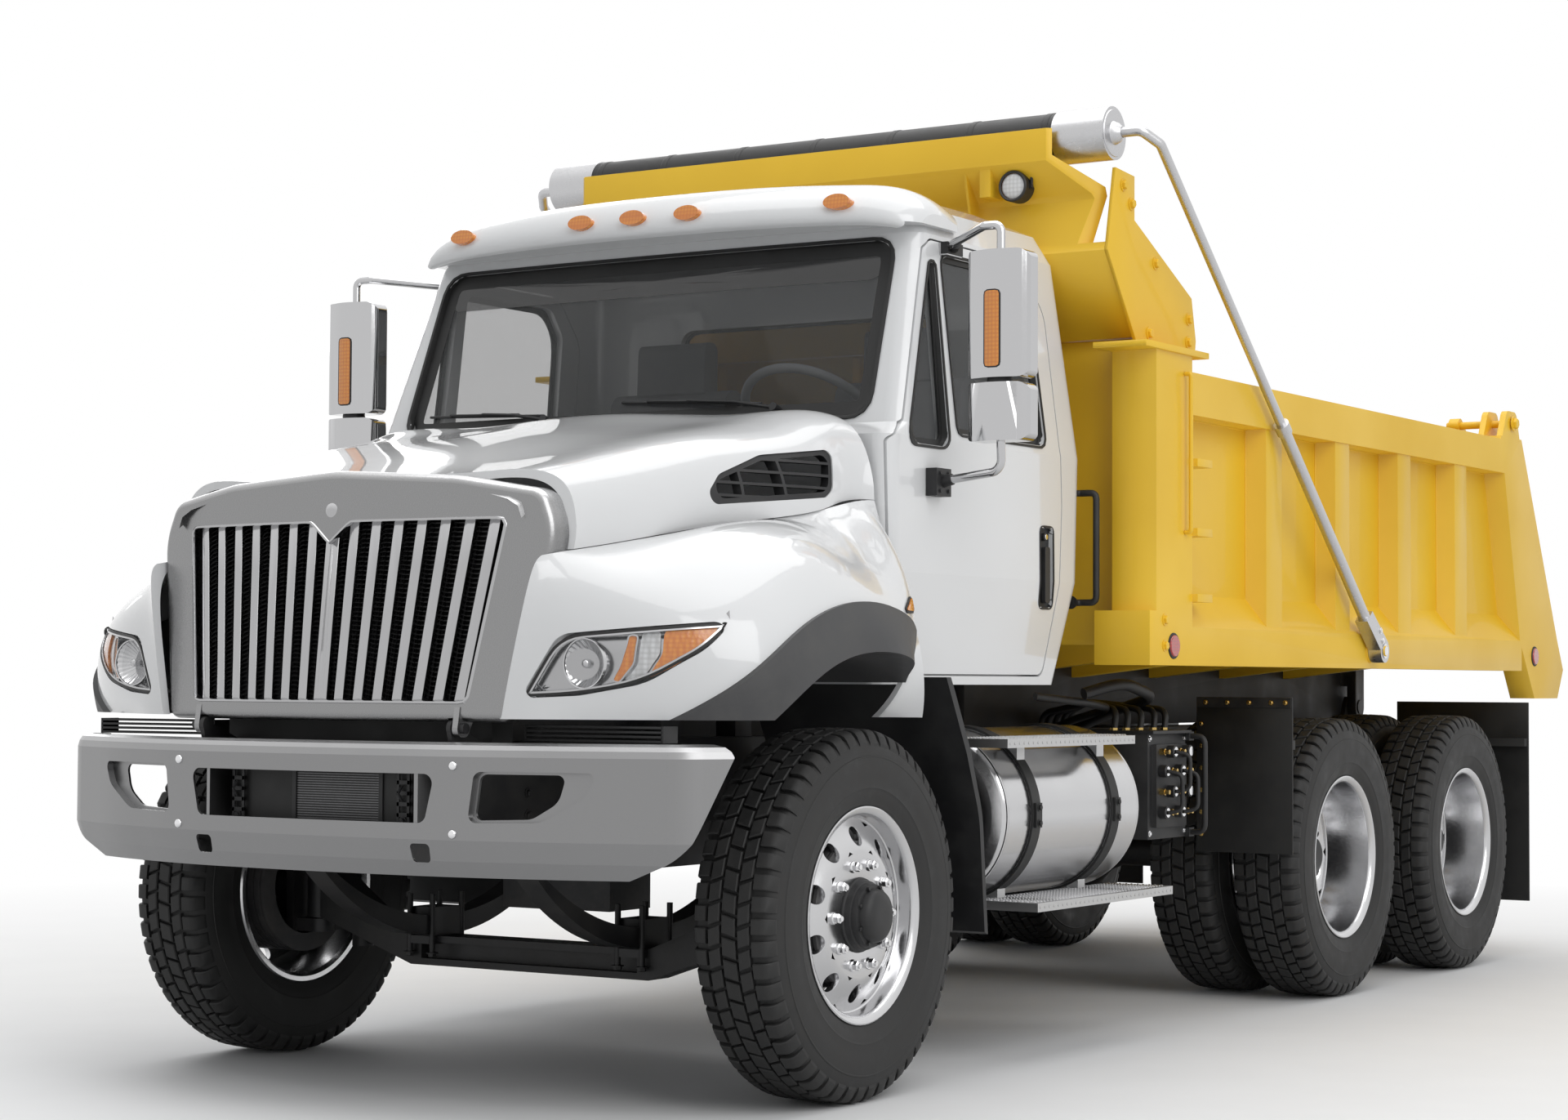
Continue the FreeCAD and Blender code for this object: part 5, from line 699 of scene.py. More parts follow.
HUB_FRONT = ((0.099, 0.1035), (0.103, 0.1030), (0.106, 0.0980), (0.118, 0.0965), (0.1220, 0.0955), (0.1240, 0.0900),
             (0.1390, 0.0885), (0.1420, 0.0870), (0.1430, 0.0760), (0.1580, 0.0730), (0.1660, 0.0670),
             (0.1720, 0.0560), (0.1755, 0.0400), (0.1759, 0.0180), (0.1759, 0.0001))
HUB_REAR = ((-0.147, 0.1030), (-0.142, 0.1030), (-0.139, 0.0990), (-0.060, 0.0960), (-0.050, 0.0950),
            (-0.047, 0.0900), (-0.0310, 0.0885), (-0.0290, 0.0870), (-0.0270, 0.0700), (-0.0100, 0.0690),
            (-0.0040, 0.0640), (0.0030, 0.0520), (0.0047, 0.0300), (0.0048, 0.0001))
HUB_BOLTS = 8
DRUM_RADIUS = 0.2055
DRUM_FINS = 7


def hub_parts(profile, bolt_x, bolt_circle):
    """A hub cap with its ring of bolts."""
    parts = [wheel_ring(profile[::-1], 48)]
    for i in range(HUB_BOLTS):
        turn = 2 * math.pi * (i + 0.5) / HUB_BOLTS
        parts.append(hex_bolt(polar(bolt_x, bolt_circle, turn), (1, 0, 0), 0.011, 0.0075))
    return parts


def drum_part(from_x, to_x):
    """The finned brake drum behind the disc, open to the inside."""
    groove = DRUM_RADIUS - 0.0065
    profile = [(from_x, 0.150), (from_x, DRUM_RADIUS)]
    for i in range(DRUM_FINS):
        x = from_x + (to_x - from_x) * (i + 0.5) / DRUM_FINS
        profile += [(x - 0.004, DRUM_RADIUS), (x - 0.003, groove), (x + 0.003, groove), (x + 0.004, DRUM_RADIUS)]
    profile += [(to_x, DRUM_RADIUS), (to_x, 0.085)]
    return wheel_ring(profile[::-1], 48)


def placed_wheel(parts, side, x, y):
    """Moves left-hand wheel parts onto their axle, or turns them half round for the right."""
    placed = []
    for verts, faces in parts:
        placed.append(([(side * (vx + x), side * vy + y, vz + TYRE_RADIUS) for vx, vy, vz in verts], faces))
    return placed


def make_wheel(tag, many, body, place, tyres, rims, face_x, hub, drum):
    """The pieces of one wheel, or of twin wheels where many is an s: tyres, rims, nuts, hub and brake drum."""
    for name, slot, parts, angle, stands_for in (
            ("tyre%s_%s_tread" % (many, tag), "tyre", tyres, 30, ["tyre%s_%s" % (many, tag)]),
            ("rim%s_%s" % (many, tag), "polished_aluminium", rims, 35, ["wheel%s_%s" % (many, tag)]),
            ("nuts_" + tag, "rod_chrome", nut_ring(face_x), 35, ()),
            ("hub%s_%s" % (many, tag), "black_plastic", hub, 35, ()),
            ("drum%s_%s" % (many, tag), "engine_iron", [drum], 35, ())):
        piece(name, body, slot, placed_wheel(parts, *place), angle=angle, stands_for=stands_for)


def make_wheels():
    """The front wheels and the twin wheels of the rear axles, each on its own body."""
    one_tyre = tyre()
    twin_tyres = [one_tyre, shifted(one_tyre, (-DUAL_SPACING, 0, 0))]
    front_rim = rim_parts(*FRONT_DISC)
    outer_rim = rim_parts(*REAR_DISC)
    twin_rims = outer_rim + [shifted(flipped(part), (-DUAL_SPACING, 0, 0)) for part in outer_rim]
    front_hub = hub_parts(HUB_FRONT, 0.1425, 0.0815)
    rear_hub = hub_parts(HUB_REAR, -0.0285, 0.0790)
    for name, side in SIDES:
        make_wheel("front_" + name, "", "front_wheel_" + name, (side, FRONT_TYRE_X, 0), [one_tyre], front_rim,
                   FRONT_DISC[1], front_hub, drum_part(-0.116, 0.078))
        for axle, y in REAR_AXLES:
            make_wheel("%s_%s" % (axle, name), "s", "%s_wheels_%s" % (axle, name), (side, DUAL_OUTER_X, y),
                       twin_tyres, twin_rims, REAR_DISC[1], rear_hub, drum_part(-0.3395, -0.189))


# Skins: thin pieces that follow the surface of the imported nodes

# Each way of looking at the truck: its direction, and where the view of a place (a, b) starts
WAYS = {"front": ((0, 1, 0), lambda a, b: (a, -4, b)), "side": ((-1, 0, 0), lambda a, b: (3, a, b)),
        "rear": ((0, -1, 0), lambda a, b: (a, 9, b))}


def surface_of(*names):
    """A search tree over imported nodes, in the front axle's frame."""
    verts, faces = [], []
    for name in names:
        node = NODES[name]
        start = len(verts)
        place = node.matrix_world
        for v in node.data.vertices:
            at = place @ v.co
            verts.append((at.x, at.y - AXLE_Y, at.z))
        faces += [tuple(i + start for i in face.vertices) for face in node.data.polygons]
    return BVHTree.FromPolygons(verts, faces)


def onto(tree, way, a, b, lift, near=None):
    """The point of a surface that is seen from a way at (a, b), lifted off it along its normal."""
    direction, start = WAYS[way]
    direction = Vector(direction)
    hit, normal = tree.ray_cast(Vector(start(a, b)), direction)[:2]
    if hit is None:
        guess = Vector(start(a, b)) + direction * 3 if near is None else Vector(near)
        hit, normal = tree.find_nearest(guess)[:2]
        if way == "front":
            hit = Vector((a, hit.y, b))
        elif way == "side":
            hit = Vector((hit.x, a, b))
    if normal.dot(direction) > 0:
        normal = -normal
    return hit + normal * lift


def evenly(outline, count):
    """A closed outline resampled at equal steps, anticlockwise."""
    area = sum(p[0] * q[1] - q[0] * p[1] for p, q in zip(outline, outline[1:] + outline[:1]))
    if area < 0:
        outline = outline[::-1]
    points = [Vector(p) for p in outline]
    points.append(points[0])
    lengths = [(q - p).length for p, q in zip(points, points[1:])]
    step = sum(lengths) / count
    made, i, used = [], 0, 0.0
    for k in range(count):
        target = k * step
        while i < len(lengths) - 1 and used + lengths[i] < target:
            used += lengths[i]
            i += 1
        t = (target - used) / lengths[i] if lengths[i] else 0
        made.append(tuple(points[i].lerp(points[i + 1], t)))
    return made


def inset(outline, distance):
    """An evenly stepped anticlockwise outline moved inwards."""
    made = []
    count = len(outline)
    for i, at in enumerate(outline):
        run = Vector(outline[(i + 1) % count]) - Vector(outline[i - 1])
        run.normalize()
        made.append((at[0] - run.y * distance, at[1] + run.x * distance))
    return made


def skin_ring(tree, way, outer, inner, lift, depth, layers=2):
    """A band between two matching outlines that lies on a surface, with its two edges turned down."""
    verts = []
    near = None
    rows = [(0.0, lift - depth)] + [(k / layers, lift) for k in range(layers + 1)] + [(1.0, lift - depth)]
    for t, height in rows:
        for p, q in zip(outer, inner):
            a, b = p[0] + (q[0] - p[0]) * t, p[1] + (q[1] - p[1]) * t
            near = onto(tree, way, a, b, height, near)
            verts.append(tuple(near))
    return verts, sheet_faces(len(rows), len(outer))


def skin_fill(tree, way, outline, lift, depth, layers=4):
    """A patch that fills an outline on a surface, with its edge turned down."""
    count = len(outline)
    middle = (sum(p[0] for p in outline) / count, sum(p[1] for p in outline) / count)
    inner = [middle] * count
    verts, faces = skin_ring(tree, way, outline, inner, lift, depth, layers)
    kept = count * (layers + 1) + 1
    faces = [tuple(min(i, kept - 1) for i in face) for face in faces[:count * (layers + 1)]]
    faces = [tuple(dict.fromkeys(face)) for face in faces]
    return verts[:kept], faces


# Cab

WINDSHIELD = ((-0.882, 1.957), (0.882, 1.957), (0.858, 2.508), (-0.858, 2.508))
QUARTER_PANE = ((0.460, 1.875), (0.702, 1.875), (0.720, 2.440), (0.690, 2.440))
DOOR_PANE = ((0.766, 1.922), (1.340, 1.922), (1.318, 2.380), (1.236, 2.470), (0.766, 2.470))
REAR_WINDOW = ((-0.560, 1.960), (0.560, 1.960), (0.540, 2.400), (-0.540, 2.400))
DOOR_X = 1.0065


def make_cab_glazing():
    """Seals round every pane, a printed border round the windshield, and the dark band along the windshield's top.
    """
    panes = surface_of("cab_glass")
    shell = surface_of("cab_shell", "cab_glass")
    doors = surface_of("door_left", "door_glass_left")
    front = evenly(rounded(WINDSHIELD, 0.07), 160)
    border = skin_ring(panes, "front", inset(front, 0.002), inset(front, 0.046), 0.0012, 0.001, 3)
    seal = skin_ring(shell, "front", inset(front, -0.010), inset(front, 0.004), 0.006, 0.010, 3)
    band = evenly(rounded([(-0.83, 2.385), (0.83, 2.385), (0.835, 2.47), (-0.835, 2.47)], 0.03), 80)
    piece("windshield_border", "chassis", "seal_black", [border])
    piece("windshield_band", "chassis", "shade_band", [skin_fill(panes, "front", band, 0.0010, 0.0008, 4)])
    piece("windshield_seal", "chassis", "seal_black", [seal], angle=60)
    rear = evenly(rounded(REAR_WINDOW, 0.06), 100)
    rear_seal = skin_ring(shell, "rear", inset(rear, -0.016), inset(rear, 0.010), 0.006, 0.010, 2)
    piece("rear_window_seal", "chassis", "seal_black", [rear_seal], angle=60)
    for tag, pane, radii, width in (("quarter", QUARTER_PANE, [0.044, 0.05, 0.010, 0.010], 0.020),
                                    ("door", DOOR_PANE, [0.024, 0.04, 0.06, 0.06, 0.04], 0.018)):
        edge = evenly(rounded(pane, radii), 110)
        part = skin_ring(doors, "side", inset(edge, -0.010), inset(edge, width), 0.004, 0.007, 4)
        on_both_sides(tag + "_seal", "door_%s", "seal_black", [part], angle=60)


def wiper(pivot, park, tip_low, tip_high, tree):
    """A wiper: its spindle, its sprung arm and its framed blade, lying on the glass."""
    low, high = onto(tree, "front", *tip_low, 0.012), onto(tree, "front", *tip_high, 0.012)
    middle = (low + high) / 2
    start = onto(tree, "front", *pivot, 0.022)
    knee = onto(tree, "front", *park, 0.034)
    parts = [rod(start - Vector((0, -0.03, 0.01)), start + Vector((0, -0.012, 0.004)), 0.013, 16),
             tube([start, knee, middle + Vector((0, -0.016, 0.004))], 0.0065, 8, 0.004)]
    run_x, run_z = tip_high[0] - tip_low[0], tip_high[1] - tip_low[1]
    spine = [onto(tree, "front", tip_low[0] + run_x * t, tip_low[1] + run_z * t, 0.006)
             for t in (0, 0.2, 0.4, 0.6, 0.8, 1)]
    parts.append(tube(spine, 0.0045, 6))
    bows = [p + Vector((0, -0.010, 0.004)) for p in spine[1:-1]]
    parts.append(tube(bows, 0.004, 6))
    for p in (spine[1], spine[-2]):
        parts.append(tube([p, p + Vector((0, -0.012, 0.004))], 0.004, 6))
    return together(parts)


def make_wipers():
    """The two wipers, parked along the windshield's foot."""
    panes = surface_of("cab_glass")
    for name, stations in (("left", ((0.56, 1.985), (0.42, 2.005), (-0.02, 2.034), (0.50, 2.008))),
                           ("right", ((-0.30, 1.985), (-0.42, 2.000), (-0.80, 2.022), (-0.32, 2.006)))):
        piece("wiper_" + name, "chassis", "black_plastic", [wiper(*stations, panes)], angle=40)


def make_door_details():
    """The recessed handle of each door, the rim round it, its pull and its key lock."""
    door = surface_of("door_left")
    edge = evenly(rounded(rectangle(1.288, 1.386, 1.400, 1.668), 0.026), 60)
    recess = rounded(rectangle(1.292, 1.382, 1.404, 1.664), 0.022)
    pull = rounded(rectangle(1.318, 1.352, 1.420, 1.600), 0.012)
    lock_y, lock_z = 1.337, 1.632
    handle = [skin_ring(door, "side", edge, inset(edge, 0.008), 0.0035, 0.006, 2),
              prism(recess, "x", DOOR_X - 0.021, DOOR_X - 0.012), prism(pull, "x", DOOR_X - 0.008, DOOR_X + 0.008),
              rod((DOOR_X - 0.014, lock_y, lock_z), (DOOR_X, lock_y, lock_z), 0.013, 20)]
    lock = rod((DOOR_X - 0.002, lock_y, lock_z), (DOOR_X + 0.0035, lock_y, lock_z), 0.009, 20)
    on_both_sides("door_handle", "door_%s", "black_plastic", handle, 0.0015)
    on_both_sides("door_lock", "door_%s", "rod_chrome", [lock], 0.0015)


def make_grab_handles():
    """The upright handles on the cab's rear corners, with their rubber feet."""
    foot_x, foot_y = 0.960, 1.604
    grip_x, grip_y = 1.030, 1.650
    low, high = 1.430, 1.790
    path = rounded_path([(foot_x, foot_y, low), (foot_x, grip_y, low), (grip_x, grip_y, low),
                         (grip_x, grip_y, high), (foot_x, grip_y, high), (foot_x, foot_y, high)], 0.022)
    feet = [rod((foot_x, foot_y + 0.002, z), (foot_x, foot_y + 0.014, z), 0.022, 20, 0.018) for z in (low, high)]
    on_both_sides("grab_handle", "chassis", "black_plastic", [tube(path, 0.011, 14)])
    on_both_sides("grab_feet", "chassis", "black_plastic", feet)


# Lamps and front end

LAMP_OUTLINE = ((0.652, 1.120), (0.800, 1.128), (0.960, 1.160), (1.090, 1.250), (1.128, 1.326), (0.745, 1.288))
LAMP_RADII = (0.020, 0.200, 0.200, 0.120, 0.024, 0.060)
AMBER_STRIP = ((0.912, 1.290), (0.909, 1.259), (0.897, 1.207), (0.877, 1.167), (0.897, 1.159), (0.934, 1.211),
               (0.938, 1.287))
PILLOW_STRIP = ((0.944, 1.298), (0.941, 1.212), (0.908, 1.160), (0.953, 1.172), (0.989, 1.240), (0.984, 1.300))
ORANGE_CORNER = ((0.992, 1.302), (0.996, 1.238), (0.962, 1.172), (1.027, 1.208), (1.083, 1.262), (1.100, 1.314))
BOWL_X = 0.806
BOWL_Z = 1.212


def reflector(centre, radius, depth, flutes=26):
    """A fluted bowl that opens forwards, with its bulb shield."""
    cx, cy, cz = centre
    verts = []
    rings, sides = 9, flutes * 4
    for k in range(rings + 1):
        t = k / rings
        for i in range(sides):
            turn = 2 * math.pi * i / sides
            ripple = 0.0016 * math.cos(turn * flutes) * t
            r = radius * t
            verts.append((cx + r * math.cos(turn), cy + depth * (1 - t * t) + ripple, cz + r * math.sin(turn)))
    bowl = inside_out((verts, sheet_faces(rings + 1, sides)))
    shield = lathe([(cy - 0.004, 0.0001), (cy - 0.003, 0.006), (cy + 0.002, 0.011), (cy + 0.010, 0.0125),
                    (cy + 0.018, 0.010), (cy + depth, 0.008)], "y", (cx, 0, cz), 20)
    lip = lathe([(cy + 0.002, radius), (cy - 0.004, radius + 0.001), (cy - 0.005, radius + 0.004),
                 (cy + 0.004, radius + 0.006)], "y", (cx, 0, cz), 64)
    return [bowl, shield, lip]


def make_headlights():
    """Behind each clear cover: a chrome bezel, a fluted bowl, an amber strip, pillows and the turn lamp."""
    lamp = surface_of("headlights")
    outline = evenly(rounded(LAMP_OUTLINE, LAMP_RADII), 120)
    border = skin_ring(lamp, "front", inset(outline, 0.004), inset(outline, 0.011), 0.0025, 0.004, 2)
    rim = skin_ring(lamp, "front", inset(outline, 0.011), inset(outline, 0.016), 0.0012, 0.003, 2)
    bezel = skin_fill(lamp, "front", inset(outline, 0.006), -0.034, 0.004, 6)
    bowl_y = onto(lamp, "front", BOWL_X, BOWL_Z, 0).y + 0.012
    bowl = reflector((BOWL_X, bowl_y, BOWL_Z), 0.062, 0.040)
    strip = evenly(rounded(AMBER_STRIP, 0.012), 60)
    divider = skin_ring(lamp, "front", strip, inset(strip, 0.004), -0.002, 0.030, 1)
    amber = skin_fill(lamp, "front", inset(strip, 0.003), -0.006, 0.012, 3)
    pillows = skin_fill(lamp, "front", evenly(rounded(PILLOW_STRIP, 0.010), 60), -0.010, 0.012, 3)
    orange = skin_fill(lamp, "front", evenly(rounded(ORANGE_CORNER, 0.014), 60), -0.004, 0.020, 4)
    for tag, slot, parts in (("border", "seal_black", [border]), ("rim", "grille_bright", [rim]),
                             ("bezel", "grille_bright", [bezel, divider]), ("bowl", "mirror_chrome", bowl),
                             ("amber", "amber_lens", [amber, orange]), ("pillows", "clear_lens", [pillows])):
        piece("headlamp_" + tag, "hood", slot, [both(parts)], angle=50)


GRILLE_LEAN = math.radians(6)
GRILLE_RADIUS = 2.8
GRILLE_BOTTOM = 1.110
GRILLE_TOP = 1.594
GRILLE_HALF_BOTTOM = 0.481
GRILLE_HALF_TOP = 0.5585
FIN_PITCH = 0.0125
FIN_TUBES = 46


def grille_front(x, z, depth):
    """The leaning, bulged front of the grille, at a depth behind its surface."""
    bulge = GRILLE_RADIUS - math.sqrt((GRILLE_RADIUS - depth) ** 2 - x * x)
    return -1.005 + bulge + (z - 1.056) * math.tan(GRILLE_LEAN)


def grille_half(z):
    """Half the grille opening's width at a height."""
    rise = (z - GRILLE_BOTTOM) / (GRILLE_TOP - GRILLE_BOTTOM)
    return GRILLE_HALF_BOTTOM + (GRILLE_HALF_TOP - GRILLE_HALF_BOTTOM) * rise


def grille_fin(z):
    """One thin, sloping fin across the grille's opening."""
    half = grille_half(z) - 0.004
    steps, front, back, thick = 16, 0.050, 0.064, 0.0014
    verts = []
    for i in range(steps + 1):
        x = -half + 2 * half * i / steps
        for depth, dz in ((front, -thick), (back, -thick), (back, thick), (front, thick)):
            verts.append((x, grille_front(x, z, depth), z + dz + (back - depth) * 0.25))
    return verts, sheet_faces(steps + 1, 4)


def grille_tube(across):
    """One upright tube through the fins, at a place from -1 to 1 across the opening."""
    verts = []
    for z in (1.108, 1.596):
        x = across * grille_half(z)
        y = grille_front(x, z, 0.056)
        verts += [(x - 0.0012, y, z), (x + 0.0012, y, z), (x + 0.0012, y + 0.008, z), (x - 0.0012, y + 0.008, z)]
    return verts, sheet_faces(2, 4)


def make_grille_fins():
    """The dark fins and tubes behind the bright bars."""
    parts = []
    z = 1.122
    while z < 1.590:
        parts.append(grille_fin(z))
        z += FIN_PITCH
    for i in range(FIN_TUBES):
        parts.append(grille_tube((i + 0.5) / FIN_TUBES * 2 - 1))
    piece("grille_fins", "hood", "fin_dark", parts)


def make_grille_screen():
    """The black sheet behind the fins."""
    rows, columns = 6, 16
    verts = []
    for r in range(rows + 1):
        z = 1.100 + 0.505 * r / rows
        half = grille_half(z) + 0.012
        for c in range(columns + 1):
            x = -half + 2 * half * c / columns
            verts.append((x, grille_front(x, z, 0.068), z))
    piece("grille_screen", "hood", "radiator_black", [(verts, sheet_faces(rows + 1, columns + 1, closed=False))])


def make_grille_boss():
    """The bare round boss in the surround's notch."""
    boss = lathe([(-0.948, 0.0001), (-0.9475, 0.012), (-0.944, 0.024), (-0.938, 0.030), (-0.928, 0.032)], "y",
                 (0, 0, 1.622), 40)
    piece("grille_boss", "hood", "grille_bright", [boss])


def make_grille_rim():
    """The bright rolled edge round the grille's opening and its notch."""
    corners = [(-GRILLE_HALF_BOTTOM, GRILLE_BOTTOM), (GRILLE_HALF_BOTTOM, GRILLE_BOTTOM),
               (GRILLE_HALF_TOP, GRILLE_TOP), (0.07, GRILLE_TOP), (0, 1.535), (-0.07, GRILLE_TOP),
               (-GRILLE_HALF_TOP, GRILLE_TOP)]
    outline = evenly(rounded(corners, [0.016, 0.016, 0.02, 0.01, 0.006, 0.01, 0.02]), 200)
    section = ((-0.0005, 0.020), (-0.0025, 0.003), (-0.0005, -0.0022), (0.005, -0.0022), (0.008, 0.002))
    verts = []
    for grow, depth in section:
        verts += [(x, grille_front(x, z, depth), z) for x, z in inset(outline, -grow)]
    rim = inside_out((verts, sheet_faces(len(section), len(outline))))
    piece("grille_rim", "hood", "grille_bright", [rim], angle=50)


COOLER = (-0.115, 0.205, 0.775, 0.938)
COOLER_FINS = 23
BRACKET_FRONT = -0.972


def perforated_bracket(x, low, high):
    """An upright strip with square holes, a bolt at each end and a short hook."""
    width, rail, back = 0.044, 0.009, BRACKET_FRONT + 0.006
    parts = [block(x, x + rail, BRACKET_FRONT, back, low, high),
             block(x + width - rail, x + width, BRACKET_FRONT, back, low, high)]
    holes = 6
    for k in range(holes + 1):
        z = low + (high - low) / holes * k
        parts.append(block(x, x + width, BRACKET_FRONT, back, max(low, z - 0.006), min(high, z + 0.006)))
    middle_x, middle_z = x + width / 2, (low + high) / 2
    for z in (low + 0.014, high - 0.014):
        parts.append(hex_bolt((middle_x, BRACKET_FRONT, z), (0, -1, 0), 0.016, 0.008))
    hook = [(middle_x, BRACKET_FRONT - out, middle_z + up)
            for out, up in ((0.004, 0.02), (0.020, 0), (0.004, -0.02))]
    parts.append(tube(hook, 0.004, 8))
    return parts


def make_bumper_bolts():
    """The bumper's two round-headed bolts on each side."""
    bumper = surface_of("front_bumper")
    bolts = []
    for x, z in ((0.485, 0.943), (0.485, 0.765)):
        face = onto(bumper, "front", x, z, 0.0).y
        bolts.append(lathe([(face - 0.0085, 0.0001), (face - 0.0080, 0.006), (face - 0.0055, 0.0105),
                            (face - 0.002, 0.0125), (face + 0.004, 0.0128)], "y", (x, 0, z), 24))
    piece("bumper_bolts", "chassis", "rod_chrome", [both(bolts)])


def make_cooler():
    """The finned cooler in the bumper's opening, with its frame, its pipes and two perforated brackets."""
    left, right, low, high = COOLER
    fins = []
    for i in range(COOLER_FINS):
        z = low + 0.008 + i * 0.0067
        fins.append(block(left + 0.012, right - 0.012, -0.958, -0.946, z, z + 0.0026))
    piece("cooler_fins", "chassis", "fin_grey", fins)
    frame = [block(left, right, -0.946, -0.925, low, high)]
    for x0, x1, z0, z1 in ((left, right, high - 0.010, high + 0.002), (left, right, low - 0.002, low + 0.010),
                           (left, left + 0.014, low, high), (right - 0.014, right, low, high)):
        frame.append(block(x0, x1, -0.962, -0.930, z0, z1))
    for x in (-0.325, 0.262):
        frame += perforated_bracket(x, low + 0.004, high + 0.014)
    for z in (0.822, 0.900):
        frame.append(rod((-0.285, -0.940, z), (left + 0.004, -0.938, z), 0.006, 12))
        frame.append(rod((right - 0.004, -0.938, z), (0.268, -0.940, z), 0.006, 12))
    piece("cooler_frame", "chassis", "black_plastic", frame, 0.0015)


def make_marker_lamps():
    """Amber markers on the flares and round red reflectors along the body, each on its bezel."""
    flare = surface_of("fender_flares", "fenders")
    shape = evenly(rounded([(0.150, 1.368), (0.222, 1.368), (0.218, 1.408)], 0.010), 48)
    lamp = skin_fill(flare, "side", shape, 0.008, 0.008, 3)
    bezel = skin_ring(flare, "side", inset(shape, -0.006), inset(shape, 0.001), 0.005, 0.005, 1)
    piece("side_marker", "hood", "amber_lens", [both([lamp])], angle=50)
    piece("side_marker_bezel", "hood", "seal_black", [both([bezel])], angle=50)
    reds, rims = [], []
    side_x, z = 1.2195, 1.290
    for y in (1.837, 5.538):
        reds.append(rod((side_x, y, z), (side_x + 0.0095, y, z), 0.038, 40, 0.034))
        rims.append(rod((side_x, y, z), (side_x + 0.0045, y, z), 0.044, 40, 0.042))
    piece("body_reflectors", "dump_bed", "red_lens", [both(reds)], 0.002)
    piece("body_reflector_rims", "dump_bed", "seal_black", [both(rims)], 0.0015)


# Mirrors

MIRROR_X = 1.240
MIRROR_BACK = 0.636
MIRROR_PANES = ((2.062, 2.440), (1.876, 2.048))


def mirror_outline(margin_x, margin_z, low, high, radius):
    """A rounded outline inside a mirror head's back, by its margins from the middle and from the ends."""
    return rounded(rectangle(MIRROR_X - margin_x, MIRROR_X + margin_x, low + margin_z, high - margin_z), radius)


def make_mirror_details():
    """Glass and gaskets behind each mirror head, amber strips ahead, and black brackets and bands."""
    head = surface_of("mirror_left")
    strip = evenly(rounded(rectangle(MIRROR_X - 0.023, MIRROR_X + 0.023, 2.094, 2.317), 0.010), 60)
    amber = [skin_fill(head, "front", strip, 0.0035, 0.006, 3)]
    rims = [skin_ring(head, "front", inset(strip, -0.004), inset(strip, 0.001), 0.003, 0.004, 1)]
    panes, gaskets = [], []
    for low, high in MIRROR_PANES:
        gaskets.append(prism(mirror_outline(0.100, 0.004, low, high, 0.028), "y", MIRROR_BACK - 0.006,
                             MIRROR_BACK + 0.003))
        panes.append(prism(mirror_outline(0.086, 0.016, low, high, 0.022), "y", MIRROR_BACK + 0.001,
                           MIRROR_BACK + 0.0045))
    bands = [lathe([(2.046, 0.036), (2.052, 0.038), (2.058, 0.038), (2.064, 0.036)], "z",
                   (MIRROR_X, MIRROR_BACK - 0.048, 0), 40)]
    covers = [block(0.944, 0.969, 0.757, 0.853, 2.474, 2.5105), block(1.009, 1.0465, 0.556, 0.644, 1.721, 1.804),
              rod((1.036, 0.600, 1.764), (1.075, 0.602, 1.771), 0.020, 20, 0.017),
              rod((0.962, 0.800, 2.496), (0.998, 0.760, 2.500), 0.019, 20, 0.016)]
    covers += [hex_bolt((1.0465, y, z), (1, 0, 0), 0.012, 0.005) for z in (1.736, 1.789) for y in (0.576, 0.626)]
    for tag, slot, parts, bevel in (("amber", "amber_lens", amber, 0), ("rims", "seal_black", rims, 0),
                                    ("glass", "mirror_chrome", panes, 0.0015),
                                    ("gaskets", "black_plastic", gaskets, 0.002),
                                    ("bands", "black_plastic", bands, 0),
                                    ("brackets", "black_plastic", covers, 0.003)):
        on_both_sides("mirror_" + tag, "door_%s", slot, parts, bevel)


# Tanks, steps and chassis fittings

TANK_X = 0.860
TANK_Z = 0.760
TEETH_PITCH = 0.021


def step_tooth(x, y, top):
    """One raised tooth of a step's tread, shaped like a small tent."""
    return ([(x, y, top), (x + 0.010, y, top), (x + 0.010, y + 0.010, top), (x, y + 0.010, top),
             (x + 0.002, y + 0.005, top + 0.0045), (x + 0.008, y + 0.005, top + 0.0045)],
            [(0, 1, 5, 4), (2, 3, 4, 5), (1, 2, 5), (3, 0, 4)])


def make_step_teeth():
    """Rows of teeth on the two steps over and under each tank, and round buttons along their edges."""
    teeth = []
    for x0, y0, length, top in ((1.032, 0.717, 0.871, 0.999), (0.965, 0.913, 0.961, 0.500)):
        for i in range(int((1.192 - x0 - 0.012) / TEETH_PITCH)):
            for k in range(int((length - 0.020) / TEETH_PITCH)):
                y = y0 + 0.016 + k * TEETH_PITCH + (i % 2) * 0.005
                teeth.append(step_tooth(x0 + 0.014 + i * TEETH_PITCH, y, top))
        for k in range(int(length / 0.030)):
            y = y0 + 0.018 + k * 0.030
            teeth.append(rod((1.1985, y, top - 0.013), (1.2012, y, top - 0.013), 0.005, 8))
    piece("step_teeth", "chassis", "step_aluminium", [both(teeth)])


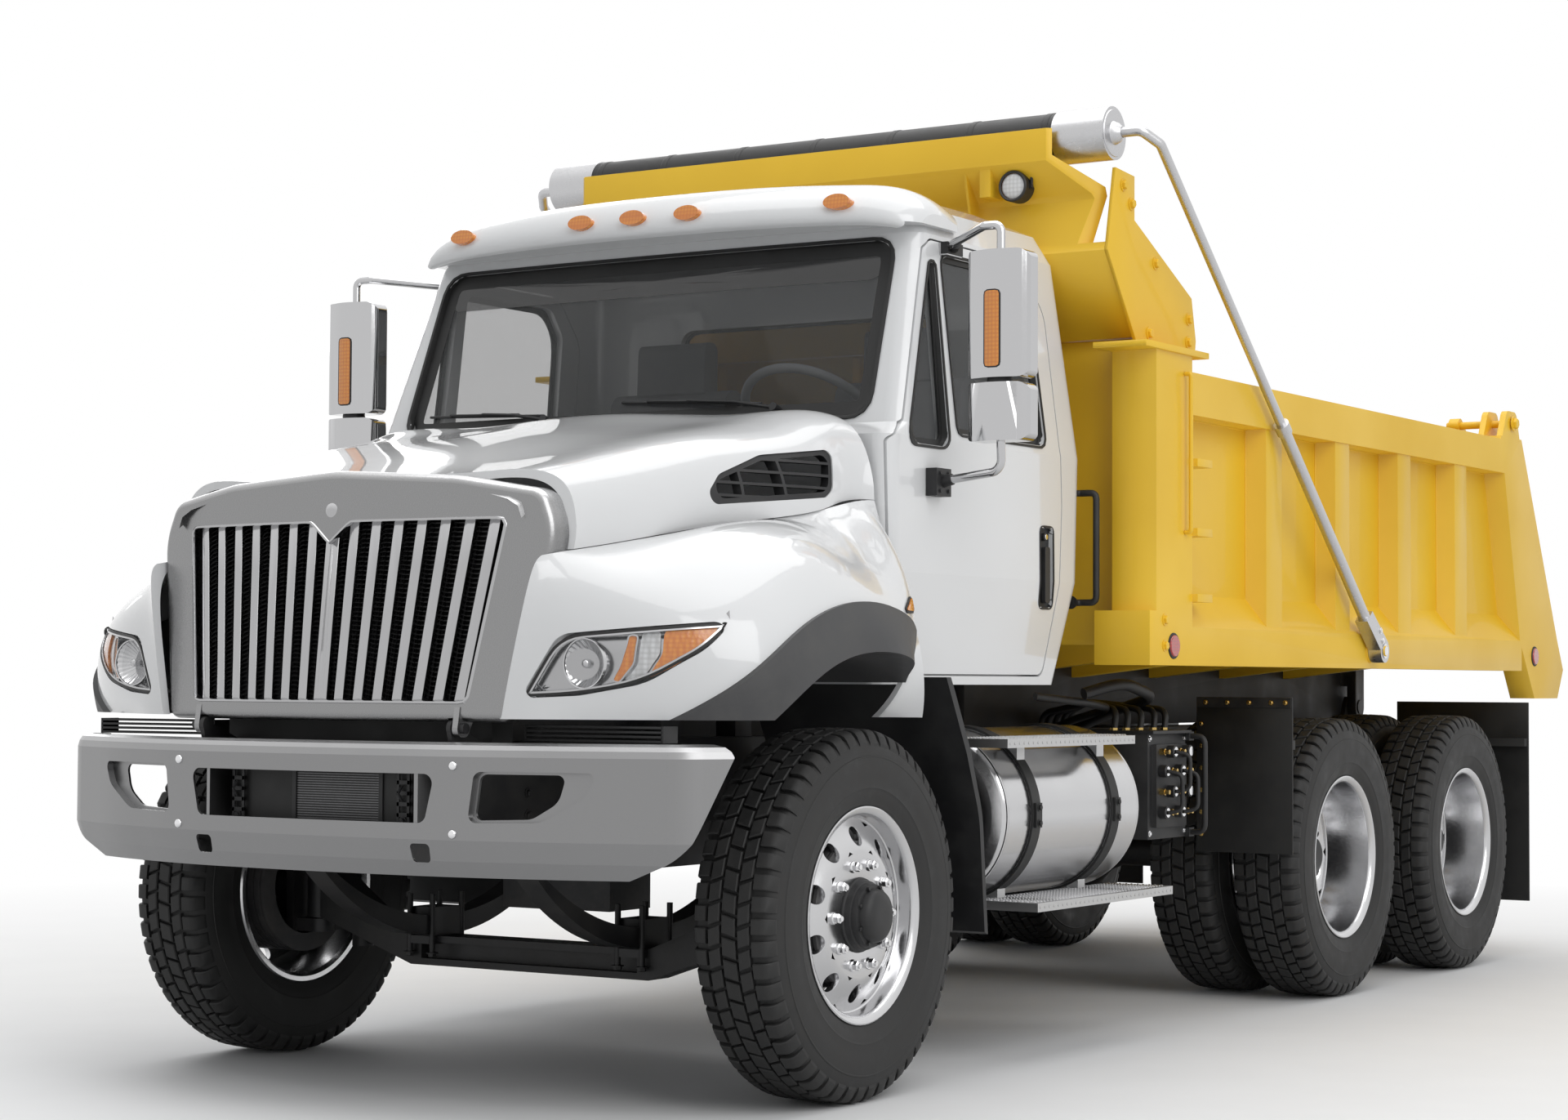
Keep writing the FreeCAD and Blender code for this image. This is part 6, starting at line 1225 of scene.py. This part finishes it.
def make_tank_details():
    """Black strap bands, filler caps, weld seams and drain plugs on both sides."""
    middle = (TANK_X, 0, TANK_Z)
    bands, seams = [], []
    for y in (1.010, 1.560):
        bands.append(lathe([(y - 0.002, 0.2660), (y - 0.002, 0.2745), (y + 0.052, 0.2745), (y + 0.052, 0.2660)],
                           "y", middle, 96, closed=True))
        bands.append(block(1.118, 1.142, y + 0.006, y + 0.044, 0.722, 0.798))
        for z in (0.736, 0.784):
            bands.append(hex_bolt((1.142, y + 0.025, z), (1, 0, 0), 0.018, 0.008))
    caps = [lathe([(1.060, 0.030), (1.062, 0.049), (1.066, 0.052), (1.090, 0.052), (1.096, 0.046), (1.098, 0.020),
                   (1.098, 0.0001)], "z", (TANK_X, 0.920, 0), 24),
            block(TANK_X - 0.040, TANK_X + 0.040, 0.914, 0.926, 1.094, 1.106)]
    for y in (0.864, 1.766):
        seams.append(lathe([(y - 0.006, 0.2648), (y - 0.003, 0.2662), (y + 0.003, 0.2662), (y + 0.006, 0.2648)],
                           "y", middle, 96))
    seams.append(rod((TANK_X, 1.300, 0.482), (TANK_X, 1.300, 0.499), 0.018, 18))
    piece("strap_bands", "chassis", "seal_black", [both(bands)], 0.0015)
    piece("tank_caps", "chassis", "rod_chrome", [both(caps)], 0.002)
    piece("tank_seams", "chassis", "polished_aluminium", [both(seams)])


def hose(points, radius, bend=0.05):
    """A round hose through points, with its bends rounded."""
    return tube(rounded_path(points, bend), radius, 12)


VALVE_FACE = 1.068
VALVE_ROWS = (0.730, 0.800, 0.870, 0.935)
VALVE_COLUMNS = (2.062, 2.125, 2.188, 2.248)


def make_valve_details():
    """Valves, gauges, brass fittings and air hoses on the box behind the left tank."""
    face = VALVE_FACE
    brass, black, bright = [], [], []
    for row, z in enumerate(VALVE_ROWS):
        for column, y in enumerate(VALVE_COLUMNS):
            if (row + column) % 2:
                brass.append(rod((face, y, z), (face + 0.018, y, z), 0.012, 6))
                brass.append(rod((face + 0.018, y, z), (face + 0.034, y, z), 0.008, 14))
            else:
                black.append(rod((face, y, z), (face + 0.026, y, z), 0.021, 24))
                bright.append(rod((face + 0.026, y, z), (face + 0.029, y, z), 0.016, 24))
    for k, y in enumerate(VALVE_COLUMNS[:3]):
        low, high = (VALVE_ROWS[1], VALVE_ROWS[3]) if k % 2 else (VALVE_ROWS[0], VALVE_ROWS[2])
        black.append(hose([(face + 0.030, y, low), (face + 0.075, y + 0.012, low + 0.01),
                           (face + 0.075, y + 0.012, high - 0.01), (face + 0.030, y, high)], 0.007, 0.025))
    for k, y in enumerate((2.05, 2.10, 2.16, 2.22, 2.26)):
        x = 0.900 + k * 0.022
        black.append(hose([(x, y, 0.998), (x, y + 0.02, 1.075), (0.760 - k * 0.03, y + 0.12, 1.100),
                           (0.500, y + 0.25, 1.060), (0.445, y + 0.32, 0.960)], 0.011))
        brass.append(rod((x, y, 0.998), (x, y, 1.014), 0.015, 6))
    guard_x, guard_y, low, high = 1.115, 2.318, 0.655, 0.985
    black.append(tube(rounded_path([(1.052, guard_y, high), (guard_x, guard_y, high), (guard_x, guard_y, low),
                                    (1.052, guard_y, low)], 0.04), 0.010, 12))
    for z in (low, high):
        black.append(block(1.050, 1.066, guard_y - 0.022, guard_y + 0.018, z - 0.015, z + 0.015))
    black.append(block(0.735, 1.072, 1.996, 2.304, 0.996, 1.006))
    bright += [hex_bolt((1.0502, y, z), (1, 0, 0), 0.014, 0.006) for y in (2.012, 2.288) for z in (0.66, 0.98)]
    piece("valve_fittings", "chassis", "brass", brass)
    piece("valve_hoses", "chassis", "black_plastic", black)
    piece("valve_dials", "chassis", "rod_chrome", bright)


FRONT_FLAP_Y = 2.850
REAR_FLAP_Y = 5.466


def make_flap_details():
    """Brass-coloured bolts along the tops and inner edges of the mudflaps, with their clamp bars."""
    front, rear = FRONT_FLAP_Y, REAR_FLAP_Y
    bolts = [hex_bolt((x, front - 0.003, 1.098), (0, -1, 0), 0.014, 0.006)
             for x in (0.880, 0.965, 1.050, 1.135, 1.190)]
    bolts += [hex_bolt((0.862, front - 0.0005, z), (0, -1, 0), 0.012, 0.005)
              for z in (1.02, 0.94, 0.86, 0.78, 0.70, 0.62)]
    bolts += [hex_bolt((x, rear + 0.013, 1.072), (0, 1, 0), 0.014, 0.006) for x in (0.70, 0.86, 1.02, 1.17)]
    bars = [block(0.846, 1.212, front - 0.0035, front - 0.0002, 1.080, 1.115),
            block(0.624, 1.212, rear + 0.0102, rear + 0.0135, 1.055, 1.088)]
    piece("flap_bolts", "chassis", "brass", [both(bolts)])
    piece("flap_bars", "chassis", "frame_black", [both(bars)], 0.001)


FRAME_BOLT_X = 0.4325
FRAME_BOLT_STATIONS = (-0.62, -0.36, 0.62, 1.02, 1.06, 1.57, 1.61, 2.02, 2.40, 2.78, 3.10, 3.24, 3.64, 3.80, 4.10,
                       4.42, 4.60, 4.96, 5.20)

# Each hose from the cab to the frame: its radius and its points
AIR_HOSES = ((0.020, [(0.90, 1.82, 1.13), (0.98, 1.95, 1.17), (0.98, 2.20, 1.12), (0.70, 2.36, 1.05),
                      (0.46, 2.45, 0.96)]),
             (0.014, [(0.80, 1.66, 1.12), (0.90, 1.85, 1.10), (0.86, 2.10, 1.08), (0.60, 2.30, 1.03),
                      (0.46, 2.36, 0.98)]))


def make_frame_details():
    """Rows of frame bolts, air lines along the left rail, hoses to the cab, and slats over the bumper."""
    bolts = [hex_bolt((FRAME_BOLT_X, y, z), (1, 0, 0), 0.020, 0.010)
             for y in FRAME_BOLT_STATIONS for z in (0.80, 0.86, 0.93)]
    lines = []
    stations = [0.70 + 0.17 * i for i in range(27)]
    for k, (radius, z) in enumerate(((0.011, 0.965), (0.008, 0.945), (0.014, 0.915))):
        lines.append(tube([(0.452 + k * 0.004, y, z + 0.006 * math.sin(y * 3 + k)) for y in stations], radius, 8))
    lines += [hose(points, radius, 0.08) for radius, points in AIR_HOSES]
    slats = [block(0.56, 1.000, -0.800, -0.735, z - 0.003, z + 0.003) for z in (1.010, 1.022, 1.034, 1.046)]
    slats += [block(x, x + 0.007, -0.800, -0.735, 1.006, 1.050) for x in (0.555, 0.998)]
    piece("frame_bolts", "chassis", "frame_black", [both(bolts)])
    piece("air_lines", "chassis", "black_plastic", lines)
    piece("bumper_slats", "chassis", "black_plastic", [both(slats)])


def make_axle_details():
    """Brake chambers ahead of the drive axles, and the front springs' U-bolts with their nuts."""
    chambers, bolts = [], []
    for _, axle_y in REAR_AXLES:
        y = axle_y - 0.19
        chambers.append(lathe([(y - 0.10, 0.0001), (y - 0.10, 0.055), (y - 0.085, 0.072), (y - 0.02, 0.075),
                               (y - 0.016, 0.083), (y - 0.002, 0.083), (y + 0.002, 0.075), (y + 0.055, 0.070),
                               (y + 0.075, 0.050), (y + 0.080, 0.018), (y + 0.13, 0.018), (y + 0.13, 0.0001)], "y",
                              (0.30, 0, 0.62), 32))
    for y in (-0.07, 0.07):
        for x in (0.344, 0.430):
            bolts.append(rod((x, y, 0.330), (x, y, 0.520), 0.009, 12))
            bolts.append(hex_bolt((x, y, 0.3440), (0, 0, -1), 0.026, 0.014))
    piece("brake_chambers", "chassis", "frame_black", [both(chambers)])
    piece("axle_bolts", "chassis", "frame_black", [both(bolts)])


# Dump body details

# The rear posts' back edge at its top and its foot, as (station, height)
POST_TOP = (5.388, 2.205)
POST_FOOT = (5.855, 1.360)
WALL_X = 1.131
WALL_TOP = 2.064
RIBS = (2.630, 3.275, 3.920, 4.565)
RIB_WIDTH = 0.140
SHIELD_LAMP_X = 0.8
SHIELD_LAMP_Z = 2.8
ROLL_Y = 1.600
ROLL_Z = 2.962


def rear_post_back(z):
    """The leaning rear edge of the rear posts at a height."""
    span = (POST_TOP[1] - z) / (POST_TOP[1] - POST_FOOT[1])
    return POST_TOP[0] + (POST_FOOT[0] - POST_TOP[0]) * span


def make_body_bolts():
    """Bolts of the cab shield's gussets, of the front posts' feet and of the tailgate's upper pins."""
    bolts = [hex_bolt((1.1242, y, z), (1, 0, 0), 0.030, 0.014) for y, z in
             ((1.655, 2.800), (1.715, 2.745), (1.900, 2.570), (2.165, 2.410), (1.850, 2.330), (2.160, 2.330))]
    bolts += [hex_bolt((1.2203, 1.770, z), (1, 0, 0), 0.028, 0.012) for z in (1.375, 1.290)]
    bolts.append(hex_bolt((1.2283, 5.250, 2.282), (1, 0, 0), 0.046, 0.020))
    piece("body_bolts", "dump_bed", "body_yellow", [both(bolts)])


def make_ladder_rod():
    """The ladder's upright rod, on the left front post."""
    post_x, rod_x, y, low, high = 1.222, 1.243, 1.925, 1.668, 2.196
    path = rounded_path([(post_x, y, high), (rod_x, y, high), (rod_x, y, low), (post_x, y, low)], 0.014)
    piece("ladder_rod", "dump_bed", "body_yellow", [tube(path, 0.0075, 12)])


def make_weld_beads():
    """Beads up both sides of each rib and along the wall's top rail."""
    beads = []
    for y in RIBS:
        for edge in (y, y + RIB_WIDTH):
            beads.append(tube([(WALL_X, edge, z) for z in (1.48, 1.62, 1.76, 1.90, WALL_TOP)], 0.0035, 6))
    beads.append(tube([(WALL_X, y, WALL_TOP - 0.0005) for y in (1.99, 3.2, 4.4, 5.15)], 0.0035, 6))
    piece("weld_beads", "dump_bed", "body_yellow", [both(beads)])


def make_shield_lamp():
    """The work lamp under the cab shield: its bezel, its yoke with one bolt, and its lens."""
    x, y, z = SHIELD_LAMP_X, 1.524, SHIELD_LAMP_Z
    bezel = lathe([(1.552, 0.0425), (1.552, 0.051), (1.494, 0.052), (1.490, 0.048), (1.494, 0.0425)], "y",
                  (x, 0, z), 48)
    face = lathe([(1.4985, 0.0425), (1.4930, 0.034), (1.4905, 0.018), (1.4900, 0.0001)], "y", (x, 0, z), 48)
    yoke = tube(rounded_path([(x - 0.055, y, z), (x - 0.055, y, z + 0.066), (x + 0.055, y, z + 0.066),
                              (x + 0.055, y, z)], 0.014), 0.005, 8)
    bolt = hex_bolt((x + 0.051, y, z), (1, 0, 0), 0.016, 0.008)
    piece("shield_lamp_bezel", "dump_bed", "black_plastic", [bezel, yoke, bolt])
    piece("shield_lamp_lens", "dump_bed", "clear_lens", [face])


def make_rear_lamps():
    """Two round red lamps and one clear one on each rear post, in rubber grommets, square to its lean."""
    lean = math.atan2(POST_FOOT[0] - POST_TOP[0], POST_TOP[1] - POST_FOOT[1])
    normal = Vector((0, math.cos(lean), math.sin(lean)))
    grommets, reds, clears = [], [], []
    for z, group in ((1.700, reds), (1.560, reds), (1.420, clears)):
        at = Vector((1.166, rear_post_back(z), z))
        grommets.append(rod(at - normal * 0.010, at + normal * 0.006, 0.052, 40, 0.050))
        group.append(rod(at - normal * 0.008, at + normal * 0.010, 0.043, 40, 0.039))
        group.append(rod(at + normal * 0.010, at + normal * 0.012, 0.039, 40, 0.026))
    for tag, slot, parts in (("grommets", "black_plastic", grommets), ("red", "red_lens", reds),
                             ("clear", "clear_lens", clears)):
        piece("rear_lamp_" + tag, "dump_bed", slot, [both(parts)])


def make_tailgate_pads():
    """Three small pads across the tailgate's back."""
    low, high = 1.700, 1.705
    pads = [block(x - 0.018, x + 0.018, rear_post_back(high) + 0.004, rear_post_back(low) + 0.008, low, high + 0.03)
            for x in (-0.700, 0.0, 0.700)]
    piece("tailgate_pads", "tailgate", "body_yellow", pads, 0.002)


def make_tarp_details():
    """The tarp's seams and loose edge, the roll's end hubs, and the nuts at the arms' pivots."""
    seams = [lathe([(x - 0.012, 0.0845), (x - 0.010, 0.0858), (x + 0.010, 0.0858), (x + 0.012, 0.0845)], "x",
                   (0, ROLL_Y, ROLL_Z), 64) for x in (-0.90, -0.62, -0.31, 0.0, 0.31, 0.62, 0.90)]
    seams.append(tube([(x, ROLL_Y + 0.058, ROLL_Z + 0.064) for x in (-0.92, 0.0, 0.92)], 0.0045, 8))
    hub = lathe([(1.118, 0.078), (1.121, 0.076), (1.121, 0.040), (1.128, 0.036), (1.140, 0.030), (1.150, 0.018)],
                "x", (0, ROLL_Y, ROLL_Z), 48)
    nuts = [hex_bolt((1.2810, 3.596, 1.292), (1, 0, 0), 0.040, 0.006)]
    nuts += [hex_bolt((1.2803, y, z), (1, 0, 0), 0.018, 0.005) for y, z in ((3.575, 1.330), (3.552, 1.368))]
    piece("tarp_wraps", "tarp_arm", "tarp_vinyl", seams)
    piece("tarp_hubs", "tarp_arm", "arm_grey", [both([hub])])
    piece("tarp_nuts", "tarp_arm", "rod_chrome", [both(nuts)])


def make_hood_apron():
    """The silver apron that closes the step between the grille surround and the hood's front edge."""
    half = [(0.0, 1.707), (0.20, 1.703), (0.40, 1.690), (0.50, 1.678), (0.565, 1.662), (0.600, 1.642),
            (0.612, 1.610)]
    section = [(-x, z) for x, z in reversed(half[1:])] + half
    stations = ((-0.895, 0.016), (-0.880, 0.006), (-0.800, 0.0))
    verts = [(x, y, z - drop) for y, drop in stations for x, z in section]
    apron = (verts, sheet_faces(len(stations), len(section), closed=False))
    piece("hood_apron", "hood", "grille_silver", [apron], angle=60)


# Studio

CAMERA_PLACE = (5.3626, -9.5544, 1.1728)
CAMERA_YAW = 0.5648
CAMERA_PITCH = 0.0403
CAMERA_ROLL = 0.0051
CAMERA_LENS = 68.04
FLOOR_WHITE = 0.86
FADE_FROM = 3.0
FADE_TO = 7.5
FLOOR_REACH = 60
WORLD_LIGHT = 0.42

# Each lamp's place, the point it faces, its two sides and its power in watts
LAMPS = {"key_lamp": ((10, -5, 8), (0, 0, 1), (9, 9), 600), "roof_lamp": ((0, 0, 10), (0, 0, 0), (9, 12), 560),
         "rim_lamp": ((-8, 4, 6), (0, 0, 1), (6, 6), 150)}


def make_camera():
    """The camera at the photograph's place, fitted to the truck's own stations."""
    data = bpy.data.cameras.new("studio_camera")
    data.sensor_width = 36
    data.lens = CAMERA_LENS
    data.clip_end = 200
    camera = bpy.data.objects.new("studio_camera", data)
    forward = Vector((-math.sin(CAMERA_YAW) * math.cos(CAMERA_PITCH),
                      math.cos(CAMERA_YAW) * math.cos(CAMERA_PITCH), math.sin(CAMERA_PITCH)))
    right = Vector((math.cos(CAMERA_YAW), math.sin(CAMERA_YAW), 0))
    up = right.cross(forward)
    rolled_right = right * math.cos(CAMERA_ROLL) + up * math.sin(CAMERA_ROLL)
    rolled_up = up * math.cos(CAMERA_ROLL) - right * math.sin(CAMERA_ROLL)
    turn = Matrix((rolled_right, rolled_up, -forward)).transposed()
    camera.matrix_world = Matrix.Translation(CAMERA_PLACE) @ turn.to_4x4()
    bpy.context.scene.collection.objects.link(camera)
    bpy.context.scene.camera = camera


def seen_rays(tree):
    """A node output that is 1 for the rays that see or mirror a surface, and 0 for those that carry its light."""
    path = tree.nodes.new("ShaderNodeLightPath")
    seen = path.outputs["Is Camera Ray"]
    for kind in ("Is Glossy Ray", "Is Transmission Ray"):
        either = tree.nodes.new("ShaderNodeMath")
        either.operation = "MAXIMUM"
        tree.links.new(seen, either.inputs[0])
        tree.links.new(path.outputs[kind], either.inputs[1])
        seen = either.outputs[0]
    return seen


def make_world():
    """White where it is seen or mirrored, and a plain soft light on everything else."""
    world = bpy.data.worlds.new("studio_world")
    bpy.context.scene.world = world
    world.use_nodes = True
    tree = world.node_tree
    tree.nodes.clear()
    output = tree.nodes.new("ShaderNodeOutputWorld")
    mix = tree.nodes.new("ShaderNodeMixShader")
    tree.links.new(seen_rays(tree), mix.inputs["Fac"])
    for slot, colour, strength in ((1, (0.96, 0.98, 1, 1), WORLD_LIGHT), (2, (1, 1, 1, 1), 1.0)):
        light = tree.nodes.new("ShaderNodeBackground")
        light.inputs["Color"].default_value = colour
        light.inputs["Strength"].default_value = strength
        tree.links.new(light.outputs[0], mix.inputs[slot])
    tree.links.new(mix.outputs[0], output.inputs["Surface"])


def make_lamp(name, place, aim, size, power):
    """A soft rectangular lamp that faces a point."""
    data = bpy.data.lights.new(name, "AREA")
    data.shape = "RECTANGLE"
    data.size, data.size_y = size
    data.energy = power
    lamp = bpy.data.objects.new(name, data)
    lamp.location = place
    lamp.rotation_mode = "QUATERNION"
    lamp.rotation_quaternion = (Vector(aim) - Vector(place)).to_track_quat("-Z", "Y")
    bpy.context.scene.collection.objects.link(lamp)


def fade_to_white(pale, shader):
    """Turns the floor white far from the truck, for the rays that see or mirror it, so that no horizon shows."""
    tree = pale.node_tree
    place = tree.nodes.new("ShaderNodeTexCoord")
    reach = tree.nodes.new("ShaderNodeVectorMath")
    reach.operation = "LENGTH"
    tree.links.new(place.outputs["Object"], reach.inputs[0])
    far = remap(pale, reach, "Value", 0, 1, FADE_FROM, FADE_TO)
    amount = tree.nodes.new("ShaderNodeMath")
    amount.operation = "MULTIPLY"
    tree.links.new(seen_rays(tree), amount.inputs[0])
    tree.links.new(far.outputs["Result"], amount.inputs[1])
    white = tree.nodes.new("ShaderNodeEmission")
    white.inputs["Color"].default_value = (1, 1, 1, 1)
    white.inputs["Strength"].default_value = 1.0
    mix = tree.nodes.new("ShaderNodeMixShader")
    tree.links.new(amount.outputs[0], mix.inputs["Fac"])
    tree.links.new(shader.outputs[0], mix.inputs[1])
    tree.links.new(white.outputs[0], mix.inputs[2])
    tree.links.new(mix.outputs[0], tree.nodes["Material Output"].inputs["Surface"])


def make_floor():
    """A large pale floor that turns white with distance, so that no edge shows."""
    made = bpy.data.meshes.new("studio_floor")
    corners = rectangle(-FLOOR_REACH, FLOOR_REACH, -FLOOR_REACH, FLOOR_REACH)
    made.from_pydata([(x, y, 0) for x, y in corners], [], [(0, 1, 2, 3)])
    floor = bpy.data.objects.new("studio_floor", made)
    bpy.context.scene.collection.objects.link(floor)
    pale, shader = material("studio_floor")
    grain = noise(pale, 0.4, detail=5)
    tone = remap(pale, grain, "Fac", 0, 1)
    colours = blend_colours(pale, tone, "Result", (FLOOR_WHITE,) * 3, (FLOOR_WHITE - 0.02,) * 3)
    join(pale, colours, "Result", shader, "Base Color")
    shader.inputs["Roughness"].default_value = 0.7
    fade_to_white(pale, shader)
    made.materials.append(pale)


def make_studio():
    """The camera, the world, the floor and the three lamps."""
    make_camera()
    make_world()
    make_floor()
    for name, values in LAMPS.items():
        make_lamp(name, *values)


def main():
    """Dresses every body in turn, then sets up the studio."""
    bpy.context.scene.view_settings.view_transform = "Standard"
    for make in (dress_cad_nodes, make_wheels, make_cab_glazing, make_wipers, make_door_details, make_grab_handles,
                 make_headlights, make_grille_fins, make_grille_screen, make_grille_boss, make_grille_rim,
                 make_hood_apron, make_bumper_bolts, make_cooler, make_marker_lamps, make_mirror_details,
                 make_tank_details, make_step_teeth, make_valve_details, make_flap_details, make_frame_details,
                 make_axle_details, make_body_bolts, make_ladder_rod, make_weld_beads, make_shield_lamp,
                 make_rear_lamps, make_tailgate_pads, make_tarp_details, make_studio):
        make()


main()
